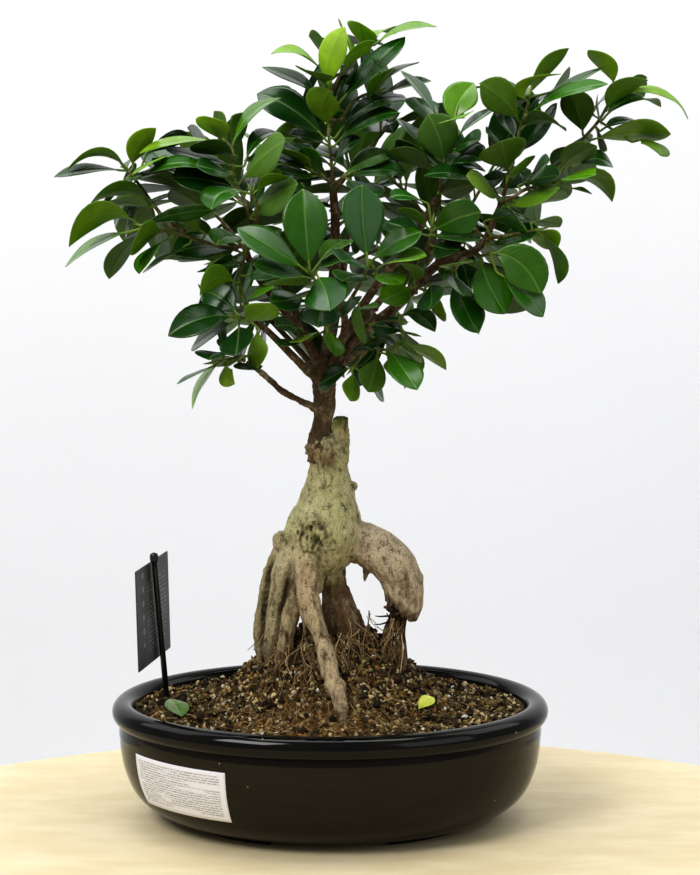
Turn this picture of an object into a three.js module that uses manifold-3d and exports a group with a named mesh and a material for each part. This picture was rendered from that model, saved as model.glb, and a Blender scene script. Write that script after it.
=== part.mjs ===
// Ginseng fig bonsai (Ficus microcarpa) in an oval glazed pot.
// Millimetres, +Z up. The tree stands on the plane z = 0; the origin is the bottom centre of
// the whole object's box, so the pot's own centre sits at POT_CENTRE.
import * as THREE from "three";
import { mergeVertices } from "three/addons/utils/BufferGeometryUtils.js";
import Module from "manifold-3d";

// ---------------------------------------------------------------- driving dimensions
const POT_CENTRE = [-28.5, -17.3, 0]; // pot axis in the part's frame
const POT_LENGTH = 280;               // outer length of the rim
const POT_WIDTH = 214;                // outer width of the rim
const POT_SEGMENTS = 40;
const FOOT_GAP_FRONT = 70;            // gap between the feet on the long sides
const FOOT_GAP_END = 36;              // gap between the feet at the ends
const FOOT_HEIGHT = 3.5;
const DRAIN_HOLE = { radius: 7, offset: 45 };
const MESH_SQUARE = [26, 26, 0.8];    // plastic screen over each drain hole
const SOIL_EDGE_Z = 71.5;             // soil level at the rim
const MOUND = { height: 49, rx: 60, ry: 46, power: 3, y0: 2 };
const GRAFT_Z = 234.6;                // top of the rootstock, where the graft sits
const FIT_GAP = 0.35;                 // clearance between touching pieces
const TWIG_RADIUS = [1.6, 0.9];      // base and tip of a leafy twig
const LEAF_THICKNESS = 0.9;
const STAKE = { foot: [-104.2, 19.2, 36], head: [-111.6, -10, 171.7], radius: 1.9 };
const CARD = { size: [58.9, 0.8, 65], centre: [-113, -3.5, 133.7], turn: 75.3, tilt: -3.4 };
const LABEL = { from: 207, to: 243, z: [19.6, 33, 53], thickness: 0.35 };

// ---------------------------------------------------------------- solids
const wasm = await Module();
wasm.setup();

// three.js geometry -> solid
function solid(geometry) {
  const bare = geometry.clone();
  for (const name of Object.keys(bare.attributes)) if (name !== "position") bare.deleteAttribute(name);
  const merged = mergeVertices(bare, 1e-4);
  const made = new wasm.Manifold(new wasm.Mesh({
    numProp: 3,
    vertProperties: new Float32Array(merged.attributes.position.array),
    triVerts: new Uint32Array(merged.index.array),
  }));
  return made;
}

// solid -> three.js geometry, flat shaded
function geometryOf(made) {
  const mesh = made.getMesh();
  const g = new THREE.BufferGeometry();
  const points = new Float32Array((mesh.vertProperties.length / mesh.numProp) * 3);
  for (let i = 0; i < points.length / 3; i++)
    for (let k = 0; k < 3; k++) points[3 * i + k] = mesh.vertProperties[i * mesh.numProp + k];
  g.setAttribute("position", new THREE.BufferAttribute(points, 3));
  g.setIndex(new THREE.BufferAttribute(new Uint32Array(mesh.triVerts), 1));
  const flat = g.toNonIndexed();
  flat.computeVertexNormals();
  return flat;
}

function indexed(points, faces) {
  const g = new THREE.BufferGeometry();
  g.setAttribute("position", new THREE.BufferAttribute(new Float32Array(points.flat()), 3));
  g.setIndex(faces.flat());
  return g;
}

const union = (list) => list.reduce((a, b) => a.add(b));

// The main shell of a solid: pockets sealed inside it are filled and loose chips dropped.
const mainShell = (made) => made.decompose().sort((a, b) => b.volume() - a.volume())[0];

// A closed limb of changing radius. rows: [x, y, z, radius]; grow widens and lengthens it.
function limb(rows, sides, perSpan = 1, grow = 0) {
  const curve = new THREE.CatmullRomCurve3(rows.map((r) => new THREE.Vector3(r[0], r[1], r[2])), false, "centripetal");
  const n = (rows.length - 1) * perSpan;
  const points = [], faces = [];
  let side = new THREE.Vector3(0.31, 0.27, 0.91);
  for (let i = 0; i <= n; i++) {
    const t = i / n, at = curve.getPoint(t), along = curve.getTangent(t).normalize();
    if (i === 0) at.addScaledVector(along, -grow);
    if (i === n) at.addScaledVector(along, grow);
    side = side.sub(along.clone().multiplyScalar(side.dot(along))).normalize();
    const up = new THREE.Vector3().crossVectors(along, side);
    const k = Math.min(Math.floor(t * (rows.length - 1)), rows.length - 2), u = t * (rows.length - 1) - k;
    const r = rows[k][3] * (1 - u) + rows[k + 1][3] * u + grow;
    for (let j = 0; j < sides; j++) {
      const a = (2 * Math.PI * j) / sides;
      const p = at.clone().addScaledVector(side, r * Math.cos(a)).addScaledVector(up, r * Math.sin(a));
      points.push([p.x, p.y, p.z]);
    }
  }
  for (let i = 0; i < n; i++)
    for (let j = 0; j < sides; j++) {
      const a = i * sides + j, b = i * sides + ((j + 1) % sides);
      faces.push([a, b, b + sides], [a, b + sides, a + sides]);
    }
  for (let j = 1; j < sides - 1; j++) {
    faces.push([0, j + 1, j]);
    faces.push([n * sides, n * sides + j, n * sides + j + 1]);
  }
  return solid(indexed(points, faces));
}

// An oval body of revolution: rows are [half length, half width, z] down a closed profile.
function oval(rows, top) {
  const lathe = new THREE.LatheGeometry(rows.map((r) => new THREE.Vector2(Math.max(r[0], 0), r[2])), POT_SEGMENTS);
  const at = lathe.attributes.position;
  for (let i = 0; i < at.count; i++) {
    const seg = Math.floor(i / rows.length) % POT_SEGMENTS, r = rows[i % rows.length];
    const a = (2 * Math.PI * seg) / POT_SEGMENTS;
    const x = r[0] * Math.cos(a), y = r[1] * Math.sin(a);
    at.setXYZ(i, x, y, top && r[3] ? top(x, y) : r[2]);
  }
  let made = solid(lathe);
  if (made.volume() < 0) {
    const index = lathe.index.array;
    for (let i = 0; i < index.length; i += 3) [index[i], index[i + 1]] = [index[i + 1], index[i]];
    made = solid(lathe);
  }
  return made;
}

const box = (w, d, h, x, y, z) => solid(new THREE.BoxGeometry(w, d, h).translate(x, y, z));

const group = new THREE.Group();
group.position.set(...POT_CENTRE);
function piece(name, made, colour, roughness, metalness = 0) {
  const geometry = made.isBufferGeometry ? made : geometryOf(made);
  const mesh = new THREE.Mesh(geometry, new THREE.MeshStandardMaterial({ color: colour, roughness, metalness }));
  mesh.name = name;
  group.add(mesh);
  return mesh;
}

// ---------------------------------------------------------------- pot
const A = POT_LENGTH / 2, B = POT_WIDTH / 2, ratio = B / A;
const RIM = { inset: 7.5, z: 69.3, r: 7.5 };
const wall = (a, z) => [a, a * ratio, z];
const inner = (a, z) => [a, a - (A - B), z];
const roll = (deg) => {
  const o = RIM.r * Math.cos((deg * Math.PI) / 180);
  return [A - RIM.inset + o, B - RIM.inset + o, RIM.z + RIM.r * Math.sin((deg * Math.PI) / 180)];
};
const INNER_WALL = [inner(125.6, 64), inner(127.5, 48), inner(124.5, 27), inner(114, 14), inner(97, 8.5)];
const potProfile = [
  [0, 0, FOOT_HEIGHT], wall(88, FOOT_HEIGHT), wall(88.5, 0), wall(96, 0), wall(97.5, FOOT_HEIGHT),
  wall(108, 5), wall(118, 10.4), wall(126.5, 19), wall(132.5, 33), wall(135.4, 53),
  wall(134.2, 57.5), wall(135.3, 60.4), roll(-60), roll(-15), roll(30), roll(75), roll(120), roll(165),
  ...INNER_WALL, [0, 0, 8.5],
];
let pot = oval(potProfile);
pot = pot.subtract(box(FOOT_GAP_FRONT, 2 * B, FOOT_HEIGHT, 0, 0, FOOT_HEIGHT / 2 - 0.05));
pot = pot.subtract(box(2 * A, FOOT_GAP_END, FOOT_HEIGHT, 0, 0, FOOT_HEIGHT / 2 - 0.05));
for (const side of [-1, 1])
  pot = pot.subtract(solid(new THREE.CylinderGeometry(DRAIN_HOLE.radius, DRAIN_HOLE.radius, 20, 16).rotateX(Math.PI / 2).translate(side * DRAIN_HOLE.offset, 0, 6)));
piece("oval_pot", pot, 0x14130f, 0.22);
for (const [name, side] of [["drain_mesh_left", -1], ["drain_mesh_right", 1]]) {
  const screen = piece(name, new THREE.BoxGeometry(...MESH_SQUARE), 0x1d1f1d, 0.7);
  screen.position.set(side * DRAIN_HOLE.offset, 0, 8.5 + FIT_GAP + MESH_SQUARE[2] / 2);
}

// ---------------------------------------------------------------- wood
// Limbs of the rootstock and of the grafted stem: centre line and radius.
const LIMBS = {
  trunk: [[-2.5,0,244.9,10.7], [-1.9,0,235.4,12.3], [-1,0,226.4,12.6], [-1.3,0,202.7,19.2], [-1.6,-1,193.2,22.2], [-3.9,-2,184.3,24.4], [-4.8,-2,184.3,23.9], [-7.7,-3,174.2,22.6], [-11.5,-4,164,16.3]],
  left_root: [[-17.2,-3,176.1,13], [-25,-7,162,11.6], [-29.3,-9,148.2,10.2], [-33.2,-9,134,7.8], [-36,-9,117.1,6.6], [-37.2,-9,95,5.8]],
  left_inner_root: [[-22,-11,157,8.5], [-22.6,-14,146,7.4], [-25,-17,133,6], [-28,-19,118,5], [-30.3,-20,97.6,4.4]],
  front_root: [[-13.8,-12,175.7,11], [-14.3,-20,161.2,7.8], [-13.4,-24,146.6,7], [-10.5,-28,136.4,6.6], [-6.1,-33,125.4,5.4], [-2.3,-38,112.6,5.7], [2.1,-45,98.3,5.7], [5.9,-53,88.3,4.8], [8.2,-60,75.5,3]],
  middle_root: [[-2.6,2,165.5,10.1], [1.8,4,150.2,8.2], [5,3,137.4,9.8], [7.6,1,125.4,12.9], [9.5,-1,110.8,13.5], [10.8,-3,92.3,12.6]],
  back_root: [[3.7,10,169.3,6.3], [4.9,15,153.4,4.8], [5.6,17,136.6,4.5], [6.9,17,116.8,5.1], [8.1,15,89.4,5.7]],
  aerial_root: [[-25.6,0,179.8,5], [-32,0,172.6,4.6], [-37,-1,162.4,4.5], [-41,-2,149,4.4], [-43.6,-3,134.7,4.1], [-44.6,-5,119.6,3.8], [-43.8,-6,104.8,3.5], [-42.6,-6,86.5,3]],
  arch_root: [[5,0,178.8,13.6], [17.8,-2,177.9,13.2], [29.9,-4,173,14.1], [39.4,-6,165.7,14.3], [45.4,-7,155.5,13.3], [47.2,-8,145.5,12.4], [46.6,-8,137.5,11.4], [45.2,-8,131.5,9.6]],
  rootlet_column: [[43.9,-8,133.8,5.9], [41.3,-9,123.6,4.4], [39.4,-10,112.1,4.7], [38.2,-11,89,5.6]],
  stub: [[5.1,-1,229.1,7], [6,-1,240,6.2], [6.2,-1,249.5,5.6], [6.4,-1,257.2,4.9]],
  right_nub: [[11.4,-2,213.2,4.4], [17.1,-2,214.2,2.4]],
  under_nub: [[23.5,-5,160.3,3.1], [21.8,-5,152.6,1.2]],
  stem: [[-5.7,-2,233.1,8.5], [-5.7,-2,239.4,8.7], [-5.7,-2,245.2,7.9], [-5.1,-2,252.2,5.8], [-3.7,-1,263.5,6.6], [-3.6,0,274.2,7.1], [-4,0,283.1,7.7], [-3.4,0,290.1,7.4], [-2.5,1,297,4.1]],
  twist_root: [[-18.9,-14,176.1,3.7], [-23.2,-19,159.7,2.5], [-19.3,-24,144.7,1.6], [-16.2,-27,127.4,1.5], [-14.9,-28,113.6,1.2]],
  left_knob: [[-26,-5,176,6.5], [-30.6,-6,180.5,5.8], [-32.4,-7,175,4.6]],
  left_web: [[-12.5,-6,174,13.5], [-14.5,-8,160,12.2], [-15.5,-9,147.5,10.2]],
};
// Branches of the grafted stem: centre line, radius at base and tip.
const BRANCHES = {
  lowl: { r0: 2.6, r1: 1.5, path: [[-5.66,0,262.15], [-10.66,-3,264.37], [-18.16,-6,268.47], [-28.71,-10,274.55], [-37.93,-14,283.09], [-45.21,-18,289.7], [-51.26,-21,294.31]] },
  left: { r0: 3.0, r1: 1.6, path: [[-5.63,0,279.3], [-16.79,-8,290.74], [-26.58,-15,301.33], [-33.81,-21,309.23], [-40.92,-28,316.51], [-46.18,-34,319.96]] },
  lmid: { r0: 3.2, r1: 2.0, path: [[-4.37,1,286.19], [-12.45,-4,302.39], [-20.53,-6,315.1], [-32.86,-10,331.59], [-42,-14,342.98], [-49.19,-18,356.12], [-51.52,-20,363.57]] },
  cen: { r0: 4.2, r1: 2.6, path: [[-3.75,2,286.1], [-0.62,8,309.12], [1.9,13,336.12], [3.19,14,362.66], [3.22,12,384.74], [1.99,10,400.41]] },
  front: { r0: 2.8, r1: 1.8, path: [[-1.18,-2,285.18], [6.46,-14,302.5], [9.62,-30,319.71], [6.61,-42,330.81], [-0.58,-52,336.77]] },
  right: { r0: 3.6, r1: 2.0, path: [[-1.83,0,286.28], [12.7,-8,303.94], [28.87,-16,318.85], [43.62,-22,330.97], [55.8,-26,344.72], [67.92,-29,355.87], [79.45,-31,360.21], [88.62,-31,363.26], [95.43,-29,369.92], [100.38,-27,380.87], [104.81,-24,389.99]] },
  rmid: { r0: 3.2, r1: 2.0, path: [[-2.49,3,287.29], [13.97,10,317.25], [32.98,12,345.03], [47.4,8,364.08], [59.03,0,381.75], [66.15,-8,395.45]] },
  lowr: { r0: 2.4, r1: 1.6, path: [[-1.81,-2,283.92], [8.32,-12,292.33], [16.41,-26,299.68], [22.51,-36,304.75]] },
  bkl: { r0: 3.2, r1: 1.8, path: [[-5.04,4,284.66], [-16.14,22,308.17], [-28.83,42,336.04], [-41.1,60,361.42], [-50.08,72,379.53]] },
  bkc: { r0: 3.4, r1: 1.8, path: [[-3.16,6,287.03], [2.39,30,314.08], [7.46,55,343.29], [11.37,76,372.88], [12.7,86,393.93]] },
  bkr: { r0: 3.2, r1: 1.8, path: [[-1.88,5,286.48], [13.98,24,308.03], [36.13,46,333.26], [58.71,62,356.12], [78.82,72,372.95]] },
  bkll: { r0: 2.4, r1: 1.5, path: [[-5.68,4,282.12], [-16.77,20,294.84], [-30.11,38,307.73], [-41.07,54,317.15]] },
  bkrr: { r0: 2.4, r1: 1.5, path: [[-1.24,4,282.12], [10.13,22,297.25], [24.41,42,308.76], [37.72,60,318.11]] },
};

const ROOT_SIDES = { trunk: 12, arch_root: 10, middle_root: 8, left_root: 8, front_root: 8 };
const rootLimbs = ["trunk", "left_root", "left_inner_root", "front_root", "middle_root", "back_root", "aerial_root", "arch_root", "rootlet_column", "left_knob", "left_web", "stub", "right_nub", "under_nub", "twist_root"];
const stemSolid = (grow) => {
  const parts = [limb(LIMBS.stem, 9, 1, grow)];
  for (const b of Object.values(BRANCHES)) {
    const n = b.path.length - 1;
    parts.push(limb(b.path.map((p, i) => [...p, b.r0 + ((b.r1 - b.r0) * i) / n]), 5, 1, grow));
  }
  return union(parts);
};
const rootSolid = (grow) => union(rootLimbs.map((name) => limb(LIMBS[name], ROOT_SIDES[name] ?? 6, 1, grow)));

let stem = stemSolid(0).subtract(box(60, 60, 40, 0, 0, GRAFT_Z + FIT_GAP - 20));
let stock = rootSolid(0);
const stemGuard = limb(LIMBS.stem, 9, 1, FIT_GAP);
stock = stock.subtract(stemGuard);
// above the graft only the cut stub of the old stem stands
const aboveGraft = box(60, 60, 40, 0, 0, GRAFT_Z + 20).subtract(limb(LIMBS.stub, 6, 1, 0.6));
stock = stock.subtract(aboveGraft);

// ---------------------------------------------------------------- label and tag
const stakeLimb = (grow) => limb([[...STAKE.foot, 1.0], [...STAKE.foot.map((v, i) => v + (STAKE.head[i] - v) * 0.12), STAKE.radius], [...STAKE.head, STAKE.radius]], 10, 1, grow);
piece("tag_stake", stakeLimb(0), 0x111111, 0.4);
const card = piece("tag_card", new THREE.BoxGeometry(...CARD.size), 0x2b2c2d, 0.45);
card.rotation.set(0, THREE.MathUtils.degToRad(CARD.tilt), THREE.MathUtils.degToRad(CARD.turn), "ZYX");
card.position.set(...CARD.centre);

{
  // the care label follows the pot's wall
  const halfAt = (z) => {
    const rows = potProfile.slice(4, 12);
    for (let i = 0; i < rows.length - 1; i++)
      if (z >= rows[i][2] && z <= rows[i + 1][2]) {
        const u = (z - rows[i][2]) / (rows[i + 1][2] - rows[i][2]);
        return rows[i][0] + u * (rows[i + 1][0] - rows[i][0]);
      }
    return 135;
  };
  const step = 360 / POT_SEGMENTS, cols = Math.round((LABEL.to - LABEL.from) / step), points = [], faces = [];
  for (const skin of [0, 1])
    for (let i = 0; i <= cols; i++)
      for (const z of LABEL.z) {
        const a = THREE.MathUtils.degToRad(LABEL.from + i * step), off = 0.45 + skin * LABEL.thickness, h = halfAt(z);
        points.push([(h + off) * Math.cos(a), (h * ratio + off) * Math.sin(a), z]);
      }
  const nz = LABEL.z.length, per = (cols + 1) * nz, id = (s, i, j) => s * per + i * nz + j;
  for (let i = 0; i < cols; i++)
    for (let j = 0; j < nz - 1; j++) {
      faces.push([id(1, i, j), id(1, i + 1, j), id(1, i + 1, j + 1)], [id(1, i, j), id(1, i + 1, j + 1), id(1, i, j + 1)]);
      faces.push([id(0, i, j), id(0, i + 1, j + 1), id(0, i + 1, j)], [id(0, i, j), id(0, i, j + 1), id(0, i + 1, j + 1)]);
    }
  for (let i = 0; i < cols; i++) {
    faces.push([id(0, i, 0), id(0, i + 1, 0), id(1, i + 1, 0)], [id(0, i, 0), id(1, i + 1, 0), id(1, i, 0)]);
    const j = nz - 1;
    faces.push([id(0, i, j), id(1, i + 1, j), id(0, i + 1, j)], [id(0, i, j), id(1, i, j), id(1, i + 1, j)]);
  }
  for (let j = 0; j < nz - 1; j++) {
    faces.push([id(0, 0, j), id(1, 0, j), id(1, 0, j + 1)], [id(0, 0, j), id(1, 0, j + 1), id(0, 0, j + 1)]);
    faces.push([id(0, cols, j), id(1, cols, j + 1), id(1, cols, j)], [id(0, cols, j), id(0, cols, j + 1), id(1, cols, j + 1)]);
  }
  let made = solid(indexed(points, faces));
  if (made.volume() < 0) made = solid(indexed(points, faces.map(([a, b, c]) => [a, c, b])));
piece("care_label", made, 0xd6d1cf, 0.75);
}

// ---------------------------------------------------------------- soil
const soilTop = (x, y) => {
  const rho = Math.hypot(x / MOUND.rx, (y - MOUND.y0) / MOUND.ry);
  return SOIL_EDGE_Z + MOUND.height * Math.exp(-(rho ** MOUND.power));
};
const edge = (r, g = 0.6) => [r[0] - g, r[1] - g, r[2]];
const soilRows = [
  [0, 0, 0, true],
  ...[0.16, 0.32, 0.48, 0.66].map((u) => [125 * u, 92 * u, 0, true]),
  [124.3, 91.3, SOIL_EDGE_Z],
  ...INNER_WALL.slice(0, 4).map((r) => edge(r)),
  [96, 63, 10.2], [0, 0, 10.2],
];
let soil = oval(soilRows, soilTop);
soil = soil.subtract(rootSolid(FIT_GAP)).subtract(stakeLimb(FIT_GAP));
// chips of soil that the roots cut off from the bed are dropped
soil = mainShell(soil);
stock = mainShell(stock);
stem = mainShell(stem);
piece("soil", soil, 0x4f3d26, 0.95);
piece("rootstock_trunk", stock, 0x988a6c, 0.8);
piece("grafted_stem", stem, 0x54442c, 0.85);

// ---------------------------------------------------------------- leaves
// One leaf: foot on the twig, blade start, middle and tip of the midrib, the blade's cross
// direction, and its width. The blade is a thin keeled plate.
const STATIONS = [0.4, 0.74];
const SMALL_STATIONS = [0.5]; // for a leaf under SMALL_LEAF long
const SMALL_LEAF = 42;
const WIDTHS = [[0, 0], [0.05, 0.18], [0.15, 0.47], [0.3, 0.78], [0.45, 0.95], [0.58, 1], [0.7, 0.96], [0.8, 0.83], [0.88, 0.62], [0.94, 0.38], [0.98, 0.17], [1, 0]];
const widthAt = (t) => {
  const u = Math.max(0, (t - 0.1) / 0.9);
  for (let i = 0; i < WIDTHS.length - 1; i++)
    if (u <= WIDTHS[i + 1][0]) return WIDTHS[i][1] + ((u - WIDTHS[i][0]) / (WIDTHS[i + 1][0] - WIDTHS[i][0])) * (WIDTHS[i + 1][1] - WIDTHS[i][1]);
  return 0;
};
function leaf(row) {
  const v = (i) => new THREE.Vector3(row[i], row[i + 1], row[i + 2]);
  const foot = v(0), b0 = v(3), mid = v(6), tip = v(9), cross = v(12), width = row[15];
  const bend = mid.clone().multiplyScalar(2).addScaledVector(b0, -0.5).addScaledVector(tip, -0.5);
  const stations = b0.distanceTo(tip) < SMALL_LEAF ? SMALL_STATIONS : STATIONS, n = stations.length;
  // the foot runs through the twig to its far side, so that the neck is not a knife edge
  const root = foot.clone().addScaledVector(foot.clone().sub(b0.clone().lerp(mid, 0.5)).normalize(), 0.3);
  const points = [root.toArray()], faces = [];
  for (const t of stations) {
    const p = b0.clone().multiplyScalar((1 - t) ** 2).addScaledVector(bend, 2 * t * (1 - t)).addScaledVector(tip, t * t);
    const d = bend.clone().sub(b0).multiplyScalar(2 * (1 - t)).addScaledVector(tip.clone().sub(bend), 2 * t).normalize();
    const b = cross.clone().addScaledVector(d, -cross.dot(d)).normalize(), up = new THREE.Vector3().crossVectors(b, d);
    const hw = (width / 2) * widthAt(t), cup = hw * 0.08, keel = LEAF_THICKNESS * 0.75;
    points.push(p.clone().addScaledVector(b, -hw).addScaledVector(up, cup).toArray(),
      p.clone().addScaledVector(b, hw).addScaledVector(up, cup).toArray(), p.clone().addScaledVector(up, -keel).toArray());
  }
  points.push(tip.toArray());
  for (let j = 0; j < 3; j++) {
    const k = (j + 1) % 3;
    faces.push([0, 1 + j, 1 + k], [3 * n - 2 + j, 3 * n + 1, 3 * n - 2 + k]);
    for (let i = 0; i < n - 1; i++) {
      const a = 3 * i + 1 + j, c = 3 * i + 1 + k;
      faces.push([a, a + 3, c + 3], [a, c + 3, c]);
    }
  }
  let made = solid(indexed(points, faces));
  if (made.volume() < 0) made = solid(indexed(points, faces.map(([a, b, c]) => [a, c, b])));
  return made;
}

// A fallen leaf lies flat, so it has no foot on a twig.
const fallen = (x0, y0, x1, y1, width, lift0, lift1) => {
  const z0 = soilTop(x0, y0) + lift0, z1 = soilTop(x1, y1) + lift1, xm = (x0 + x1) / 2, ym = (y0 + y1) / 2;
  const c = new THREE.Vector3(y1 - y0, x0 - x1, 0).normalize();
  return leaf([x0, y0, z0, x0, y0, z0, xm, ym, (z0 + z1) / 2 + 1, x1, y1, z1, c.x, c.y, c.z, width]);
};
piece("fallen_leaf_green", fallen(-103, -12, -92, -42, 15, 3.5, 2.2), 0x5f7a3c, 0.5);
piece("fallen_leaf_yellow", fallen(54.5, -43, 64, -30, 9, 2.6, 4.2), 0xc2c94a, 0.5);

// Leafy twigs: centre lines of the wood of each
const TWIGS = {
  leafy_twig_left_1: [
    [[-88.8,-35.3,375.8], [-96,-33,378.5], [-106.3,-26,389.4], [-122.6,-14,410.2], [-125.2,-12,412.7]],
  ],
  leafy_twig_front_left_1: [
    [[-57.6,-22,364.9], [-66,-26,365.6], [-76.1,-30,368.7], [-87.8,-36,372.5], [-99,-40,375.6], [-109.7,-42,378.1]],
  ],
  leafy_twig_left_2: [
    [[-50.8,-22,369.8], [-48.7,-26,379], [-51,-28,391.2], [-54.6,-28,400.4], [-58.2,-27,407.6], [-59,-24,418.6]],
    [[-59,-24,418.6], [-59,-22,423.5], [-61.6,-20,427.8], [-66,-18,432.1]],
  ],
  leafy_twig_front_centre_1: [
    [[-46,-30,377.3], [-43.3,-36,385.8], [-44.3,-40,393.1], [-46.6,-42,398.5]],
  ],
  leafy_twig_centre_1: [
    [[2,9,405.4], [-0.4,3,432.6]],
    [[2,8.9,405.9], [4.5,6,405.4], [7.7,0,407.8], [12.1,-6,410.3]],
    [[1.8,8.4,407.9], [-1.1,4,406.6], [-10.9,-8,412.1]],
  ],
  leafy_twig_top_centre_1: [
    [[0.2,2,437.6], [1.5,0,452.9], [0.9,-1,459.6]],
    [[0.7,1.2,444], [6.5,3,443.8], [12.7,4,453.1], [20.2,6,458.7], [27.7,8,461.3]],
  ],
  leafy_twig_top_centre_2: [
    [[2.8,1,463.4], [6.5,4,470.9], [13.9,8,479.8], [25.2,14,491.3]],
  ],
  leafy_twig_front_centre_2: [
    [[-4.1,-58,340.7], [-7.6,-66,345.8], [-10.4,-72,350.8]],
  ],
  leafy_twig_front_centre_3: [
    [[10.2,-34,329.8], [19.9,-62,346.8], [22.8,-72,354.3]],
  ],
  leafy_twig_low_front_left_1: [
    [[-49,-38,321.4], [-54.6,-48,323.9]],
  ],
  leafy_twig_left_3: [
    [[-51.7,-23.1,359.3], [-53,-28,356.4], [-54.6,-34,350.6], [-55,-38,344.6]],
  ],
  leafy_twig_low_left_1: [
    [[-53.6,-23,295.7], [-57.8,-26,297.2], [-69.9,-30,295]],
  ],
  leafy_twig_low_centre_1: [
    [[-13.4,-16,307.6], [-17.5,-28,313.4]],
  ],
  leafy_twig_low_centre_2: [
    [[0.9,-20,307.9], [-0.9,-28,313.4]],
  ],
  leafy_twig_right_1: [
    [[68.5,-11,400.4], [69.5,-15,409.6], [72.9,-20,427.8], [75.3,-20,436.9], [77.1,-19,444.2]],
  ],
  leafy_twig_top_right_1: [
    [[107.3,-22,397.9], [115.6,-15,429.7], [123.4,-7,456.9]],
    [[112.3,-17.8,416.9], [110.4,-28,413.7], [108.8,-34,408.8]],
  ],
  leafy_twig_right_3: [
    [[127.1,-14,402.8], [137.9,-10,409], [148.2,-5,420.1], [157.3,0,431.3], [167,4,442], [171.5,6,448.8], [176.6,8,458.8]],
  ],
  leafy_twig_right_2: [
    [[106.3,-28,393.1], [111.5,-32,395.5], [118.6,-34,400.3], [128.3,-34,402.8], [138.2,-32,404.6]],
  ],
  leafy_twig_front_right_1: [
    [[95.7,-34,370], [99,-40,371.4], [105.9,-44,372.7], [115.5,-46,374.5], [125.1,-46,376.3]],
    [[96.4,-35.3,370.3], [91.2,-38,374.4], [88,-40,379.8]],
  ],
  leafy_twig_front_right_2: [
    [[88.3,-36,362.2], [91.5,-44,360.6], [97.1,-50,362]],
    [[88.3,-36,362.2], [81.5,-39,358.6], [77.1,-42,353.3], [75.7,-46,348.6]],
  ],
  leafy_twig_front_centre_4: [
    [[44.7,-28,334.4], [38.3,-38,339.7], [30.9,-48,347.4], [27.1,-54,353.7]],
  ],
  leafy_twig_front_right_3: [
    [[60.4,-34,356.6], [60.1,-40,364.1], [61.1,-44,371.5], [62.3,-44,378.7]],
  ],
  leafy_twig_front_centre_5: [
    [[53.2,-32,338.2], [54.1,-40,341.1], [57.6,-44,340]],
  ],
  leafy_twig_low_front_centre_1: [
    [[25.5,-42,307], [29.1,-48,305], [34.5,-50,304], [40,-50,305.2]],
    [[26.1,-43,306.7], [20.1,-36,299.2], [15.2,-32,292.7]],
  ],
  leafy_twig_low_centre_3: [
    [[32.5,-22,319.2], [38.5,-32,319.8], [43.3,-38,320.2]],
  ],
  leafy_twig_back_left_1: [
    [[-52.9,76,384.7], [-60.4,82,393.9], [-69.9,86,400.6]],
  ],
  leafy_twig_back_left_2: [
    [[-47.8,68.4,368], [-53.6,74,362.4], [-66,82,355.5], [-77.6,86,352.7]],
  ],
  leafy_twig_back_centre_1: [
    [[-46.5,73.6,379.5], [-41.9,84,390.6], [-34.2,94,407.2], [-28.9,98,420.6]],
  ],
  leafy_twig_back_centre_2: [
    [[12.7,88.4,397.2], [12.7,96,410.6], [9.3,100,427.2], [4.7,98,440.5]],
  ],
  leafy_twig_back_centre_3: [
    [[8.8,83.7,384.1], [-0.7,96,389.9], [-13,108,393.9]],
  ],
  leafy_twig_back_centre_4: [
    [[14.8,88.4,391.5], [24.8,100,399.2], [37.1,112,404.6]],
  ],
  leafy_twig_back_right_1: [
    [[81.2,74.2,375.2], [91.2,82,387.3], [99.3,86,400.6], [105.8,84,412.4]],
  ],
  leafy_twig_back_right_2: [
    [[66.6,70.2,365.3], [70,82,376.7], [73,94,393.9], [70.5,98,407.2]],
  ],
  leafy_twig_back_right_3: [
    [[80.8,74.6,370.8], [92.8,84,370.1], [107.8,90,369.9]],
  ],
  leafy_twig_low_back_left_1: [
    [[-45.2,58,320.9], [-54.8,68,324.9], [-63.2,76,329.1]],
  ],
  leafy_twig_low_back_centre_1: [
    [[-37.7,55.4,316.7], [-35,68,324.3], [-31.4,82,334.2]],
  ],
  leafy_twig_back_right_4: [
    [[40.4,64,320.5], [47.3,76,327.8], [53,88,336.6]],
  ],
  leafy_twig_low_back_centre_2: [
    [[35.5,57.5,312.8], [43.1,66,308.5], [54,74,305.3]],
  ],
  leafy_twig_back_centre_5: [
    [[6.7,64,348.5], [-0.6,78,349], [-10.2,96,352.4]],
  ],
  leafy_twig_back_centre_6: [
    [[14,64,353.4], [38.4,100,364.4]],
  ],
  leafy_twig_inner_centre_1: [
    [[2.5,22,373.9], [-6.6,34,378.8], [-17,42,382.5]],
    [[2.5,22,373.9], [6.3,24,378.9], [16.6,32,383.9], [29.4,38,387.7]],
  ],
  leafy_twig_inner_centre_2: [
    [[-29.5,2,327.8], [-31.7,12,338.7], [-39.7,24,350.9]],
  ],
  leafy_twig_inner_right_1: [
    [[39.5,22,351], [51.3,32,357.1], [65.6,38,360.7]],
  ],
  leafy_twig_inner_centre_3: [
    [[59.3,8,384.1], [50.7,18,396.6], [40.7,24,405.5]],
  ],
  leafy_twig_inner_right_2: [
    [[105.4,-16,391.8], [102.7,0,400.4], [93.3,10,409.2]],
  ],
  leafy_twig_inner_left_1: [
    [[-49.6,-10,358.3], [-64,4,376.7], [-78.2,12,390.4], [-88.4,14,400.4]],
  ],
  leafy_twig_top_inner_centre_1: [
    [[2.5,20,399.2], [-7.7,28,418.2], [-19.2,30,435.9], [-25.5,30,446]],
    [[2.5,20,399.2], [19.1,28,420.7], [31.8,30,434.6], [39.4,28,443.4]],
  ],
};
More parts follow.
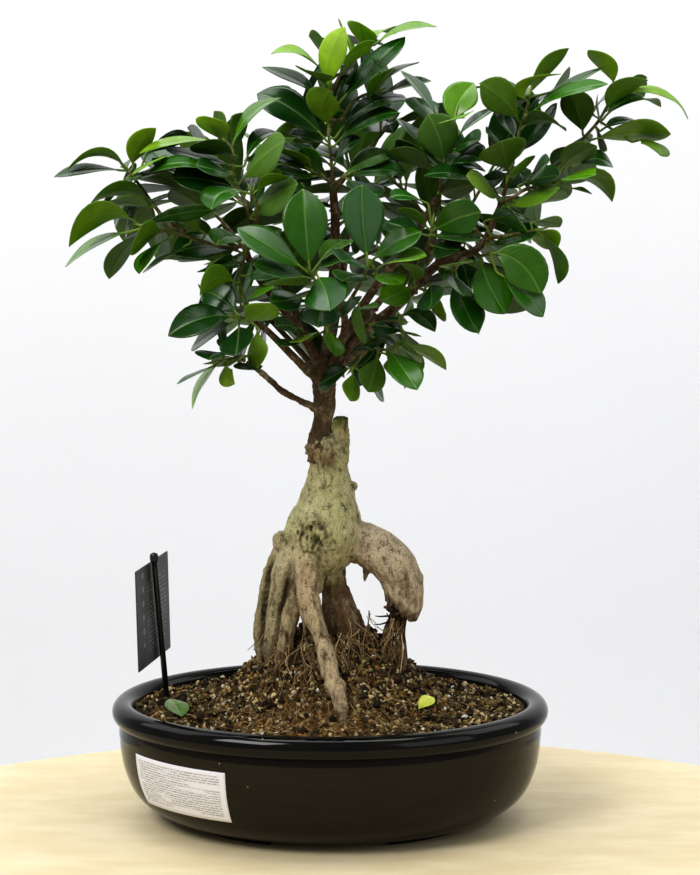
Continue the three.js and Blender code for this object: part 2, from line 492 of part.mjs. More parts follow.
// [foot x,y,z, blade start x,y,z, middle x,y,z, tip x,y,z, cross x,y,z, width]
const LEAVES = {
  leafy_twig_left_1: [
    [-124.9,-12.2,412.4,-125.2,-12.2,412,-147.1,-20,412.6,-169,-22.2,408.3,-0.23,0.95,0.21,26.2],
    [-124.9,-12.3,412.3,-124.6,-12.2,412.7,-141.7,-17.7,422.4,-161.1,-26.2,411.9,-0.34,0.91,-0.24,25.5],
    [-123.8,-13.1,411.3,-121.4,-13,413.9,-118.9,-11.8,426.1,-106.9,-13,438.3,-0.48,-0.83,0.28,21.6],
    [-121.6,-14.8,408.9,-116.2,-15.7,413.8,-105.6,-1.1,430.7,-87.2,10.6,431.6,-0.36,0.76,-0.54,21.8],
    [-122,-14.5,409.4,-118.1,-15.7,413.2,-110.8,-33.2,416,-103.6,-51.3,417.6,0.78,0.38,0.49,24.1],
    [-122.3,-14.2,409.8,-125.7,-14.3,407.1,-112.9,-30.7,408.8,-100.1,-44.3,411.1,-0.67,-0.62,-0.41,26.4],
    [-109,-24.1,392.9,-108.8,-24.1,393,-125.6,-27.5,400.4,-145.1,-34,392.5,-0.24,0.89,-0.4,25.1],
    [-106.5,-25.8,389.7,-106.9,-25.8,389.4,-122.5,-34.5,392.5,-138.2,-45.8,390.7,-0.53,0.81,-0.27,27],
    [-106.3,-26,389.4,-106.3,-25.1,388.9,-104.7,-0.4,375.4,-111,22.5,359.5,0.35,-0.46,-0.81,26.3],
    [-125.2,-12,412.7,-125.2,-11,412.6,-124.9,1.9,411.6,-123.3,14.8,409.7,0.57,0.05,0.82,13.5],
    [-119.3,-16.5,406.1,-119.8,-15.9,405.4,-129.6,-5.9,392.3,-135,6.5,378.4,-0.23,0.68,0.7,17.7],
    [-112.7,-21.4,397.8,-113.1,-20.8,397.1,-122.6,-10.5,385.1,-128.2,1.4,371.9,-0.07,0.73,0.68,18.9],
    [-115.8,-19.1,401.8,-116.1,-18.4,401.1,-121.6,3.7,386.4,-128.8,19.6,365,0.96,0.05,-0.29,27.3],
    [-125.2,-12,412.7,-125.2,-11.1,413,-125.5,0.9,418.1,-123.6,13.7,421,0.73,-0.25,0.63,14.4],
    [-120.5,-15.6,407.6,-121.2,-15.5,406.9,-133.1,-14.1,398.1,-142.6,-13.4,386.4,0.16,0.98,-0.06,14.2],
  ],
  leafy_twig_front_left_1: [
    [-109.7,-42,378.1,-115.8,-42,379.9,-138.2,-46.2,385.9,-156.2,-54,366.3,-0,0.75,-0.66,25],
    [-109.7,-42,378.1,-119.5,-42,375.6,-142.3,-39.9,367.7,-161.8,-32,353.5,0.05,0.94,0.33,26.7],
    [-109.7,-42,378.1,-112.2,-42,374.4,-125.3,-34.5,364,-135.2,-30,346.1,0.48,0.87,-0.02,25.1],
    [-100.6,-40.3,376,-100.8,-40.3,375,-109.8,-54.4,372.9,-117.2,-70.3,365.5,-0.37,0.46,-0.81,25.2],
    [-94.9,-38.5,374.4,-95.5,-38.5,371.9,-106.7,-50.4,363.8,-113.8,-58.5,350.3,-0.57,0.78,-0.24,25.5],
    [-83.8,-34,371.2,-85,-33.6,368.2,-100.1,-37.2,359.2,-114,-32.8,350.5,-0.06,0.99,0.15,25.1],
    [-109.7,-42,378.1,-112.2,-41.4,378.6,-92.5,-51.3,386,-67.8,-51.6,389,0.3,0.85,-0.43,18.9],
    [-78,-31,369.3,-75.9,-32.3,373.6,-87.7,-37.1,381,-98.2,-41.4,381.7,-0.42,0.89,-0.17,19.8],
    [-109.7,-42,378.1,-110.2,-41.1,377.8,-117.1,-28.9,374.8,-123.1,-16.6,370.2,0.74,0.52,0.42,15.3],
  ],
  leafy_twig_left_2: [
    [-56.6,-27.4,404.4,-58.1,-29.7,404,-83.6,-46,415.9,-108.7,-42.2,411.1,-0.18,0.92,0.35,20.4],
    [-56.2,-27.6,403.6,-54.5,-28.5,404.6,-40.4,-42.4,419.5,-26.1,-54.2,429.4,-0.03,0.68,0.73,29.9],
    [-59,-24,418.6,-56.5,-24,420.4,-69.5,-30.8,425.1,-84,-40,426.7,-0.53,0.78,-0.33,24.1],
    [-58.7,-25,414.8,-57.1,-25,414.9,-80.9,-24.8,420.4,-100.3,-19,426.6,0.2,0.95,0.26,26.6],
    [-58.5,-26,411.3,-58.3,-26,411.3,-85.7,-19.1,412.6,-109.7,-6,420.1,0.39,0.88,0.28,29.1],
    [-58.7,-25.1,414.5,-52.2,-25.1,414.9,-41.3,-20.1,433.3,-25.6,-11.1,432.9,0.51,-0.85,-0.1,25],
    [-54.6,-28,400.4,-54.6,-28,400.4,-74.5,-40.6,406.3,-94.4,-48,407.5,-0.22,0.68,0.7,28.5],
    [-58.3,-26.6,409,-57.1,-26,408.9,-68.8,-43.1,412.3,-79.6,-51.9,414.6,-0.51,0.58,0.63,19.1],
    [-59.9,-21.3,424.9,-60.3,-21.3,424.7,-48,-20.1,446.6,-29.8,-13.3,456.6,0.36,-0.93,-0.11,25.5],
    [-65,-18.4,431.2,-66,-18.4,430.3,-70.1,-29.7,436.6,-74.6,-42.4,444.6,-0.92,0.38,0.08,22.1],
    [-60.8,-20.6,426.4,-61.6,-20.6,425.9,-66.8,-14.6,437.1,-71.2,-10.7,448.8,-0.35,0.79,-0.5,20.6],
    [-60,-21.3,425.1,-59.7,-20.3,424.7,-56.6,-9.3,436.6,-52.3,-6.5,448.3,-0.28,-0.79,0.55,21.6],
    [-64.4,-18.7,430.6,-66,-18.7,429,-93,-25.9,430.1,-116.2,-26.7,422.2,-0.18,0.97,0.19,25.6],
  ],
  leafy_twig_front_centre_1: [
    [-46.5,-41.9,398.2,-47.2,-41.9,397.9,-62.8,-54.5,399.1,-69.4,-63.9,388.5,-0.73,0.64,0.24,24.2],
    [-46.6,-42,398.5,-46.6,-42,399.1,-40.8,-33.4,410.6,-36.4,-22,419.2,0.52,-0.72,0.45,22.7],
    [-46.4,-41.8,398.1,-45.4,-41.8,398.5,-35.5,-45.9,405.7,-25.1,-51.8,408.6,-0.5,-0.85,0.16,19.4],
    [-44.3,-33.8,382.7,-48.2,-34.7,383.4,-37.1,-38.4,394.3,-18.5,-50.5,403.9,-0.06,0.75,0.66,28.4],
    [-43.6,-35.3,384.8,-47,-35.3,385.8,-27.5,-33.9,390.1,-6.9,-27.3,396.7,0.29,-0.84,-0.46,25.1],
  ],
  leafy_twig_centre_1: [
    [-0.2,3.6,430.3,-1.1,3.6,430.2,-23.5,5.4,450.7,-45.7,13.7,460.3,0.56,0.5,0.66,25.1],
    [0,4.5,427.2,0.2,6.7,427.8,-13.6,5.3,432.7,-24.7,0.3,434.4,-0.13,0.91,0.4,19.3],
    [0.5,5.5,422.3,-0.5,5.5,422.2,-16.9,10.9,424.1,-27.2,19.5,430.6,0.51,0.83,0.23,23.4],
    [-0.4,3.1,432.4,3.3,3.1,432.7,25.2,4,453.7,49.1,11.1,457.1,0.32,-0.89,-0.31,26.7],
    [-0,4.4,427.5,2.7,4.4,427.7,22,-3.4,442.9,43.1,-5.6,447.8,-0.01,-0.9,-0.44,26.2],
    [1.3,6.8,415.2,2.7,6.8,415.4,9,0.3,425.8,19.5,-3.2,432.5,0.04,-0.84,-0.53,20.1],
    [-2.8,1.9,407.5,-2.9,2.3,407.9,-10.9,-3.3,418.9,-16.4,-7.1,426.9,0.72,-0.67,0.19,19.4],
    [-10.2,-7.2,411.7,-10.9,-6.7,411.5,-23.3,-8.6,417,-36.8,-10.9,421.3,-0.04,0.95,0.31,19.4],
    [-9.7,-6.6,411.4,-9.7,-6.6,411.5,-20,-13.5,420,-31.4,-22.6,425.9,-0.57,0.82,0.06,23],
    [-7.8,-4.2,410.1,-8.5,-4.2,409,-20.7,-12.7,410.2,-33.5,-18.2,414.4,-0.4,0.85,0.34,22.1],
    [-9.7,-6.6,411.4,-12.2,-5.1,410.3,-23.6,1.1,407.9,-34.9,3.7,400.4,0.05,0.8,0.6,20.3],
    [8.7,-1.4,408.4,8.3,-1.4,409.1,22.7,-0.4,419,38.4,4.6,423.4,0.35,-0.86,-0.37,25],
    [9.9,-3,409,10.2,-3,408.4,28.8,-10.3,412.7,47.9,-12.9,410.2,-0.22,-0.89,-0.41,27.1],
    [9.6,-2.6,408.9,10.2,-2.6,407.8,20.1,-17,401.6,31,-28.6,396.7,-0.79,-0.61,-0.05,25.8],
  ],
  leafy_twig_top_centre_1: [
    [0.3,1.8,438.8,0.8,1.8,438.8,-4.6,-8.2,450.7,0.5,-20.2,461.1,-0.93,0.28,0.26,23.4],
    [1.1,-0.8,457.9,-7.2,-0.8,457.2,-19.6,-1.2,467.6,-42.1,3.2,476.4,0.23,0.95,0.23,26.1],
    [0.9,-1,459.6,-2.8,-1,471.9,-19.4,-5.2,484.4,-36.1,-5,483.8,-0.03,0.97,0.23,26.1],
    [0.9,-1,459.6,0.3,-1.7,459.6,-0.2,-11.9,479.7,9.6,-16,499.4,-0.77,0.52,0.37,20.2],
    [0.9,-1,459.6,-2.2,-2.8,465.6,-8.1,-17.1,469.7,-13.9,-34.2,472.4,-0.89,0.38,0.24,25.2],
    [1,-0.8,458.6,-1.6,-0.8,458.4,-4.8,6.8,466.1,-9.2,13.2,473.9,-0.04,0.73,-0.68,17.8],
    [0.9,-1,459.6,0.9,-2.4,479.1,-5.9,1.6,489.2,-12.9,7.9,495.7,0.01,0.85,-0.52,18.8],
    [1.2,-0.4,455.8,3.4,-0.4,455.9,7.7,7.3,466.2,12.7,17.6,475.4,0.57,-0.72,0.39,21.4],
    [1.5,-0,453.2,5.2,-0,453.5,25.8,1.4,475.1,47,10,495.3,0.48,-0.83,-0.28,25],
    [23.8,7,459.9,24.6,7,457.5,30.1,-2.1,466.3,38.5,-13.1,474.8,-0.63,-0.71,-0.31,22.5],
    [27.7,8,461.3,34.6,8,468.7,44.1,13.6,475.8,55.6,22,480,0.55,-0.83,0.01,21.2],
    [27.7,8,461.3,31.5,8.2,459.4,46.4,4.5,464.8,63.2,3.7,467.8,-0.06,-0.96,-0.27,24.5],
    [1,0.8,446.8,0.7,1.7,446.9,-2.5,15.7,450.8,-7.4,29.9,449.6,0.92,0.29,-0.27,14.7],
    [27.7,8,461.3,27.6,8.7,461.9,26.4,17.9,471.1,25.1,28.6,478.6,0.99,0.11,0.02,14],
    [9.6,3.5,448.4,9,4.2,448.8,1.6,14,453.2,-7.3,23.1,456.2,0.4,0.61,-0.69,13.6],
  ],
  leafy_twig_top_centre_2: [
    [7.8,4.7,472.6,8.3,4.6,472.2,17,-6.9,484.9,28.7,-8.5,490.9,0.53,0.85,0.01,23],
    [22.4,12.5,488.4,22.1,12.5,488.7,20.1,1.2,495.9,17.6,-11.5,502.8,-0.87,0.36,0.33,21.5],
    [25.2,14,491.3,25.2,15,492.6,33,29.7,501.1,41.5,42.2,499.6,0.84,-0.53,0.11,21],
    [25.2,14,491.3,27.7,14,490.6,46.5,13.5,500.5,67.3,18,502.1,0.16,-0.96,-0.21,27.4],
    [14.6,8.3,480.4,13.9,8.3,481,11.4,17.9,494,6.4,30.3,504.3,0.39,0.73,-0.56,24.4],
    [13.8,7.9,479.6,13,8,480.2,3.7,9.1,489.3,-8,10.2,495.4,0.05,1,-0.08,12.7],
    [25.2,14,491.3,25,15,491.4,19.7,41.5,496,13,68.5,495,0.95,0.23,-0.23,27.2],
    [9.6,5.7,474.6,9.2,6.6,474.4,4.7,19.3,472.6,0.8,32,469.4,0.81,0.36,0.46,12.8],
    [13.9,8,479.8,13.3,8.7,480.1,4.4,17.4,483.9,-5,26.2,486.1,0.66,0.74,-0.15,14.6],
    [12.2,7,477.7,11.8,8,477.6,6.1,19.7,477.8,1.4,31.7,474.7,0.86,0.41,0.29,12.9],
    [25.2,14,491.3,25.6,14.9,491.3,31.8,26.3,493,36,38.8,490.9,0.79,-0.35,-0.51,13.8],
    [16.8,9.5,482.7,16.6,10.4,482.4,14.1,30.2,477.8,5.5,47.8,471,0.38,-0.17,-0.91,19.7],
  ],
  leafy_twig_front_centre_2: [
    [-10.4,-72,350.8,-11,-72,352,-13.3,-72.2,376.2,-15.2,-66,400.9,1,-0,0.08,27.4],
    [-10.4,-72,350.8,-13.4,-72,352.6,-32.1,-78.1,365.7,-53.8,-78,378,0.21,0.83,0.52,28.9],
    [-9.1,-69.3,348.5,-10.5,-69.3,347.7,-27.5,-76.6,352.7,-44.5,-79.3,356.9,-0.13,0.87,0.48,26.7],
    [-7.8,-66.5,346.3,-9.3,-67.2,344.7,-20.9,-80.3,345.2,-32.5,-100,347.8,-0.81,0.56,-0.18,28.9],
    [-10.3,-71.8,350.6,-8.1,-71.7,352,3.2,-65.2,359.4,12.7,-55.7,363.3,0.64,-0.76,-0.11,21.7],
    [-10.4,-72,350.8,-6.9,-72,355.5,3.1,-62.6,366.5,12.7,-50,370.4,0.73,-0.68,0.03,24.4],
    [-9.7,-70.4,349.4,-7.5,-70.3,350.7,-1.4,-88.8,340.9,1.1,-104.3,330.7,-0.92,0,-0.39,28.1],
    [-4.1,-58,340.7,-4.1,-58,335.9,-5.2,-70.1,326.9,-6.2,-80,319.8,-0.99,-0,0.13,24.5],
    [-5.9,-62.1,343.3,-14.2,-62.3,337.3,-24.1,-71.7,335.4,-34.6,-78.3,334.5,-0.53,0.56,0.64,20.1],
  ],
  leafy_twig_front_centre_3: [
    [22.8,-72,354.3,23.4,-72,356.7,20.4,-73,380.9,19.8,-68,403.2,0.89,0.45,0.03,28.5],
    [14.2,-45.3,336.2,13.9,-45.3,336.4,12.7,-59.1,331.1,9.7,-71.3,325.8,-0.79,0.34,-0.52,21.6],
    [20.9,-65.4,349.4,21.1,-65.4,349.4,14.5,-80.3,349.9,8,-93.4,347.5,-0.89,0.4,0.21,23.2],
    [22.7,-71.7,354.1,22.2,-71.7,354.3,15,-89.6,359.1,8.1,-105.7,359,-0.77,0.39,0.5,27],
    [14.4,-46,336.6,17.6,-47,332.9,19.3,-57.7,321.4,21.1,-65,308.7,0.39,0.76,-0.51,22.8],
    [11.4,-37.4,331.7,17,-37.5,328.1,23,-43.3,329.7,30.3,-47.5,329.9,-0.56,-0.79,-0.26,14],
    [10.2,-34,329.8,10.2,-33,329.8,9.7,-13.8,331.6,8,5.5,328.4,0.97,0.05,-0.23,20.1],
  ],
  leafy_twig_low_front_left_1: [
    [-54.6,-48,323.9,-54.6,-48,324.5,-65.2,-42.6,334.5,-76.7,-34,338.9,0.62,0.18,0.77,22.5],
    [-54.6,-48,323.9,-56.4,-48,323.2,-75.4,-53.7,323.6,-97.2,-54,312.7,-0.27,0.72,0.64,25.6],
    [-54.6,-48,323.9,-57,-48,321.4,-72,-42.9,313.2,-84.3,-34,304.6,0.11,0.85,0.52,25.3],
    [-52,-43.3,322.8,-52.4,-43.4,321.8,-42.9,-52.5,324.7,-34,-63.4,333.1,-0.78,-0.5,0.38,22.3],
    [-53.6,-46.1,323.5,-54.7,-46.4,319.5,-54.6,-60.5,310.8,-55.2,-72.3,302.7,-0.91,0.24,-0.35,23.2],
    [-49,-38,321.4,-43.6,-38,316.5,-44.7,-41,304.5,-43.3,-46,292.7,0.67,-0.71,0.24,19.6],
  ],
  leafy_twig_left_3: [
    [-55,-38,344.6,-53.9,-37.2,328.7,-53,-29,341.2,-47.5,-28.2,357.7,0.55,-0.82,0.13,21.9],
    [-55,-38,344.6,-55.5,-39.8,343.5,-68.6,-53.3,347.7,-77.1,-62.1,337.3,-0.22,0.45,-0.87,20.3],
    [-55,-38,344.6,-50.2,-38,331.8,-43,-48.2,339.6,-33,-56,341.8,-0.41,-0.71,-0.57,20.6],
    [-53.4,-29.5,355,-52.3,-29.5,354.7,-64.6,-29.3,353.4,-81.5,-25.5,350.2,0.1,0.98,0.19,22.5],
    [-53.1,-28.5,355.9,-57.3,-28,356.4,-66.8,-42.3,358.1,-74.3,-49.4,353.5,0.65,-0.58,0.49,21],
    [-51.7,-23.1,359.3,-55.2,-20.1,362.3,-76.1,-22,366.1,-95.1,-31.2,361.4,-0.22,0.76,0.61,26.8],
    [-51.7,-23.1,359.3,-52,-22,369.8,-61.1,-35.1,372.5,-67.7,-46,367.3,-0.8,0.49,0.33,21.9],
    [-54.7,-35.4,348.5,-50.9,-35.4,348.2,-40.7,-44.6,350.9,-29.5,-51.4,348.8,-0.5,-0.69,-0.53,20.5],
  ],
  leafy_twig_low_left_1: [
    [-61.5,-27.5,296.4,-61.5,-27,295.4,-64.8,-33.3,287.9,-58,-36,282,0.62,-0.56,0.54,14.3],
    [-67.6,-29.4,295.4,-67.5,-29.4,295,-78.1,-29.4,282.6,-85.3,-25.4,265.4,-0.14,0.97,0.22,25.6],
    [-69.9,-30,295,-71.8,-30,292.6,-82,-34.5,288,-93.6,-36,282,-0.28,0.96,0.02,14],
    [-65.6,-28.8,295.7,-66.3,-28.8,299.9,-69.6,-44.4,301.7,-72.3,-58.8,298.6,-0.98,0.19,0.02,23],
    [-56.2,-24.8,296.6,-56.6,-24.9,295.2,-51.2,-35.7,292.4,-43.4,-44.9,291.4,-0.84,-0.55,-0.04,19.1],
    [-55.8,-24.6,296.5,-55.4,-24.5,297.7,-57.7,-39.1,296.4,-60.6,-52.5,294.4,-0.92,0.21,-0.33,21.8],
    [-54.4,-23.6,296,-55,-22.8,295.9,-63.6,-11,295.3,-73,-0.5,290.6,0.77,0.55,-0.32,15.5],
    [-53.6,-23,295.7,-53.7,-22,295.7,-55,2.9,296.5,-56.2,27.9,293.3,1,0.05,0.01,25.3],
    [-65.1,-28.7,295.8,-65.4,-28.2,296.6,-70.7,-13.8,320.7,-82.9,2,341.7,0.37,0.83,-0.41,26.9],
    [-56,-24.7,296.6,-56.5,-23.9,297,-62.2,-12.9,303.7,-68,-0.9,308.6,0.91,0.37,0.18,13.9],
  ],
  leafy_twig_low_centre_1: [
    [-17.1,-26.6,312.8,-16.3,-26.6,313.3,-24.1,-34.6,317.6,-33.1,-40.6,317.3,-0.47,0.71,0.53,17.8],
    [-15.4,-21.1,310.1,-17.7,-21.2,308,-23.6,-31,307.5,-29.5,-39.2,305.6,-0.84,0.54,0.1,17.4],
    [-15,-20,309.6,-12.1,-20.1,311.7,-14.3,-35.8,310.9,-17,-49.1,308.8,-0.94,0.19,-0.29,20.4],
    [-13.4,-16,307.6,-12.5,-15.8,308,-1,-13.7,313.7,11.8,-11.7,316.3,0.12,-0.98,0.13,14.5],
  ],
  leafy_twig_low_centre_2: [
    [-0.9,-28,313.4,-0.9,-28,314.7,2.3,-36,307.8,4.2,-42,299.7,-0.75,-0.59,0.3,17.1],
    [-0.9,-28,313.4,-0.6,-27.9,314.4,2.6,-27.1,327,7.2,-25.2,339.1,0.59,-0.8,-0.1,13.2],
    [-0.9,-28,313.4,-0.9,-27.4,314.2,-1.7,-20.6,325.3,-4,-11.5,334.6,0.87,0.44,-0.21,12.7],
  ],
  leafy_twig_right_1: [
    [70.5,-16.9,415.3,70.6,-17.6,415,67.6,-27.3,430.6,60.1,-29.4,446.2,-0.95,-0,-0.32,26.6],
    [76.2,-19.5,440.8,77.1,-19.5,440.6,79,-16.2,453.4,89.2,-9.5,465.9,0.9,-0.31,-0.31,22.5],
    [76.3,-19.5,440.9,67.9,-19.4,443,55.6,-18.8,460.6,44.6,-13.4,473,0.34,0.94,0.08,27.4],
    [75,-20,435.8,66,-20,438.1,59,-11.5,449.4,52.5,0,457.8,0.85,0.52,0.06,23.3],
    [71,-17.8,418,67.5,-17.8,418.7,54.6,-15,432.2,42.4,-7.8,444,0.43,0.9,0.06,24.9],
    [70.2,-16.2,413.2,65.7,-16.9,413.8,52.6,-20.6,423.5,41.4,-26.9,431.3,0.51,-0.83,0.23,19.2],
    [69.6,-15.2,410.2,66.4,-15.2,410.8,50.1,-20.8,419.3,35.9,-29.2,424.6,-0.49,0.83,-0.25,26.4],
    [74.6,-20,434.3,78.3,-20,433.3,90.7,-16.9,443.7,103.4,-10,451.9,0.38,-0.92,-0.02,24.3],
    [72.2,-19.2,424.1,75.4,-19.2,423.6,82.7,-31.4,428.7,91.2,-41.2,430.3,-0.53,-0.57,-0.63,21.3],
    [70.8,-17.4,416.9,74.3,-17.4,416.3,82.8,-30.6,421.5,91.8,-41.4,417.7,-0.67,-0.52,-0.53,22.5],
    [70.4,-16.7,414.8,75.5,-16.7,413.8,86.7,-15,415.1,96.3,-10.7,412.1,0.22,-0.89,-0.4,17.4],
    [75.9,-19.6,439.6,70.7,-24.9,441.6,74.9,-51,442.5,79.7,-72.5,442.9,-0.92,-0.18,-0.34,22.6],
    [68.5,-11,400.4,67.2,-11,397.9,77.4,-6,401.6,92.5,-3,404.1,-0,-0.61,0.79,20.9],
    [76,-19.6,439.8,75.5,-18.7,439.8,69.5,-7.2,440.4,63.8,4.5,438.4,0.88,0.45,0.16,13.7],
    [77.1,-19,444.2,77.3,-18.1,444.6,80.9,-3.2,453.5,83,13.8,458.6,0.92,0,-0.38,16.9],
    [72.5,-19.6,426.1,73.4,-19.1,426.1,84.1,-11.6,426.3,96.6,-7.5,423.8,0.32,-0.48,0.82,12.2],
    [77.1,-19,444.1,76.7,-18.1,444.1,72.7,-5.7,444.5,67,6,441.9,0.83,0.29,-0.48,12.7],
  ],
  leafy_twig_right_2: [
    [106.3,-28,393.1,104.5,-28,394.3,82,-34,408.8,57.7,-34,408.8,-0.02,0.94,0.33,27.8],
    [106.3,-28,393.1,103.2,-29.6,394.3,95.5,-42.9,403.3,82.3,-50.9,408.6,0.23,-0.69,-0.69,22.6],
    [117.2,-33.6,399.4,115,-32.9,402.8,128.3,-33.8,407.6,139.7,-41.3,408.7,-0.09,-0.74,-0.67,18.8],
    [131.7,-33.3,403.4,132.1,-33.3,401.6,159.2,-29.6,408.2,172.9,-29.3,393.1,0.16,-0.93,0.32,26.3],
    [106.3,-28,393.1,108.3,-26.4,389.4,122.1,-36.3,396.7,139.3,-46.3,401.5,0.27,0.77,0.58,22.7],
    [111.5,-32,395.5,115.8,-32,388.8,132.2,-25.8,394.3,146.1,-22,395.5,0.23,-0.92,0.33,24.2],
    [138.2,-32,404.6,146.8,-32,401.6,153.4,-32.9,400.3,160.3,-32,397.9,-0.05,-0.98,-0.2,12.6],
    [138.2,-32,404.6,138.6,-34,405.8,149,-50,408.7,159.5,-58,409.2,-0.7,-0.65,-0.31,23.8],
    [122,-34,401.2,121,-34,405.2,126,-45.2,411.7,132.3,-54,418.1,-0.29,-0.63,-0.72,20.4],
    [107.9,-29.2,393.8,109.3,-29.2,390.6,112.1,-41,384.7,117.3,-51.2,382.4,-0.88,-0.41,0.23,19.4],
    [138.2,-32,404.6,138.1,-31,404.4,135.8,-14.2,402.6,135.6,2.5,398.1,0.75,0.18,0.64,17.3],
  ],
  leafy_twig_top_right_1: [
    [119,-11.4,441.9,117.2,-9.6,442.1,106.4,-27.6,454.7,91.1,-38.5,464.4,-0.65,-0,-0.76,21.4],
    [109.6,-31,411.2,109.6,-31,411.2,105.7,-42.2,421.3,103.4,-55,429.3,-0.95,-0,-0.32,30.3],
    [115.9,-14.7,430.7,115,-14.7,431,109.2,-9.1,440.9,104.7,-0.7,451.6,0.66,0.73,-0.17,20.7],
    [114.4,-16.1,424.5,107.5,-16.1,426.1,101.9,-25,431.3,95.3,-32.1,435.3,-0.4,0.67,0.63,17.7],
    [123.4,-7,456.9,122.7,-7.8,458.1,131.8,5.9,472.3,149.2,7.2,488.3,-0.19,-0.81,0.56,19.7],
    [122.6,-8.2,453.3,123.3,-8.2,453.2,120.8,-15.1,465,141.3,-24.1,470.6,-0.61,-0.79,-0.09,22.4],
    [123.4,-7,456.9,137.4,-2.7,460.8,145.6,23.7,467,153.7,47.4,472.7,0.4,-0.33,0.86,20.7],
    [120.8,-9.9,447.2,121.4,-9.9,447,127.1,-0.9,454.1,133.6,10.1,460.1,0.73,-0.62,0.27,20.7],
    [120.2,-10.4,445.4,122.6,-10.4,444.5,142.8,-9.9,461,170.7,-2.5,476.1,0.22,-0.97,-0.08,25.1],
    [120.5,-10.2,446.3,123.2,-11.3,445.7,140.5,-27.8,457.7,168.8,-34,464,-0.26,-0.87,-0.43,26.7],
    [117.6,-12.8,437.1,117.6,-12.8,437.1,130.2,-21.6,443.5,143.9,-32.8,435.9,-0.56,-0.76,0.33,24.5],
    [113.8,-16.7,421.9,116.2,-15.9,421.2,130.7,-3.5,438.6,141.9,4.1,454.3,0.15,0.79,-0.59,19.4],
    [108.8,-34,408.8,111.2,-34,407.6,116.4,-44.4,412.3,117.8,-56,419.3,-0.75,-0.47,-0.47,20],
    [111.5,-18.7,412.5,111.2,-18.7,412.6,102.9,-13.9,406.5,93.5,-6.7,407.8,0.26,0.67,0.7,17.6],
    [123.4,-7,456.9,123.3,-6,456.8,122,13.2,456.7,121.9,32.2,453.2,0.93,0.07,0.36,19],
    [111.9,-21.4,415.7,112.4,-21.2,414.8,120.3,-19.8,404.6,125.4,-17.6,392.6,-0.12,-0.97,-0.23,12],
    [123.4,-7,456.9,122.5,-7.1,457.2,108.2,-8.6,464,92.2,-10.7,465.5,-0.14,0.99,-0.09,14.8],
    [113.3,-17.2,419.6,113,-16.2,419.4,108.7,-3.8,417.8,105.4,8.9,415.1,0.63,0.31,0.71,13.1],
    [123.4,-7,456.9,123.1,-6,457,115.6,17.8,461.2,108.9,42.4,460.9,0.95,0.26,0.19,27],
    [123.4,-7,456.9,122.7,-6.3,457.1,105.9,10.1,464.8,89.2,29,463.7,0.73,0.66,0.19,23.7],
  ],
  leafy_twig_right_3: [
    [159.2,0.8,433.4,158,0.8,434.4,154.4,-2,448.5,147.4,-7.2,462.4,-0.82,0.56,-0.15,23.2],
    [176.6,8,458.8,177.8,8,465,172.1,4.1,477.1,160.1,-2,486.5,-0.52,0.85,-0.03,22.3],
    [172,6.2,449.8,172.8,6.2,449.4,180.1,1.5,461,197,-5.8,467.9,-0.58,-0.77,0.26,24.3],
    [176.4,7.9,458.5,177.9,8.5,457.6,208.5,21.1,463.1,226,17.8,444.9,-0.07,0.91,0.41,18.1],
    [168.6,4.7,444.5,170.1,3.9,443.8,190.6,19,457.4,209.9,24.8,452.7,0.49,-0.86,-0.15,29.9],
    [168.1,4.5,443.7,168.9,4.5,443.2,166.1,-8.2,448.3,163.4,-19.5,453.3,-0.08,0.4,0.91,20.5],
    [159.6,1,433.9,162.4,0.9,431.4,188.3,-1,435.6,211.6,-7.1,434.8,-0.17,-0.84,0.52,25.5],
    [165.3,3.3,440.2,168.8,3.3,437,184.4,8.5,443.4,199.5,17.3,441.1,0.43,-0.88,-0.19,25.1],
    [168,4.5,443.5,188.9,3,430.2,200.8,-5.4,430,203.9,-18.7,421.1,0.8,0.59,-0.08,21.3],
    [141.5,-8.3,412.9,143,-8.3,411.5,150.9,-14.1,421.2,164.1,-22.3,427.1,-0.69,-0.62,0.38,22.4],
    [146.9,-5.6,418.7,150.7,-5.6,415.2,166.2,-5,419.5,176.7,-1.4,414.6,0.13,-0.86,-0.5,20.3],
    [161.5,1.7,435.9,161.4,2.7,435.6,158.5,28,428.9,157.2,52.7,419.2,0.88,0.21,0.43,24.3],
    [176.6,8,458.8,177.4,8.3,459.3,187.9,12.5,465.8,199.6,15.9,470.6,0.06,-0.88,0.47,13.4],
    [168.7,4.8,444.6,168,5.4,444.9,158.3,12.6,450,149.4,22.3,451.5,0.67,0.53,0.52,14],
    [165.4,3.4,440.3,165.7,4.2,439.7,170.2,14.5,433.1,171.8,24.6,424.8,0.45,-0.61,-0.65,13.9],
    [142.8,-7.6,414.4,142.8,-6.7,414,143.3,16.6,406.1,140.5,37.5,392.9,0.87,-0.17,-0.46,23.6],
    [176.6,8,458.8,176.5,9,458.7,172.3,35.3,457,172.1,61.6,451.3,0.69,0.16,0.7,29.6],
    [148.6,-4.8,420.6,148.2,-3.9,420.4,143.8,8.3,418.8,141,20.6,415.1,0.74,0.35,0.58,13.5],
    [150.1,-3.9,422.5,150.1,-3,422.1,149.8,12.9,415.3,151.1,28.6,407.7,0.41,0.37,0.83,17.3],
    [176.6,8,458.8,177.1,8.9,458.9,187.8,30.5,462.9,202.8,50.2,460.5,0.67,-0.44,0.6,24.6],
    [131.7,-12.3,405.5,131.7,-11.4,404.9,129.2,9.8,393.1,133.7,28.8,377.6,0.52,0.46,0.72,26.1],
    [156.4,-0.5,430.2,156.4,0.4,429.9,155.5,28.3,418.7,153.4,54.7,404.2,0.94,-0.1,-0.32,32],
  ],
  leafy_twig_front_right_1: [
    [99,-40,371.4,94,-40.9,381.1,109.5,-51.2,384.2,118.4,-61.3,375.4,0.39,0.65,-0.65,24],
    [95.7,-34,370,97,-34,366.4,112.8,-41.1,372,127.7,-44,376.9,-0.12,-0.87,-0.48,25.1],
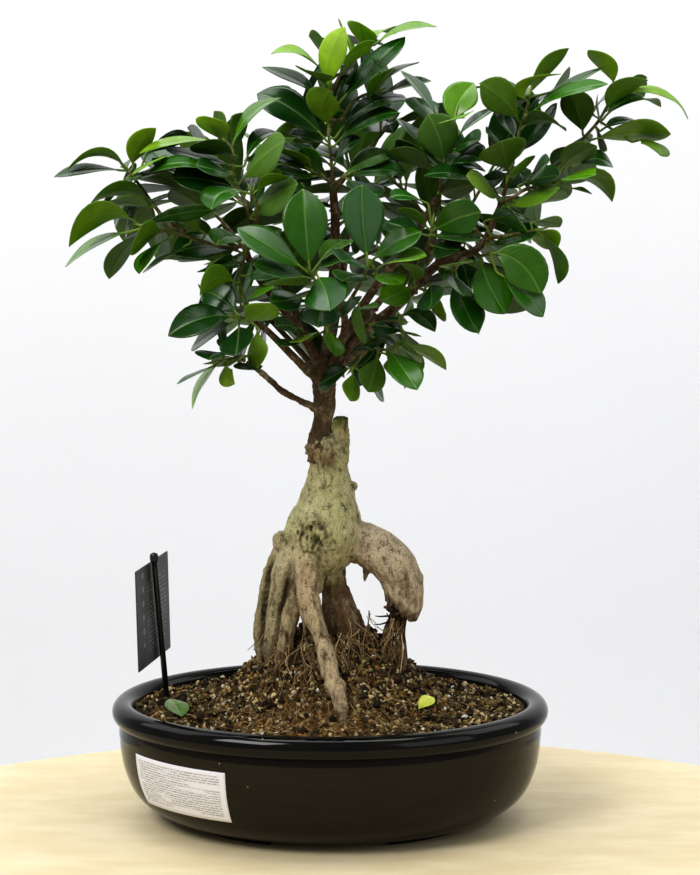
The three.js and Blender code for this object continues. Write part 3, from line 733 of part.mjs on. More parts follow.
    [116.4,-46,374.7,116.8,-44.2,372.7,131.4,-37.3,371.3,138.8,-37.3,364.6,0.43,-0.7,0.57,19.1],
    [122.9,-46,375.9,122,-46,380.5,131.7,-39.3,381,140.8,-34,377.9,0.54,-0.77,0.33,17.9],
    [125.1,-46,376.3,126.3,-46,374.5,137.7,-42.6,360.6,139.2,-42,343.6,0.31,-0.95,0.01,24.9],
    [88,-40,379.8,78.2,-40,389.5,85,-47.3,389.5,92.4,-56,383.6,-0.43,-0.62,0.66,17.7],
  ],
  leafy_twig_front_right_2: [
    [96.2,-49,361.7,96,-49,362.6,114.2,-55.5,357.4,127.5,-57,338.2,-0.61,0,-0.79,25.9],
    [91.5,-44,360.6,91.5,-44,358.2,96.5,-52.2,343.4,106.1,-56,326.1,-0.89,-0.38,-0.26,27.1],
    [97.1,-50,362,101.5,-50,351.1,117.4,-55.4,338.7,129,-56,324.3,-0.51,-0.79,-0.34,25],
    [76.5,-43.9,351.1,77,-43.9,350.9,81.5,-53.4,330.8,90.4,-57.9,314.8,-0.76,-0.65,-0.03,27.1],
    [76.5,-43.6,351.4,74,-43.5,352.1,76.3,-57.6,344.2,80,-69.5,337.6,-0.8,-0.42,0.43,22.8],
    [76.6,-43.3,351.7,71,-43.2,353.3,75.2,-55.7,355,79.8,-69.2,357.8,-0.93,-0.34,-0.13,21.3],
    [91.5,-44,360.6,94,-44.9,340.1,95.6,-49.1,334.2,96.8,-50.8,328.9,-0.21,0.84,-0.5,12.1],
    [75.7,-46,348.6,76.1,-45.5,347.8,84.8,-37.7,334.3,88.8,-29,318.9,0.02,-0.87,-0.49,16.6],
    [89.3,-38.5,361.7,89.9,-38.1,361,106.2,-30.1,342,122.1,-15.9,326.1,-0.79,0.24,-0.57,28.4],
  ],
  leafy_twig_front_centre_4: [
    [27.1,-54,353.7,25.3,-54,357.3,39,-58.2,368.2,55.8,-58,375.3,0.18,-0.85,-0.5,26],
    [28.1,-52.4,352.1,27.8,-52.4,351.8,41.4,-60.5,359.9,58.6,-64.4,361.2,-0.26,-0.91,-0.32,25.3],
    [28.6,-51.6,351.2,26.6,-51.6,350,35.4,-61.8,348.6,44.2,-69.6,344.8,-0.73,-0.64,-0.26,20],
  ],
  leafy_twig_front_right_3: [
    [61.7,-44,375.1,61.7,-44,375.1,75.5,-58.9,383.1,90.8,-62.2,387.3,0.39,-0,-0.92,22.1],
    [61.4,-44,373.2,61.1,-44,373.3,74,-53,372.2,91.8,-58,370.6,-0.42,-0.88,-0.23,24.9],
    [61.9,-44,376.1,61.1,-44,376.3,51.3,-47,384.1,41.5,-52,389.6,-0.44,0.89,-0.11,19.5],
    [61.4,-44,372.7,58.1,-44,373.3,46.1,-38.6,377.4,34.1,-30,380.9,0.55,0.74,0.39,21.9],
    [62.3,-44,378.7,59.8,-44,391.9,46.4,-49.5,396.7,36.7,-52,395.5,-0.26,0.9,0.35,19.3],
    [60.7,-42.1,368.1,61.8,-43.4,367.2,69.9,-50.9,365,77.8,-61.5,364.7,-0.62,-0.47,-0.63,19.1],
    [62.3,-44,378.7,62.8,-43.1,378.7,68.7,-31.2,379,75.3,-19.6,378.1,0.76,-0.4,0.51,13.9],
  ],
  leafy_twig_front_centre_5: [
    [54,-38.6,340.6,50.5,-38.4,342.2,41.8,-47.7,337.8,31.4,-54.4,333.9,-0.65,0.47,0.6,20.3],
    [57.6,-44,340,60.7,-44,344.3,62,-56,336.4,59.9,-66,329.1,-0.79,0.37,-0.5,20.6],
    [57.6,-44,340,58.3,-44,333.9,64.7,-50.4,328.8,70.4,-58,326.2,-0.12,-0.55,0.82,16.4],
    [54.1,-40,341.1,51.7,-40,343.5,50.2,-48.3,352.3,42.7,-58,357.4,-0.77,0.58,0.25,19.2],
  ],
  leafy_twig_low_front_centre_1: [
    [15.2,-32,292.7,13.9,-32,289.6,14.5,-35.2,280.7,12.7,-40,271.9,0.71,0.62,-0.33,16.1],
    [30.4,-48.5,304.8,29.7,-48.5,301.4,27.3,-51.5,290.1,23.6,-56.5,279,0.88,0.31,-0.35,19.2],
    [15.2,-32,292.7,19.5,-32,289,26.9,-29.4,280.8,33.8,-24,270.3,-0.03,-0.91,-0.41,19.5],
    [30.1,-48.4,304.8,29.7,-48.4,302.6,40.6,-50.2,296.1,46,-54.4,280.6,0.1,-0.94,0.33,21.4],
    [34.9,-50,304.1,35.7,-51.8,300.4,37.5,-54.4,293.4,39.8,-61,287.3,0.66,0.7,-0.29,14.3],
    [36.3,-50,304.4,36.3,-52.3,304.1,43.7,-72.8,294.9,52.3,-85.2,282.9,-0.92,-0.35,-0.16,21],
    [40,-50,305.2,40.6,-50,307,56,-44.6,302.9,71.4,-42,291.1,0.35,-0.91,0.21,26],
    [40,-50,305.2,41.8,-50,308.8,47.6,-59.3,304.7,54.5,-70,301.9,-0.43,-0.53,0.73,19.3],
    [25.5,-42,307,19.4,-42,305.8,22.4,-54.4,306.7,25.9,-66,305.2,-0.92,-0.24,-0.31,19.4],
    [15.2,-32,292.7,14.4,-31.4,292.3,3,-22.8,285.9,-7.2,-13.3,278.7,0.07,0.65,0.76,17.4],
  ],
  leafy_twig_low_centre_3: [
    [43.3,-38,320.2,44.5,-38,315.3,50.8,-32.2,306.9,55.9,-28,297.4,0.51,-0.85,-0.15,18.6],
    [42.8,-37.4,320.2,42.7,-37.2,323.2,54.1,-42.7,325.4,64.4,-45.2,314.6,-0.44,-0.83,-0.34,19.3],
    [42,-36.3,320.1,43.3,-35.1,321.9,48.8,-34.5,328,51.4,-29.2,332,0.23,0.75,-0.62,12.8],
    [32.5,-22,319.2,24.5,-22,317.4,34.2,-29.3,316.6,44.6,-34,315.1,-0.47,-0.69,-0.56,18.6],
    [32.5,-22,319.2,25.7,-22,310.5,34.4,-19.1,307.9,42.6,-14,303.8,0.21,-0.85,-0.48,16.4],
  ],
  leafy_twig_back_left_1: [
    [-57.4,79.6,390.3,-58.3,79.7,390.7,-79.9,82.5,400.8,-102.9,83.7,407.9,-0.08,0.9,-0.42,24.2],
    [-58.7,80.7,391.9,-58.5,81.5,392.4,-53.9,103.7,407.5,-46.5,127.2,419.5,0.76,-0.47,0.45,26.9],
    [-60.1,81.7,393.5,-60.6,82.5,393.2,-73.6,99.9,388.3,-86,116.6,379.8,0.8,0.6,0.02,21.2],
    [-61.6,82.5,394.8,-61.8,82.5,395.8,-65.3,82.7,421.2,-66.8,81,446.9,-0.67,-0.74,-0.09,25.2],
    [-63.3,83.2,395.9,-63.5,84.1,396.3,-68,104.7,405.8,-70.1,127.2,411.5,0.86,-0.05,0.51,24.4],
    [-65,83.9,397.1,-65.8,83.7,397.5,-84.4,79.7,409,-105.4,72.7,414,-0.36,0.89,-0.27,22.3],
    [-66.6,84.6,398.2,-66.7,85.2,399.1,-68.2,100.3,422.5,-67,117.8,444.5,0.7,-0.58,0.42,26.1],
    [-68.3,85.3,399.4,-69.1,85.8,399.6,-92,98.6,407.4,-115.2,113.9,406.4,0.53,0.82,0.22,25.2],
    [-69.9,86,400.6,-70.5,86,401.3,-83.9,88.7,421.1,-100.8,84.8,438.3,-0.65,0.56,-0.51,25.4],
    [-53.9,76.8,386,-53.5,76.2,386.7,-49.3,67.9,395.8,-42.6,61.2,404.9,0.36,-0.6,-0.71,14.5],
    [-52.9,76,384.7,-53.7,75.5,384.4,-67.5,66.6,379.4,-79.4,57.2,371,-0.39,0.84,-0.38,16],
    [-69.9,86,400.6,-70.3,85.3,401.2,-79.3,65.3,421.7,-92.2,45.4,440.4,-0.26,0.75,0.61,32],
    [-53.3,76.3,385.3,-53.5,75.5,385.7,-55.4,64.1,391.8,-58.4,52.1,396.1,-0.84,0.36,0.4,14.4],
  ],
  leafy_twig_back_left_2: [
    [-52.8,73.2,363.2,-53.7,73.4,363.1,-81.8,80.5,362.4,-110.5,85.2,358.6,0.21,0.75,-0.63,29.1],
    [-56.7,76,360.6,-56.9,77,360.7,-63.9,101,365.2,-66.9,126.5,362.6,0.85,0.15,0.5,27.6],
    [-61,78.8,358.2,-61.5,79,357.4,-75.1,83.1,335,-86.3,85.5,310.8,0.51,0.85,-0.15,26.3],
    [-65.4,81.6,355.9,-65.3,82.6,355.8,-64.5,102.1,355.3,-62,121.5,352.1,0.84,-0.02,0.55,20.2],
    [-69.5,83.2,354.7,-69.7,84.1,354.2,-76.6,106.1,345.8,-77,127.4,332.6,0.57,0.44,0.7,25.4],
    [-77.6,86,352.7,-78,86.9,352.8,-90.4,111.1,357.9,-98.9,137.7,357,0.76,0.26,0.59,27.1],
    [-77.6,86,352.7,-78,85.3,353.4,-88.1,69.8,369.2,-98,52.1,383,-0.91,0.26,-0.32,23.9],
    [-77.6,86,352.7,-78.3,85.4,353.1,-98,65.1,363.3,-118.6,48.7,378.4,0.74,-0.47,0.49,29],
  ],
  leafy_twig_back_centre_1: [
    [-42.5,82.6,389.1,-41.6,82.9,389.3,-14.8,91.9,399.2,14.9,98.9,398.9,0.22,-0.94,0.25,29.4],
    [-40.7,85.6,393.3,-40.8,86.6,393.5,-45,110.2,398.1,-50.4,134.2,398.6,0.94,0.22,-0.26,24.7],
    [-38.6,88.2,397.7,-38.3,88,398.6,-28.3,81,424.1,-17.7,70.6,448.4,-0.92,-0.26,0.29,27.9],
    [-36.6,90.9,402,-35.7,91.3,402.2,-13.2,103,408,10.3,114.2,410.4,0.39,-0.88,0.25,26.7],
    [-34.6,93.5,406.4,-35.1,93.9,407.1,-47.6,104,426.3,-63.6,114.8,442.4,0.39,0.9,-0.22,24.2],
    [-33.1,94.8,410.1,-32.5,94.5,410.8,-19.9,86.2,430.5,-5.2,73.3,446.2,-0.78,-0.56,0.27,26.7],
    [-31.7,95.9,413.6,-31.4,96.8,413.7,-23.9,118.7,417.1,-17.4,141.3,416.7,0.92,-0.27,-0.27,24.4],
    [-30.3,97,417.1,-30.2,96.9,418.1,-25,96.7,442.2,-28,93,466.8,-0.4,0.91,0.09,23.6],
    [-28.9,98,420.6,-28.1,98.2,421.1,-4.1,104.5,438,24.1,109.3,448.3,0.07,-0.96,0.26,31.6],
    [-40.4,85.9,393.8,-39.9,85.1,394.1,-34,73.2,398.4,-24.1,63.1,400.1,-0.33,-0.46,-0.83,14.4],
  ],
  leafy_twig_back_centre_2: [
    [12.7,95.2,409.2,13.1,95.2,410.1,20.9,96,431.9,30.3,94.2,453.3,-0.8,-0.51,0.31,23.8],
    [12.2,96.7,413.3,11.5,97.3,413.7,-2.9,111.1,425.7,-18.7,128.2,430.3,0.75,0.65,0.14,24.7],
    [11.3,97.7,417.6,11.2,97.4,418.6,9.1,91.4,443.9,10.2,79.4,467.4,-0.89,-0.43,-0.18,27.3],
    [10.4,98.8,422,10.5,99.6,422.6,12.9,117.1,436.7,18.3,138,444.8,0.91,-0.33,0.26,21.7],
  ],
  leafy_twig_back_centre_3: [
    [1.7,92.8,388.4,2,93.8,388.5,7.3,118.4,392.8,18.3,141.7,389.9,0.73,-0.27,0.63,25.5],
    [-0.2,95.3,389.6,-1.1,95.7,389.5,-20.8,104.1,389.8,-40.9,110.3,384.8,0.36,0.85,-0.39,22.9],
    [-2.3,97.5,390.4,-2.3,98.5,390.5,-4,119.2,395,-3.5,140.6,393.4,0.94,0,0.34,23.1],
    [-4.4,99.6,391.1,-4.8,100.3,390.6,-15.5,118.6,377.7,-24.8,135.3,361.9,0.83,0.54,0.08,23.3],
    [-10.9,105.9,393.2,-11.6,106.5,392.9,-30.2,123.6,389.6,-48.1,139.2,379.5,0.68,0.73,-0.08,24.3],
    [-13,108,393.9,-13.4,108.7,394.4,-20.7,120.4,404.7,-26.9,134.6,412.6,0.86,0.08,0.51,17.6],
  ],
  leafy_twig_back_centre_4: [
    [20,94.4,395.5,20.7,95,395.1,42,112,385.3,62.2,127.2,370.5,0.66,-0.74,0.14,30.9],
    [22.8,97.7,397.7,22.5,98.5,398.1,17.1,119,411.6,4.8,140.2,418.8,0.59,0.55,-0.6,23.6],
    [25.6,100.8,399.6,26.1,100.9,400.4,39.6,105.7,420.7,49.6,105,443.7,-0.71,0.62,0.33,25.1],
    [28.5,103.6,400.9,29.2,104.2,400.4,44.8,117.3,393.3,58.5,128.4,380.4,0.66,-0.75,0.05,22.5],
    [31.4,106.4,402.1,31.3,107.1,402.8,30.8,123.3,418.5,27.2,141,432.4,0.61,0.56,-0.56,22.3],
    [34.3,109.2,403.4,35.1,109.6,403.8,56,119.3,416.2,79.8,127.5,424.5,0.15,-0.88,0.45,25],
    [37.1,112,404.6,37.8,112.7,404.6,50.5,126.5,404.1,62.8,140.1,399.6,0.73,-0.68,-0.05,18.5],
    [19.5,93.9,395.2,20.1,93.1,395.5,30.2,79.8,402.4,43.2,67,404.8,-0.58,-0.67,-0.46,17.8],
  ],
  leafy_twig_back_right_1: [
    [90.2,81.2,386.1,90.9,81.8,385.8,106.1,95.8,380.4,120.6,108.4,370.7,0.69,-0.72,0.1,22.5],
    [93.2,83,390.6,93,83.4,391.5,85.7,94.3,418.1,73.7,105.4,443.1,0.14,0.93,-0.35,30.2],
    [96.1,84.4,395.3,95.8,84.4,396.2,92.1,85,413.8,83.6,86.3,429.9,0.14,0.99,-0,18.1],
    [98.9,85.8,399.9,99.3,86.7,399.9,109.7,113.8,402.4,118.8,141.4,396.8,0.92,-0.34,-0.18,30.3],
    [105.8,84,412.4,106.3,84.5,413.1,118.1,95,430,131.1,107.7,444.6,0.78,-0.61,-0.16,24.2],
    [105.8,84,412.4,106.4,83.2,412.3,124,63.3,412.4,139.6,42.7,404.7,-0.73,-0.64,0.24,24.9],
    [81.2,74.2,375.2,81.2,73.2,375,81.3,55.4,370.9,81.2,38.2,364,-1,-0.01,0.03,19.4],
    [105.8,84,412.4,106.1,83.5,413.2,116.8,67.8,436.6,127.9,58.8,463.5,0.93,0.13,-0.34,31.9],
    [81.2,74.2,375.2,81.7,73.4,375.2,91,58.8,374.3,99.2,43.7,371.5,-0.71,-0.48,0.52,16.5],
    [94,83.4,391.9,93.5,82.7,392.4,79.3,61.2,407.9,61.9,41.4,422.5,0.06,0.56,0.83,30],
    [105.8,84,412.4,106.2,83.7,413.3,120.7,78.3,439.1,131.7,65.7,464.6,-0.78,0.36,0.51,31.4],
  ],
  leafy_twig_back_right_2: [
    [69.5,80.4,375.2,69.3,80.4,376.2,65.3,81,397.6,59.2,79,418.7,-0.76,0.63,-0.16,21.1],
    [70.5,84,379.5,70.8,84.9,379.7,78.2,107.2,385.9,85.3,130.6,387.6,0.95,-0.28,-0.16,25.8],
    [71.3,87.1,384,70.7,87.9,384.3,58,107.5,392.6,42.3,127.2,394.7,0.72,0.61,-0.33,25.9],
    [72.1,90.2,388.5,72,90.3,389.5,70.9,93,419.1,63.9,89.4,448.2,-0.74,0.67,-0.09,29.2],
    [72.9,93.4,393.1,73.1,94.4,393,78,115.6,393.1,82.7,136.6,388.6,0.97,-0.22,-0.01,23.3],
    [71.8,95.9,400.2,72.3,96.6,400.7,83.2,112.3,410.9,95.1,128.8,418.5,0.78,-0.62,0.13,21.9],
  ],
  leafy_twig_back_right_3: [
    [86.7,79.2,370.4,86.7,79.9,371.2,88,97.8,390.6,85,116.9,409,0.34,0.68,-0.65,25.2],
    [90.2,82,370.2,91.1,82.2,369.8,111.4,86.4,362.5,129,88.5,349,0.27,-0.94,0.21,20.5],
    [93.8,84.4,370.1,94.3,85.1,369.6,108.6,104.6,359.3,119.6,121.2,341.6,0.77,-0.63,-0.11,26.9],
    [97.3,85.8,370,97.3,86.8,370.3,100.2,104.9,377.4,98.9,124.9,378.8,0.82,0.09,-0.56,18.7],
    [100.8,87.2,370,101.6,87.3,369.5,124.8,90.7,358.4,143.2,92.8,339.6,0.17,-0.98,0.05,25.1],
    [104.3,88.6,370,104.9,89.4,369.8,119.1,110.6,366.1,131.1,132.4,358.8,0.67,-0.54,-0.51,25.8],
    [80.8,74.6,370.8,81.1,74.2,369.9,87.2,62.6,350.4,93.8,55.8,328.6,-0.96,-0.04,-0.28,23.6],
    [89,81.1,370.3,89.2,80.8,369.4,90.5,74.8,348.7,99.2,67.2,330.1,0.29,0.93,-0.25,22.8],
    [96.4,85.4,370.1,96.5,85.2,369.1,100,77.3,340.3,99.2,69.8,311.1,-0.1,-0.96,0.25,30.4],
    [80.8,74.6,370.8,81.3,73.9,370.3,91.5,61.5,363,98,49.7,351.1,-0.6,-0.71,0.37,16.6],
  ],
  leafy_twig_low_back_left_1: [
    [-51,64,323.3,-51.1,65,323.1,-54.1,88.6,318.8,-55,110.9,308.7,0.93,0.18,0.31,24.7],
    [-52.9,66,324.1,-53.8,66.2,323.9,-74.6,72,320.8,-94.8,76.1,312.9,0.29,0.92,-0.27,22.5],
    [-54.8,68,324.9,-54.9,68.8,325.5,-57.1,87.8,342.9,-54.2,111.2,354.5,0.82,-0.33,0.47,24.5],
    [-56.5,69.6,325.8,-56.8,70.5,325.4,-66.7,96.5,315.8,-74.3,121.1,300.7,0.87,0.42,0.25,31.2],
    [-59.8,72.8,327.5,-59.7,73.8,327.8,-57.6,97.8,336,-52.3,122.7,340.6,0.75,-0.27,0.6,27.1],
    [-45.2,58,320.9,-45.6,57.8,320,-55.1,52.7,304.4,-59.6,49.6,285.9,-0.4,0.92,-0.06,19.8],
    [-62.3,75.2,328.7,-63,74.5,328.8,-73.6,63.4,331.1,-84,51.9,328.1,-0.73,0.68,-0.08,17],
    [-59.8,72.8,327.5,-60.6,72.1,327.3,-70.1,63.2,327,-79.1,54.5,322.6,-0.68,0.73,-0.03,13.8],
    [-45.2,58,320.9,-45.1,57.1,320.5,-43.1,38.3,313.4,-44.7,19.3,306.3,0.02,-0.35,0.94,22.4],
    [-62.1,74.9,328.6,-62.5,74.2,329.1,-67.3,65.7,337.9,-73.2,54.8,342.9,-0.89,0.46,-0.05,14.1],
  ],
  leafy_twig_low_back_centre_1: [
    [-36.3,61.6,320.4,-35.8,61.7,321.2,-22.7,65.7,343.3,-6.2,63.9,363.7,-0.67,-0.54,0.5,24.6],
    [-35.5,65.3,322.7,-35,66.2,322.5,-23.5,85.6,319.8,-12,103.9,311.8,0.86,-0.5,0.09,22.8],
    [-34.7,68.9,324.9,-34.9,69.3,325.9,-39.2,79,350.2,-46.9,85.8,375,-0.6,0.7,-0.38,26.4],
    [-33.9,72.2,327.2,-33,72.7,327.3,-12.6,85.9,331.6,9.4,97.6,327.6,0.49,-0.84,0.24,23.2],
    [-33.1,75.5,329.6,-33.1,76.5,329.6,-35.1,102,330.5,-37,127.7,327.7,1,0.08,0.03,27.7],
    [-32.2,78.7,331.9,-32.1,79,332.8,-29.2,88,353.6,-25.9,89.6,376.6,-0.99,-0.02,0.15,24.5],
    [-31.4,82,334.2,-31,82.9,334.2,-22.1,103.5,336.1,-12.5,124,333.2,0.9,-0.4,0.16,21.3],
    [-37.7,55.4,316.7,-37,55.3,316,-14,52.7,296.6,2.6,47.9,271.4,0.11,-0.96,0.25,32.4],
    [-37.3,56.9,317.6,-36.4,56.9,317.2,-23.2,57.2,312.9,-11,57,306.1,0.09,-0.98,0.2,13.3],
    [-37.7,55.4,316.7,-37.1,55,315.9,-17.3,44,295.9,-6.1,31.8,270,-0.13,-0.92,0.38,32.2],
    [-36.9,59.1,318.9,-37.4,59.6,318.2,-45.4,66.2,310.3,-50,73.2,300,0.21,0.85,0.48,13.2],
    [-37.7,55.4,316.7,-36.8,54.8,316.6,-21.5,45.8,317.2,-7.2,35.8,312.1,-0.5,-0.83,0.25,17.2],
    [-37.7,55.4,316.7,-36.9,55.4,316.1,-11.7,58.7,299.9,9,58.3,277.4,0.31,-0.9,0.3,32.2],
    [-36,63.2,321.4,-35,62.9,321.5,-16.9,58,324.7,1.7,53.1,322.9,-0.26,-0.97,-0,21.3],
    [-34.5,69.7,325.4,-35.5,69.6,325.8,-47.4,69,330.9,-60.1,69.9,334.2,0.21,0.79,0.58,13.6],
    [-36,62.9,321.2,-35.3,63.1,320.6,-18.8,68.6,307.3,-3.8,71.5,291.4,0.56,-0.74,0.39,22.8],
  ],
  leafy_twig_back_right_4: [
    [44.6,71.2,324.9,44.6,71.3,325.9,45.2,75,352.7,44.2,76.4,379.8,-0.82,0.57,-0.06,29.4],
    [45.8,73.3,326.2,46.6,73.8,326.3,67.6,85.6,330.2,89.3,96.8,331.7,0.41,-0.84,0.35,26.8],
    [47,75.4,327.5,46.5,76.2,327.6,33.6,102.7,334.5,14.7,126.8,333.5,0.63,0.47,-0.61,28.3],
    [48,77.5,328.9,48.6,77.7,329.7,60,82.2,348.9,75,84.7,366.1,-0.29,-0.88,0.38,21.2],
    [49,79.6,330.4,49.3,80.6,330.3,57,108.8,328,63.2,136.6,319.6,0.94,-0.27,-0.22,28.5],
    [50,81.7,332,49.8,82.2,332.8,45.1,92.7,352.2,37.4,103.5,370.6,0.21,0.88,-0.43,23.9],
    [51,83.8,333.5,51.9,84.2,333.6,76.1,98.3,340.4,103.7,107.9,338.2,0.32,-0.79,0.52,27.9],
    [52,85.9,335.1,52.1,86.9,335.1,55.5,110,339,58.1,133.6,335.1,0.98,-0.13,-0.12,23.8],
    [53,88,336.6,53.3,88.4,337.4,59.5,98.8,356.4,71.6,103.8,375.2,-0.55,-0.64,0.53,24.4],
  ],
  leafy_twig_low_back_centre_2: [
    [38.8,61.2,310.9,39,62.2,311.1,44,81.8,317.3,44.1,103.2,320,0.61,0.09,-0.79,19.4],
    [40.7,63.3,309.9,40.8,64,309.1,44.2,81.2,295.1,41.3,94.8,277,0.65,-0.55,-0.52,24],
    [42.6,65.4,308.8,42.6,66.4,308.9,44,91.3,312,40.7,116.5,311.6,0.6,0.07,-0.8,23.6],
    [46.4,68.4,307.5,46.6,69.1,306.8,52.2,84.4,292.2,55.4,97.3,274.5,0.83,-0.51,-0.22,21.4],
    [48.3,69.8,307,48.2,70.7,306.4,48.7,91.2,295.9,44.6,108.6,280.5,0.79,-0.3,-0.54,25.1],
    [35.5,57.5,312.8,34.6,57.7,312.4,20.1,60.5,306.5,6.2,65.3,300.2,-0.3,0.31,0.9,17.5],
    [35.5,57.5,312.8,35.3,57.2,311.8,31.4,53.6,299.3,30,50.4,286,-0.2,0.96,-0.21,13.2],
    [36.5,58.6,312.2,35.8,59.3,312.5,27.6,68.7,316,17.9,77.1,318.8,0.1,0.42,-0.9,12.4],
    [41.9,64.6,309.2,41.3,64.7,308.4,26.6,64.8,290.8,17.1,70.5,270.2,-0.52,0.73,0.44,21.1],
    [40,62.5,310.3,39.2,62.8,309.7,21.9,68.4,297.6,8.6,80.6,284.4,-0.44,0.4,0.81,21.5],
  ],
  leafy_twig_back_centre_5: [
    [3.1,70.8,348.7,3.4,71.7,349.1,7.2,90.7,358.2,14.3,110.5,363.8,0.72,-0.41,0.55,20.5],
    [0.9,75,348.9,1.1,75.9,348.4,4.1,94.6,337.7,7.9,112.2,325,0.94,0.03,0.33,23.4],
    [-1.2,79.2,349.2,-1.2,79.9,349.9,-1.8,93.7,364.9,3.3,110.5,376,0.65,-0.55,0.53,21.6],
    [-3.5,83.4,350,-3.3,84.4,350,0.6,105.5,349.9,6,126.1,346.1,0.9,-0.16,0.4,22.7],
    [-5.7,87.6,350.8,-6.6,88.1,350.7,-25.3,99.7,348.8,-44.5,110.2,344.8,0.5,0.72,-0.48,21],
    [-8,91.8,351.6,-8,92.7,352.1,-8.7,111.1,366.5,-6.7,133.5,374.4,0.94,-0.18,0.28,24.9],
    [-10.2,96,352.4,-10.3,97,352.2,-12.1,119.1,350.6,-12.1,140.4,343.1,0.96,0.1,0.28,22.8],
    [4.4,68.3,348.6,4.3,68.3,347.6,0.8,68,317.8,2.6,68.6,287.6,-0.16,0.99,0.01,28.9],
  ],
  leafy_twig_back_centre_6: [
    [22,76,357,22.1,76.9,356.7,24.5,103.2,348.6,26.1,127.2,334.4,0.99,-0.12,-0.09,26.4],
    [24.4,79.5,358.1,24.2,80.2,358.8,21.9,94.4,375.5,15.5,110.1,390.2,0.51,0.69,-0.51,24],
    [28.8,86,360.1,28.6,87,360.1,25.5,109.2,361.2,20,131,359,0.79,0.14,-0.6,21.2],
    [30.7,88.8,360.9,30.6,89.5,361.6,30.2,101,374,27,113.4,385.3,0.45,0.66,-0.6,16.2],
    [32.6,91.6,361.8,32.7,92.6,361.6,36,113.5,359.5,36.3,133.2,350.4,0.92,-0.18,-0.36,22.8],
    [34.5,94.4,362.6,34.2,95.3,362.9,28.4,118.6,369.3,18.8,141.7,371.6,0.69,0.35,-0.64,26.2],
  ],
  leafy_twig_inner_centre_1: [
    [-3,29.2,376.8,-2.6,30.1,377,4.7,49.6,381.4,13.6,69,383.1,0.79,-0.4,0.47,21.6],
    [-5.1,32,377.9,-4.8,33,378.1,0.8,52.7,381.9,8,72.5,382.1,0.88,-0.32,0.35,20.3],
    [-12.2,38.3,380.8,-13.1,38,380.6,-41.4,30.9,380.3,-67.6,21,370.1,-0.23,0.92,-0.31,31.5],
    [-17,42,382.5,-17.4,42.9,382.5,-26.3,62.1,382.4,-33.6,81.9,379.8,0.76,0.35,0.54,21.8],
    [20.4,33.8,385,20.3,34.6,385.7,20.4,53.6,404.4,12.9,75.8,418,0.61,0.55,-0.56,24.5],
    [11.3,27.9,381.4,11.2,28.6,380.6,8.9,37.3,371.2,8,45.5,361.1,0.51,0.69,0.51,13.7],
    [14.5,30.4,382.9,14.5,30.9,382,15.6,37.2,370.7,14.8,42.8,358.9,0.45,-0.8,-0.4,14.1],
    [28.6,37.6,387.4,29,37.1,386.7,35.3,30.4,377.4,39.9,25.6,366,-0.73,-0.68,-0,14.5],
  ],
  leafy_twig_inner_centre_2: [
    [-30.8,8,334.4,-31.6,8.4,334.8,-49.2,16.8,346.5,-68.6,25.1,355.6,0.29,0.93,-0.24,22.2],
    [-32.2,12.8,339.5,-32.8,13.6,339.3,-46.8,36.4,335.1,-61.2,58,326.5,0.85,0.49,-0.19,28.3],
    [-36,18.4,345.2,-35.6,19.3,345.6,-30.4,34.1,352.7,-22.9,49.3,356.8,0.73,-0.49,0.48,16.2],
    [-37.9,21.2,348.1,-38.6,21.9,348.1,-56.5,40.4,352.1,-75.6,58.3,347.9,0.69,0.7,-0.17,24.1],
    [-29.5,2,327.8,-30,1.3,327.2,-36.5,-7.2,319.8,-41.7,-15.9,311.6,-0.25,0.74,-0.63,12.4],
    [-30,4.1,330.1,-30.6,4.7,329.5,-40.1,12.7,322,-46.5,20,310.8,0.48,0.83,0.27,14.4],
    [-29.7,2.6,328.5,-28.7,2.8,328.6,-15.9,5.1,330.5,-3.1,7.9,327.9,0.19,-0.97,-0.12,12.1],
  ],
  leafy_twig_inner_right_1: [
    [46.6,28,354.6,46.7,28.5,355.5,49,38.1,372.2,49.5,48.7,388.6,0.44,0.75,-0.5,18.4],
    [49.3,30.3,356,49.1,31.3,356.1,44.5,52.1,358.5,38.1,72.8,358.2,0.8,0.24,-0.54,20],
    [65.6,38,360.7,66.5,38.1,360.3,92.9,41.3,351.6,116.8,43.4,336.4,0.15,-0.98,0.1,26.6],
    [65.6,38,360.7,66.3,38.3,360,73.8,42.8,350.4,83.8,44.8,341.9,0.4,0.67,0.63,13.8],
    [43,24.9,352.8,42.8,24.6,353.7,41,19.6,365.6,39.1,13.4,376.9,-0.99,0.04,-0.14,12.1],
    [65.6,38,360.7,66.2,37.9,359.9,83.8,32.9,336,95.7,30.8,308,-0.39,-0.92,-0.1,30.2],
    [65.6,38,360.7,66.3,38.2,361.4,76.4,41.9,375.4,90.8,46.9,384.9,0.3,-0.95,0.03,17.9],
  ],
  leafy_twig_inner_centre_3: [
    [54.2,14,391.6,53.2,14.2,392,35.4,17.5,398.4,16.7,20.1,402.5,0.05,0.94,-0.34,20],
    [50.1,18.4,397.2,49.4,19.1,397.2,37.9,32.3,397,26.7,45.6,393.9,0.75,0.66,0.08,16.4],
    [47.7,19.8,399.3,47.9,19.6,400.3,51.7,13.4,424.4,58.4,5.4,447.6,-0.58,-0.81,-0.11,24.8],
    [45.4,21.2,401.4,45.4,21.9,402.1,44.7,35.8,420.6,49.5,54,434.8,0.74,-0.52,0.42,24],
    [40.7,24,405.5,40.4,24.7,406.1,34.9,36.5,417,30.1,50.6,425.7,0.93,0.1,0.36,18.4],
    [56.2,11.7,388.7,56.5,12.5,388.3,62.2,23.4,383.9,64.9,34.1,376.4,0.63,-0.55,-0.56,13],
    [40.7,24,405.5,40.2,24.9,405.4,33.9,36.2,404.5,28,47.5,401.7,0.84,0.49,0.22,12],
  ],
  leafy_twig_inner_right_2: [
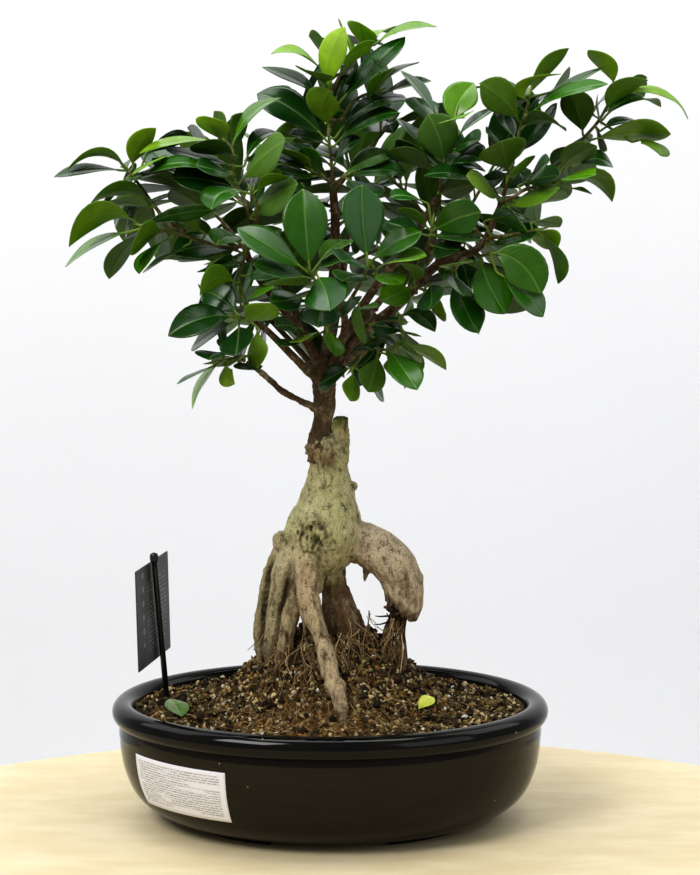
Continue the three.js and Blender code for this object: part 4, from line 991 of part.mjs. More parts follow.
    [103.8,-6.4,396.9,104.3,-5.6,396.6,115.6,13.5,390.7,128.2,29.2,378.8,0.84,-0.37,0.4,22.9],
    [102.1,0.7,401,102.4,1.5,401.4,109.2,21,413.2,120.2,40.8,421.2,0.56,-0.56,0.6,23.7],
    [99.9,3,403,99.4,3.9,402.9,88.1,22.5,403.2,78.1,41.4,397.6,0.84,0.5,0.22,21.5],
    [95.5,7.7,407.1,95.1,8.6,407.1,85.7,29.1,406.9,77.5,49.9,403,0.86,0.4,0.32,22.3],
    [93.3,10,409.2,92.7,10.6,409.8,75.8,21.9,426.8,62.2,41.3,439.4,0.74,0.08,0.67,26],
    [102.7,0,400.4,103.6,0.1,400.9,115,1.9,406.8,126.3,5.3,412.5,0.46,-0.02,-0.89,12.7],
    [105,-13.4,393.2,105.5,-13,392.5,117.4,-4.8,380.6,126.7,4.7,367.3,-0.05,-0.8,-0.6,18.6],
  ],
  leafy_twig_inner_left_1: [
    [-72.5,8.8,384.9,-73.1,8.1,385.3,-85.3,-7.3,394.1,-97.1,-24.1,400.8,-0.81,0.4,-0.43,22.4],
    [-81.3,12.6,393.4,-82.1,13.2,393.3,-103.7,27.8,393,-124.3,42.3,384.5,0.56,0.83,0.06,25.4],
    [-84.8,13.3,396.9,-85.7,12.8,397.2,-104,3.6,406.8,-122.9,-9.5,409,-0.56,0.75,-0.35,22.2],
    [-88.4,14,400.4,-89,14.5,401,-103.9,26.6,416.9,-119.2,41.7,429.9,0.79,0.49,0.37,24.9],
    [-88.4,14,400.4,-89,14.8,400.4,-106.7,39,401.4,-124.8,63,398.3,0.8,0.59,-0.1,30.3],
    [-79.9,12.3,392.1,-80.5,12.8,391.4,-88.8,20.8,381.5,-97.8,26.8,370.6,0.78,0.05,-0.62,14.5],
    [-69.9,7.3,382.4,-69.5,8.2,382.3,-61.4,29.9,381.7,-48.5,48.9,376.8,0.59,-0.2,0.79,21.6],
    [-86.6,13.7,398.7,-86.5,14.7,398.6,-84.6,27.5,398.2,-84.6,40.4,395.1,0.8,-0.14,-0.59,14.1],
    [-82.7,12.9,394.8,-83.2,13.5,394.2,-96.8,34.3,377.2,-113.4,48.3,355.6,0.81,0.06,-0.58,31],
    [-84.4,13.2,396.5,-84.5,14.2,396.3,-84.9,28.3,393.2,-87.8,41.5,387.4,0.74,-0.13,-0.66,13.5],
    [-88.4,14,400.4,-89.3,13.9,400.2,-103.8,12.3,396.3,-117.8,11,390.8,-0.14,0.98,0.14,14.4],
    [-53.6,-6.1,363.5,-52.8,-5.8,364,-41.6,-3.3,370.9,-30,1.6,376,0.52,-0.56,-0.64,14.3],
    [-63.9,4,376.6,-64.2,4.7,376,-67.6,14.9,365.5,-70.6,24.1,353.9,0.94,0.35,0.03,15],
    [-60.3,0.4,372,-59.8,1.3,371.7,-53.8,12.2,368.1,-48.4,23.1,363.3,0.76,-0.54,-0.36,13.8],
  ],
  leafy_twig_top_inner_centre_1: [
    [-6.7,27.2,416.3,-7.7,27.1,416.4,-30.9,25.6,420.2,-54.6,22.4,418.9,-0.11,0.95,-0.28,25.9],
    [-21.1,30,438.9,-20.7,30.1,439.8,-11.4,33,465.6,4.2,34.8,488.6,-0.09,-0.99,0.14,26.4],
    [9.9,23.2,408.5,10.4,24,408.6,22.9,43.4,410.3,34.9,63.1,409.6,0.83,-0.52,-0.2,24.6],
    [32.3,29.9,435.2,32.2,30,436.2,30.4,32.5,465.2,22.6,40.1,492.6,0.65,0.76,-0.02,30.7],
    [35.9,28.9,439.3,36.8,28.6,439.6,51.8,23.4,445.1,67.3,17.5,448.5,-0.38,-0.91,0.17,17.1],
    [-25.5,30,446,-25.8,30.8,446.5,-33.3,49.7,458.2,-39.9,70.6,466.9,0.92,0.13,0.37,22.2],
    [39.4,28,443.4,40.2,28.6,443.5,62.4,44.9,449.3,87.2,58.8,447,0.47,-0.78,0.4,27.5],
    [39.4,28,443.4,39.4,28.9,443.9,38.3,48.2,454.6,37.7,69,462.5,0.99,-0.03,0.16,22],
    [-25.5,30,446,-25.8,29.1,446,-29.5,16.6,447.6,-33.8,4.3,446.2,-0.93,0.3,0.21,12.3],
    [-21.9,30,440.3,-21.2,30.4,440.8,-0.6,38.6,454.3,17.4,55.1,464.6,0.58,-0.13,-0.8,24.1],
    [-23.3,30,442.4,-22.8,30.8,442.8,-14.9,42.7,448.5,-8.2,56.5,450.9,0.83,-0.32,-0.46,14.7],
    [39,28.1,442.9,39,27.1,442.7,38.4,14.2,441.1,39.7,2.1,435.7,-0.9,0.1,-0.43,13.3],
    [-7.7,28,418.2,-7.4,29,418.1,-1.3,46,418.1,1.6,63.6,413.3,0.78,-0.28,-0.56,17.3],
    [38.3,28.3,442.1,38.2,29.3,442.3,37.5,41.5,446.7,37.1,54.7,447.9,0.99,0.01,0.13,14.5],
    [-19.2,30,435.9,-19.9,30.5,435.4,-35.5,42.8,424.3,-54.6,49.5,413.2,0.41,-0.27,-0.87,21.6],
    [32.5,29.8,435.4,32.4,30.8,435.6,31.4,55,442.4,31.9,80,446,0.9,-0.08,0.44,24.3],
    [-25.5,30,446,-25.5,30.9,446.4,-25.7,44.9,453.8,-22.7,60.2,457.2,0.8,-0.27,0.54,16.4],
  ],
};

for (const [name, rows] of Object.entries(LEAVES)) {
  const parts = TWIGS[name].map((path) => {
    const n = path.length - 1;
    return limb(path.map((p, i) => [...p, TWIG_RADIUS[0] + ((TWIG_RADIUS[1] - TWIG_RADIUS[0]) * i) / n]), 3);
  });
  piece(name, mainShell(union([...parts, ...rows.map(leaf)])), 0x1f4d22, 0.35);
}

const part = new THREE.Group();
part.add(group);
export default part;
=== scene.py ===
"""Ginseng fig bonsai in an oval glazed pot: the fine surfaces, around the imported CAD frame.

All tables are in millimetres with the pot's own centre at the origin; SHIFT moves them into the
part's frame, whose origin is the bottom centre of the whole object's box.
"""
import math
import random

import bpy
import numpy as np
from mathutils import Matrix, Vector, noise


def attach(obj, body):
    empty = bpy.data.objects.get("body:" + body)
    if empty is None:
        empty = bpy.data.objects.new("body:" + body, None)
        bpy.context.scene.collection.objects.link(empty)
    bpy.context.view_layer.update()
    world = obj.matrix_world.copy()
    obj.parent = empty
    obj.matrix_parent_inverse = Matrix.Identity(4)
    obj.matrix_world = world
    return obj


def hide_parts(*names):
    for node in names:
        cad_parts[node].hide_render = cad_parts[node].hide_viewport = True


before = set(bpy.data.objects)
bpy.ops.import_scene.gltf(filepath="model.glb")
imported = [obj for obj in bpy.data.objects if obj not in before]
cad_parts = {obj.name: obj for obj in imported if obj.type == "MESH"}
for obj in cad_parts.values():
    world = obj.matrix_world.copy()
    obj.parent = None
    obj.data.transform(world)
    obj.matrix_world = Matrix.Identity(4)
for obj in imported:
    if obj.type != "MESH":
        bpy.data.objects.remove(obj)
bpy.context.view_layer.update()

SHIFT = np.array([-28.5, -17.3, 0.0])
rng = np.random.default_rng(7)
random.seed(7)


def lin(r, g, b):
    """sRGB bytes to linear floats."""
    c = np.array([r, g, b], float) / 255
    return np.where(c <= 0.04045, c / 12.92, ((c + 0.055) / 1.055) ** 2.4)


# ------------------------------------------------------------------ tables (mm)
LIMBS = {
    "trunk": [[-2.5, 0, 244.9, 10.7], [-1.9, 0, 235.4, 12.3], [-1, 0, 226.4, 12.6], [-1.3, 0, 202.7, 19.2], [-1.6, -1, 193.2, 22.2], [-3.9, -2, 184.3, 24.4], [-4.8, -2, 184.3, 23.9], [-7.7, -3, 174.2, 22.6], [-11.5, -4, 164, 16.3]],
    "left_root": [[-17.2, -3, 176.1, 13], [-25, -7, 162, 11.6], [-29.3, -9, 148.2, 10.2], [-33.2, -9, 134, 7.8], [-36, -9, 117.1, 6.6], [-37.2, -9, 95, 5.8]],
    "left_inner_root": [[-22, -11, 157, 8.5], [-22.6, -14, 146, 7.4], [-25, -17, 133, 6], [-28, -19, 118, 5], [-30.3, -20, 97.6, 4.4]],
    "front_root": [[-13.8, -12, 175.7, 11], [-14.3, -20, 161.2, 7.8], [-13.4, -24, 146.6, 7], [-10.5, -28, 136.4, 6.6], [-6.1, -33, 125.4, 5.4], [-2.3, -38, 112.6, 5.7], [2.1, -45, 98.3, 5.7], [5.9, -53, 88.3, 4.8], [8.2, -60, 75.5, 3]],
    "middle_root": [[-2.6, 2, 165.5, 10.1], [1.8, 4, 150.2, 8.2], [5, 3, 137.4, 9.8], [7.6, 1, 125.4, 12.9], [9.5, -1, 110.8, 13.5], [10.8, -3, 92.3, 12.6]],
    "back_root": [[3.7, 10, 169.3, 6.3], [4.9, 15, 153.4, 4.8], [5.6, 17, 136.6, 4.5], [6.9, 17, 116.8, 5.1], [8.1, 15, 89.4, 5.7]],
    "aerial_root": [[-25.6, 0, 179.8, 5], [-32, 0, 172.6, 4.6], [-37, -1, 162.4, 4.5], [-41, -2, 149, 4.4], [-43.6, -3, 134.7, 4.1], [-44.6, -5, 119.6, 3.8], [-43.8, -6, 104.8, 3.5], [-42.6, -6, 86.5, 3]],
    "arch_root": [[5, 0, 178.8, 13.6], [17.8, -2, 177.9, 13.2], [29.9, -4, 173, 14.1], [39.4, -6, 165.7, 14.3], [45.4, -7, 155.5, 13.3], [47.2, -8, 145.5, 12.4], [46.6, -8, 137.5, 11.4], [45.2, -8, 131.5, 9.6]],
    "rootlet_column": [[43.9, -8, 133.8, 5.9], [41.3, -9, 123.6, 4.4], [39.4, -10, 112.1, 4.7], [38.2, -11, 89, 5.6]],
    "stub": [[5.1, -1, 229.1, 7], [6, -1, 240, 6.2], [6.2, -1, 249.5, 5.6], [6.4, -1, 257.2, 4.9]],
    "right_nub": [[11.4, -2, 213.2, 4.4], [17.1, -2, 214.2, 2.4]],
    "under_nub": [[23.5, -5, 160.3, 3.1], [21.8, -5, 152.6, 1.2]],
    "stem": [[-5.7, -2, 233.1, 8.5], [-5.7, -2, 239.4, 8.7], [-5.7, -2, 245.2, 7.9], [-5.1, -2, 252.2, 5.8], [-3.7, -1, 263.5, 6.6], [-3.6, 0, 274.2, 7.1], [-4, 0, 283.1, 7.7], [-3.4, 0, 290.1, 7.4], [-2.5, 1, 297, 4.1]],
    "twist_root": [[-18.9, -14, 176.1, 3.7], [-23.2, -19, 159.7, 2.5], [-19.3, -24, 144.7, 1.6], [-16.2, -27, 127.4, 1.5], [-14.9, -28, 113.6, 1.2]],
    "left_knob": [[-26, -5, 176, 6.5], [-30.6, -6, 180.5, 5.8], [-32.4, -7, 175, 4.6]],
    "left_web": [[-12.5, -6, 174, 13.5], [-14.5, -8, 160, 12.2], [-15.5, -9, 147.5, 10.2]],
}
BRANCHES = {
    "lowl": {"r0": 2.6, "r1": 1.5, "path": [[-5.66, 0, 262.15], [-10.66, -3, 264.37], [-18.16, -6, 268.47], [-28.71, -10, 274.55], [-37.93, -14, 283.09], [-45.21, -18, 289.7], [-51.26, -21, 294.31]]},
    "left": {"r0": 3.0, "r1": 1.6, "path": [[-5.63, 0, 279.3], [-16.79, -8, 290.74], [-26.58, -15, 301.33], [-33.81, -21, 309.23], [-40.92, -28, 316.51], [-46.18, -34, 319.96]]},
    "lmid": {"r0": 3.2, "r1": 2.0, "path": [[-4.37, 1, 286.19], [-12.45, -4, 302.39], [-20.53, -6, 315.1], [-32.86, -10, 331.59], [-42, -14, 342.98], [-49.19, -18, 356.12], [-51.52, -20, 363.57]]},
    "cen": {"r0": 4.2, "r1": 2.6, "path": [[-3.75, 2, 286.1], [-0.62, 8, 309.12], [1.9, 13, 336.12], [3.19, 14, 362.66], [3.22, 12, 384.74], [1.99, 10, 400.41]]},
    "front": {"r0": 2.8, "r1": 1.8, "path": [[-1.18, -2, 285.18], [6.46, -14, 302.5], [9.62, -30, 319.71], [6.61, -42, 330.81], [-0.58, -52, 336.77]]},
    "right": {"r0": 3.6, "r1": 2.0, "path": [[-1.83, 0, 286.28], [12.7, -8, 303.94], [28.87, -16, 318.85], [43.62, -22, 330.97], [55.8, -26, 344.72], [67.92, -29, 355.87], [79.45, -31, 360.21], [88.62, -31, 363.26], [95.43, -29, 369.92], [100.38, -27, 380.87], [104.81, -24, 389.99]]},
    "rmid": {"r0": 3.2, "r1": 2.0, "path": [[-2.49, 3, 287.29], [13.97, 10, 317.25], [32.98, 12, 345.03], [47.4, 8, 364.08], [59.03, 0, 381.75], [66.15, -8, 395.45]]},
    "lowr": {"r0": 2.4, "r1": 1.6, "path": [[-1.81, -2, 283.92], [8.32, -12, 292.33], [16.41, -26, 299.68], [22.51, -36, 304.75]]},
    "bkl": {"r0": 3.2, "r1": 1.8, "path": [[-5.04, 4, 284.66], [-16.14, 22, 308.17], [-28.83, 42, 336.04], [-41.1, 60, 361.42], [-50.08, 72, 379.53]]},
    "bkc": {"r0": 3.4, "r1": 1.8, "path": [[-3.16, 6, 287.03], [2.39, 30, 314.08], [7.46, 55, 343.29], [11.37, 76, 372.88], [12.7, 86, 393.93]]},
    "bkr": {"r0": 3.2, "r1": 1.8, "path": [[-1.88, 5, 286.48], [13.98, 24, 308.03], [36.13, 46, 333.26], [58.71, 62, 356.12], [78.82, 72, 372.95]]},
    "bkll": {"r0": 2.4, "r1": 1.5, "path": [[-5.68, 4, 282.12], [-16.77, 20, 294.84], [-30.11, 38, 307.73], [-41.07, 54, 317.15]]},
    "bkrr": {"r0": 2.4, "r1": 1.5, "path": [[-1.24, 4, 282.12], [10.13, 22, 297.25], [24.41, 42, 308.76], [37.72, 60, 318.11]]},
}
TWIGS = {
    "leafy_twig_left_1": [
        [[-88.83, -35.28, 375.79], [-95.96, -33, 378.52], [-106.26, -26, 389.39], [-114.7, -20, 400.36], [-122.59, -14, 410.19], [-125.25, -12, 412.66]],
    ],
    "leafy_twig_front_left_1": [
        [[-57.58, -22, 364.86], [-65.96, -26, 365.57], [-76.1, -30, 368.72], [-87.84, -36, 372.5], [-99.03, -40, 375.61], [-109.74, -42, 378.06]],
    ],
    "leafy_twig_left_2": [
        [[-50.77, -22, 369.77], [-48.68, -26, 379.02], [-50.96, -28, 391.23], [-54.58, -28, 400.35], [-58.25, -27, 407.64], [-58.96, -24, 418.6]],
        [[-58.96, -24, 418.6], [-59.04, -22, 423.49], [-61.58, -20, 427.79], [-65.97, -18, 432.1]],
    ],
    "leafy_twig_front_centre_1": [
        [[-46.05, -30, 377.26], [-43.29, -36, 385.83], [-44.29, -40, 393.1], [-46.59, -42, 398.52]],
    ],
    "leafy_twig_centre_1": [
        [[2, 9, 405.41], [1.4, 7, 414.12], [0.18, 5, 425.27], [-0.42, 3, 432.65]],
        [[1.97, 8.89, 405.88], [4.54, 6, 405.39], [7.7, 0, 407.84], [12.08, -6, 410.26]],
        [[1.83, 8.44, 407.85], [-1.09, 4, 406.63], [-6.01, -2, 409.06], [-10.88, -8, 412.09]],
    ],
    "leafy_twig_top_centre_1": [
        [[0.22, 2, 437.57], [0.86, 1, 444.94], [1.5, 0, 452.9], [0.9, -1, 459.61]],
        [[0.78, 1.13, 444.01], [6.46, 3, 443.77], [12.7, 4, 453.07], [20.19, 6, 458.71], [27.71, 8, 461.27]],
    ],
    "leafy_twig_top_centre_2": [
        [[2.75, 1, 463.39], [6.47, 4, 470.92], [13.95, 8, 479.77], [21.46, 12, 487.42], [25.23, 14, 491.26]],
    ],
    "leafy_twig_front_centre_2": [
        [[-4.12, -58, 340.67], [-7.58, -66, 345.8], [-10.44, -72, 350.79]],
    ],
    "leafy_twig_front_centre_3": [
        [[10.25, -34, 329.77], [15.12, -48, 337.78], [19.88, -62, 346.82], [22.78, -72, 354.34]],
    ],
    "leafy_twig_low_front_left_1": [
        [[-49.04, -38, 321.43], [-52.39, -44, 323.01], [-54.6, -48, 323.86]],
    ],
    "leafy_twig_left_3": [
        [[-51.72, -23.05, 359.33], [-53.01, -28, 356.45], [-54.57, -34, 350.55], [-55.01, -38, 344.61]],
    ],
    "leafy_twig_low_left_1": [
        [[-53.63, -23, 295.72], [-57.8, -26, 297.2], [-62.64, -28, 296.12], [-69.93, -30, 295.04]],
    ],
    "leafy_twig_low_centre_1": [
        [[-13.45, -16, 307.64], [-15.8, -22, 310.54], [-17.51, -28, 313.42]],
    ],
    "leafy_twig_low_centre_2": [
        [[0.91, -20, 307.92], [-0.87, -28, 313.42]],
    ],
    "leafy_twig_right_1": [
        [[68.48, -11, 400.38], [69.49, -15, 409.56], [71.16, -18, 418.69], [72.86, -20, 427.79], [75.26, -20, 436.9], [77.11, -19, 444.22]],
    ],
    "leafy_twig_top_right_1": [
        [[107.35, -22, 397.92], [109.88, -20, 406.47], [112.41, -18, 415.64], [115.6, -15, 429.74], [118.21, -12, 439.59], [122.06, -9, 450.69], [123.41, -7, 456.88]],
        [[112.66, -17.76, 416.75], [110.43, -28, 413.69], [108.8, -34, 408.79]],
    ],
    "leafy_twig_right_3": [
        [[127.06, -14, 402.83], [137.89, -10, 408.99], [148.19, -5, 420.14], [157.3, 0, 431.34], [166.98, 4, 441.96], [171.5, 6, 448.83], [176.6, 8, 458.8]],
    ],
    "leafy_twig_right_2": [
        [[106.33, -28, 393.06], [111.51, -32, 395.5], [118.61, -34, 400.34], [128.33, -34, 402.75], [138.24, -32, 404.58]],
    ],
    "leafy_twig_front_right_1": [
        [[95.72, -34, 370.03], [98.96, -40, 371.37], [105.94, -44, 372.67], [115.45, -46, 374.51], [125.1, -46, 376.32]],
        [[96.42, -35.31, 370.33], [91.16, -38, 374.36], [87.96, -40, 379.84]],
    ],
    "leafy_twig_front_right_2": [
        [[88.33, -36, 362.18], [91.5, -44, 360.6], [97.14, -50, 361.98]],
        [[88.33, -36, 362.18], [81.48, -39, 358.63], [77.1, -42, 353.27], [75.71, -46, 348.58]],
    ],
    "leafy_twig_front_centre_4": [
        [[44.7, -28, 334.36], [38.33, -38, 339.74], [30.85, -48, 347.45], [27.14, -54, 353.7]],
    ],
    "leafy_twig_front_right_3": [
        [[60.37, -34, 356.64], [60.11, -40, 364.11], [61.14, -44, 371.46], [62.32, -44, 378.69]],
    ],
    "leafy_twig_front_centre_5": [
        [[53.17, -32, 338.24], [54.12, -40, 341.05], [57.64, -44, 340.02]],
    ],
    "leafy_twig_low_front_centre_1": [
        [[25.51, -42, 307.03], [29.1, -48, 305.03], [34.53, -50, 303.96], [39.99, -50, 305.18]],
        [[26.14, -43.05, 306.68], [20.06, -36, 299.22], [15.16, -32, 292.73]],
    ],
    "leafy_twig_low_centre_3": [
        [[32.51, -22, 319.22], [38.5, -32, 319.84], [43.26, -38, 320.21]],
    ],
    "leafy_twig_back_left_1": [
        [[-52.89, 76, 384.74], [-60.44, 82, 393.94], [-69.94, 86, 400.55]],
    ],
    "leafy_twig_back_left_2": [
        [[-47.76, 68.41, 368], [-53.58, 74, 362.36], [-66.01, 82, 355.51], [-77.63, 86, 352.72]],
    ],
    "leafy_twig_back_centre_1": [
        [[-46.46, 73.59, 379.47], [-41.91, 84, 390.63], [-34.19, 94, 407.21], [-28.91, 98, 420.56]],
    ],
    "leafy_twig_back_centre_2": [
        [[12.7, 88.37, 397.23], [12.7, 96, 410.56], [9.34, 100, 427.25], [4.66, 98, 440.48]],
    ],
    "leafy_twig_back_centre_3": [
        [[8.75, 83.67, 384.14], [-0.74, 96, 389.89], [-13.04, 108, 393.86]],
    ],
    "leafy_twig_back_centre_4": [
        [[14.75, 88.37, 391.52], [24.82, 100, 399.24], [37.13, 112, 404.64]],
    ],
    "leafy_twig_back_right_1": [
        [[81.18, 74.22, 375.24], [91.19, 82, 387.33], [99.33, 86, 400.55], [105.76, 84, 412.43]],
    ],
    "leafy_twig_back_right_2": [
        [[66.62, 70.22, 365.34], [69.96, 82, 376.74], [73.05, 94, 393.91], [70.47, 98, 407.24]],
    ],
    "leafy_twig_back_right_3": [
        [[80.85, 74.63, 370.78], [92.76, 84, 370.07], [107.85, 90, 369.95]],
    ],
    "leafy_twig_low_back_left_1": [
        [[-45.16, 58, 320.86], [-54.83, 68, 324.92], [-63.19, 76, 329.15]],
    ],
    "leafy_twig_low_back_centre_1": [
        [[-37.67, 55.37, 316.68], [-34.97, 68, 324.26], [-31.41, 82, 334.19]],
    ],
    "leafy_twig_back_right_4": [
        [[40.43, 64, 320.52], [47.32, 76, 327.82], [52.96, 88, 336.6]],
    ],
    "leafy_twig_low_back_centre_2": [
        [[35.5, 57.48, 312.78], [43.15, 66, 308.49], [53.99, 74, 305.3]],
    ],
    "leafy_twig_back_centre_5": [
        [[6.68, 63.99, 348.48], [-0.61, 78, 349], [-10.22, 96, 352.39]],
    ],
    "leafy_twig_back_centre_6": [
        [[14.01, 64, 353.44], [27.39, 84, 359.44], [38.36, 100, 364.37]],
    ],
    "leafy_twig_inner_centre_1": [
        [[2.5, 22, 373.87], [-6.58, 34, 378.76], [-17.03, 42, 382.5]],
        [[2.5, 22, 373.87], [6.32, 24, 378.91], [16.55, 32, 383.9], [29.44, 38, 387.67]],
    ],
    "leafy_twig_inner_centre_2": [
        [[-29.52, 2, 327.82], [-31.7, 12, 338.7], [-39.73, 24, 350.92]],
    ],
    "leafy_twig_inner_right_1": [
        [[39.51, 22, 350.99], [51.27, 32, 357.05], [65.64, 38, 360.72]],
    ],
    "leafy_twig_inner_centre_3": [
        [[59.3, 8, 384.15], [50.73, 18, 396.65], [40.7, 24, 405.49]],
    ],
    "leafy_twig_inner_right_2": [
        [[105.37, -16, 391.78], [102.71, 0, 400.4], [93.26, 10, 409.16]],
    ],
    "leafy_twig_inner_left_1": [
        [[-49.56, -10, 358.34], [-63.96, 4, 376.7], [-78.22, 12, 390.39], [-88.39, 14, 400.42]],
    ],
    "leafy_twig_top_inner_centre_1": [
        [[2.54, 20, 399.17], [-7.7, 28, 418.17], [-19.18, 30, 435.89], [-25.52, 30, 445.98]],
        [[2.54, 20, 399.17], [7.62, 22, 405.48], [19.07, 28, 420.7], [31.82, 30, 434.63], [39.41, 28, 443.39]],
    ],
}
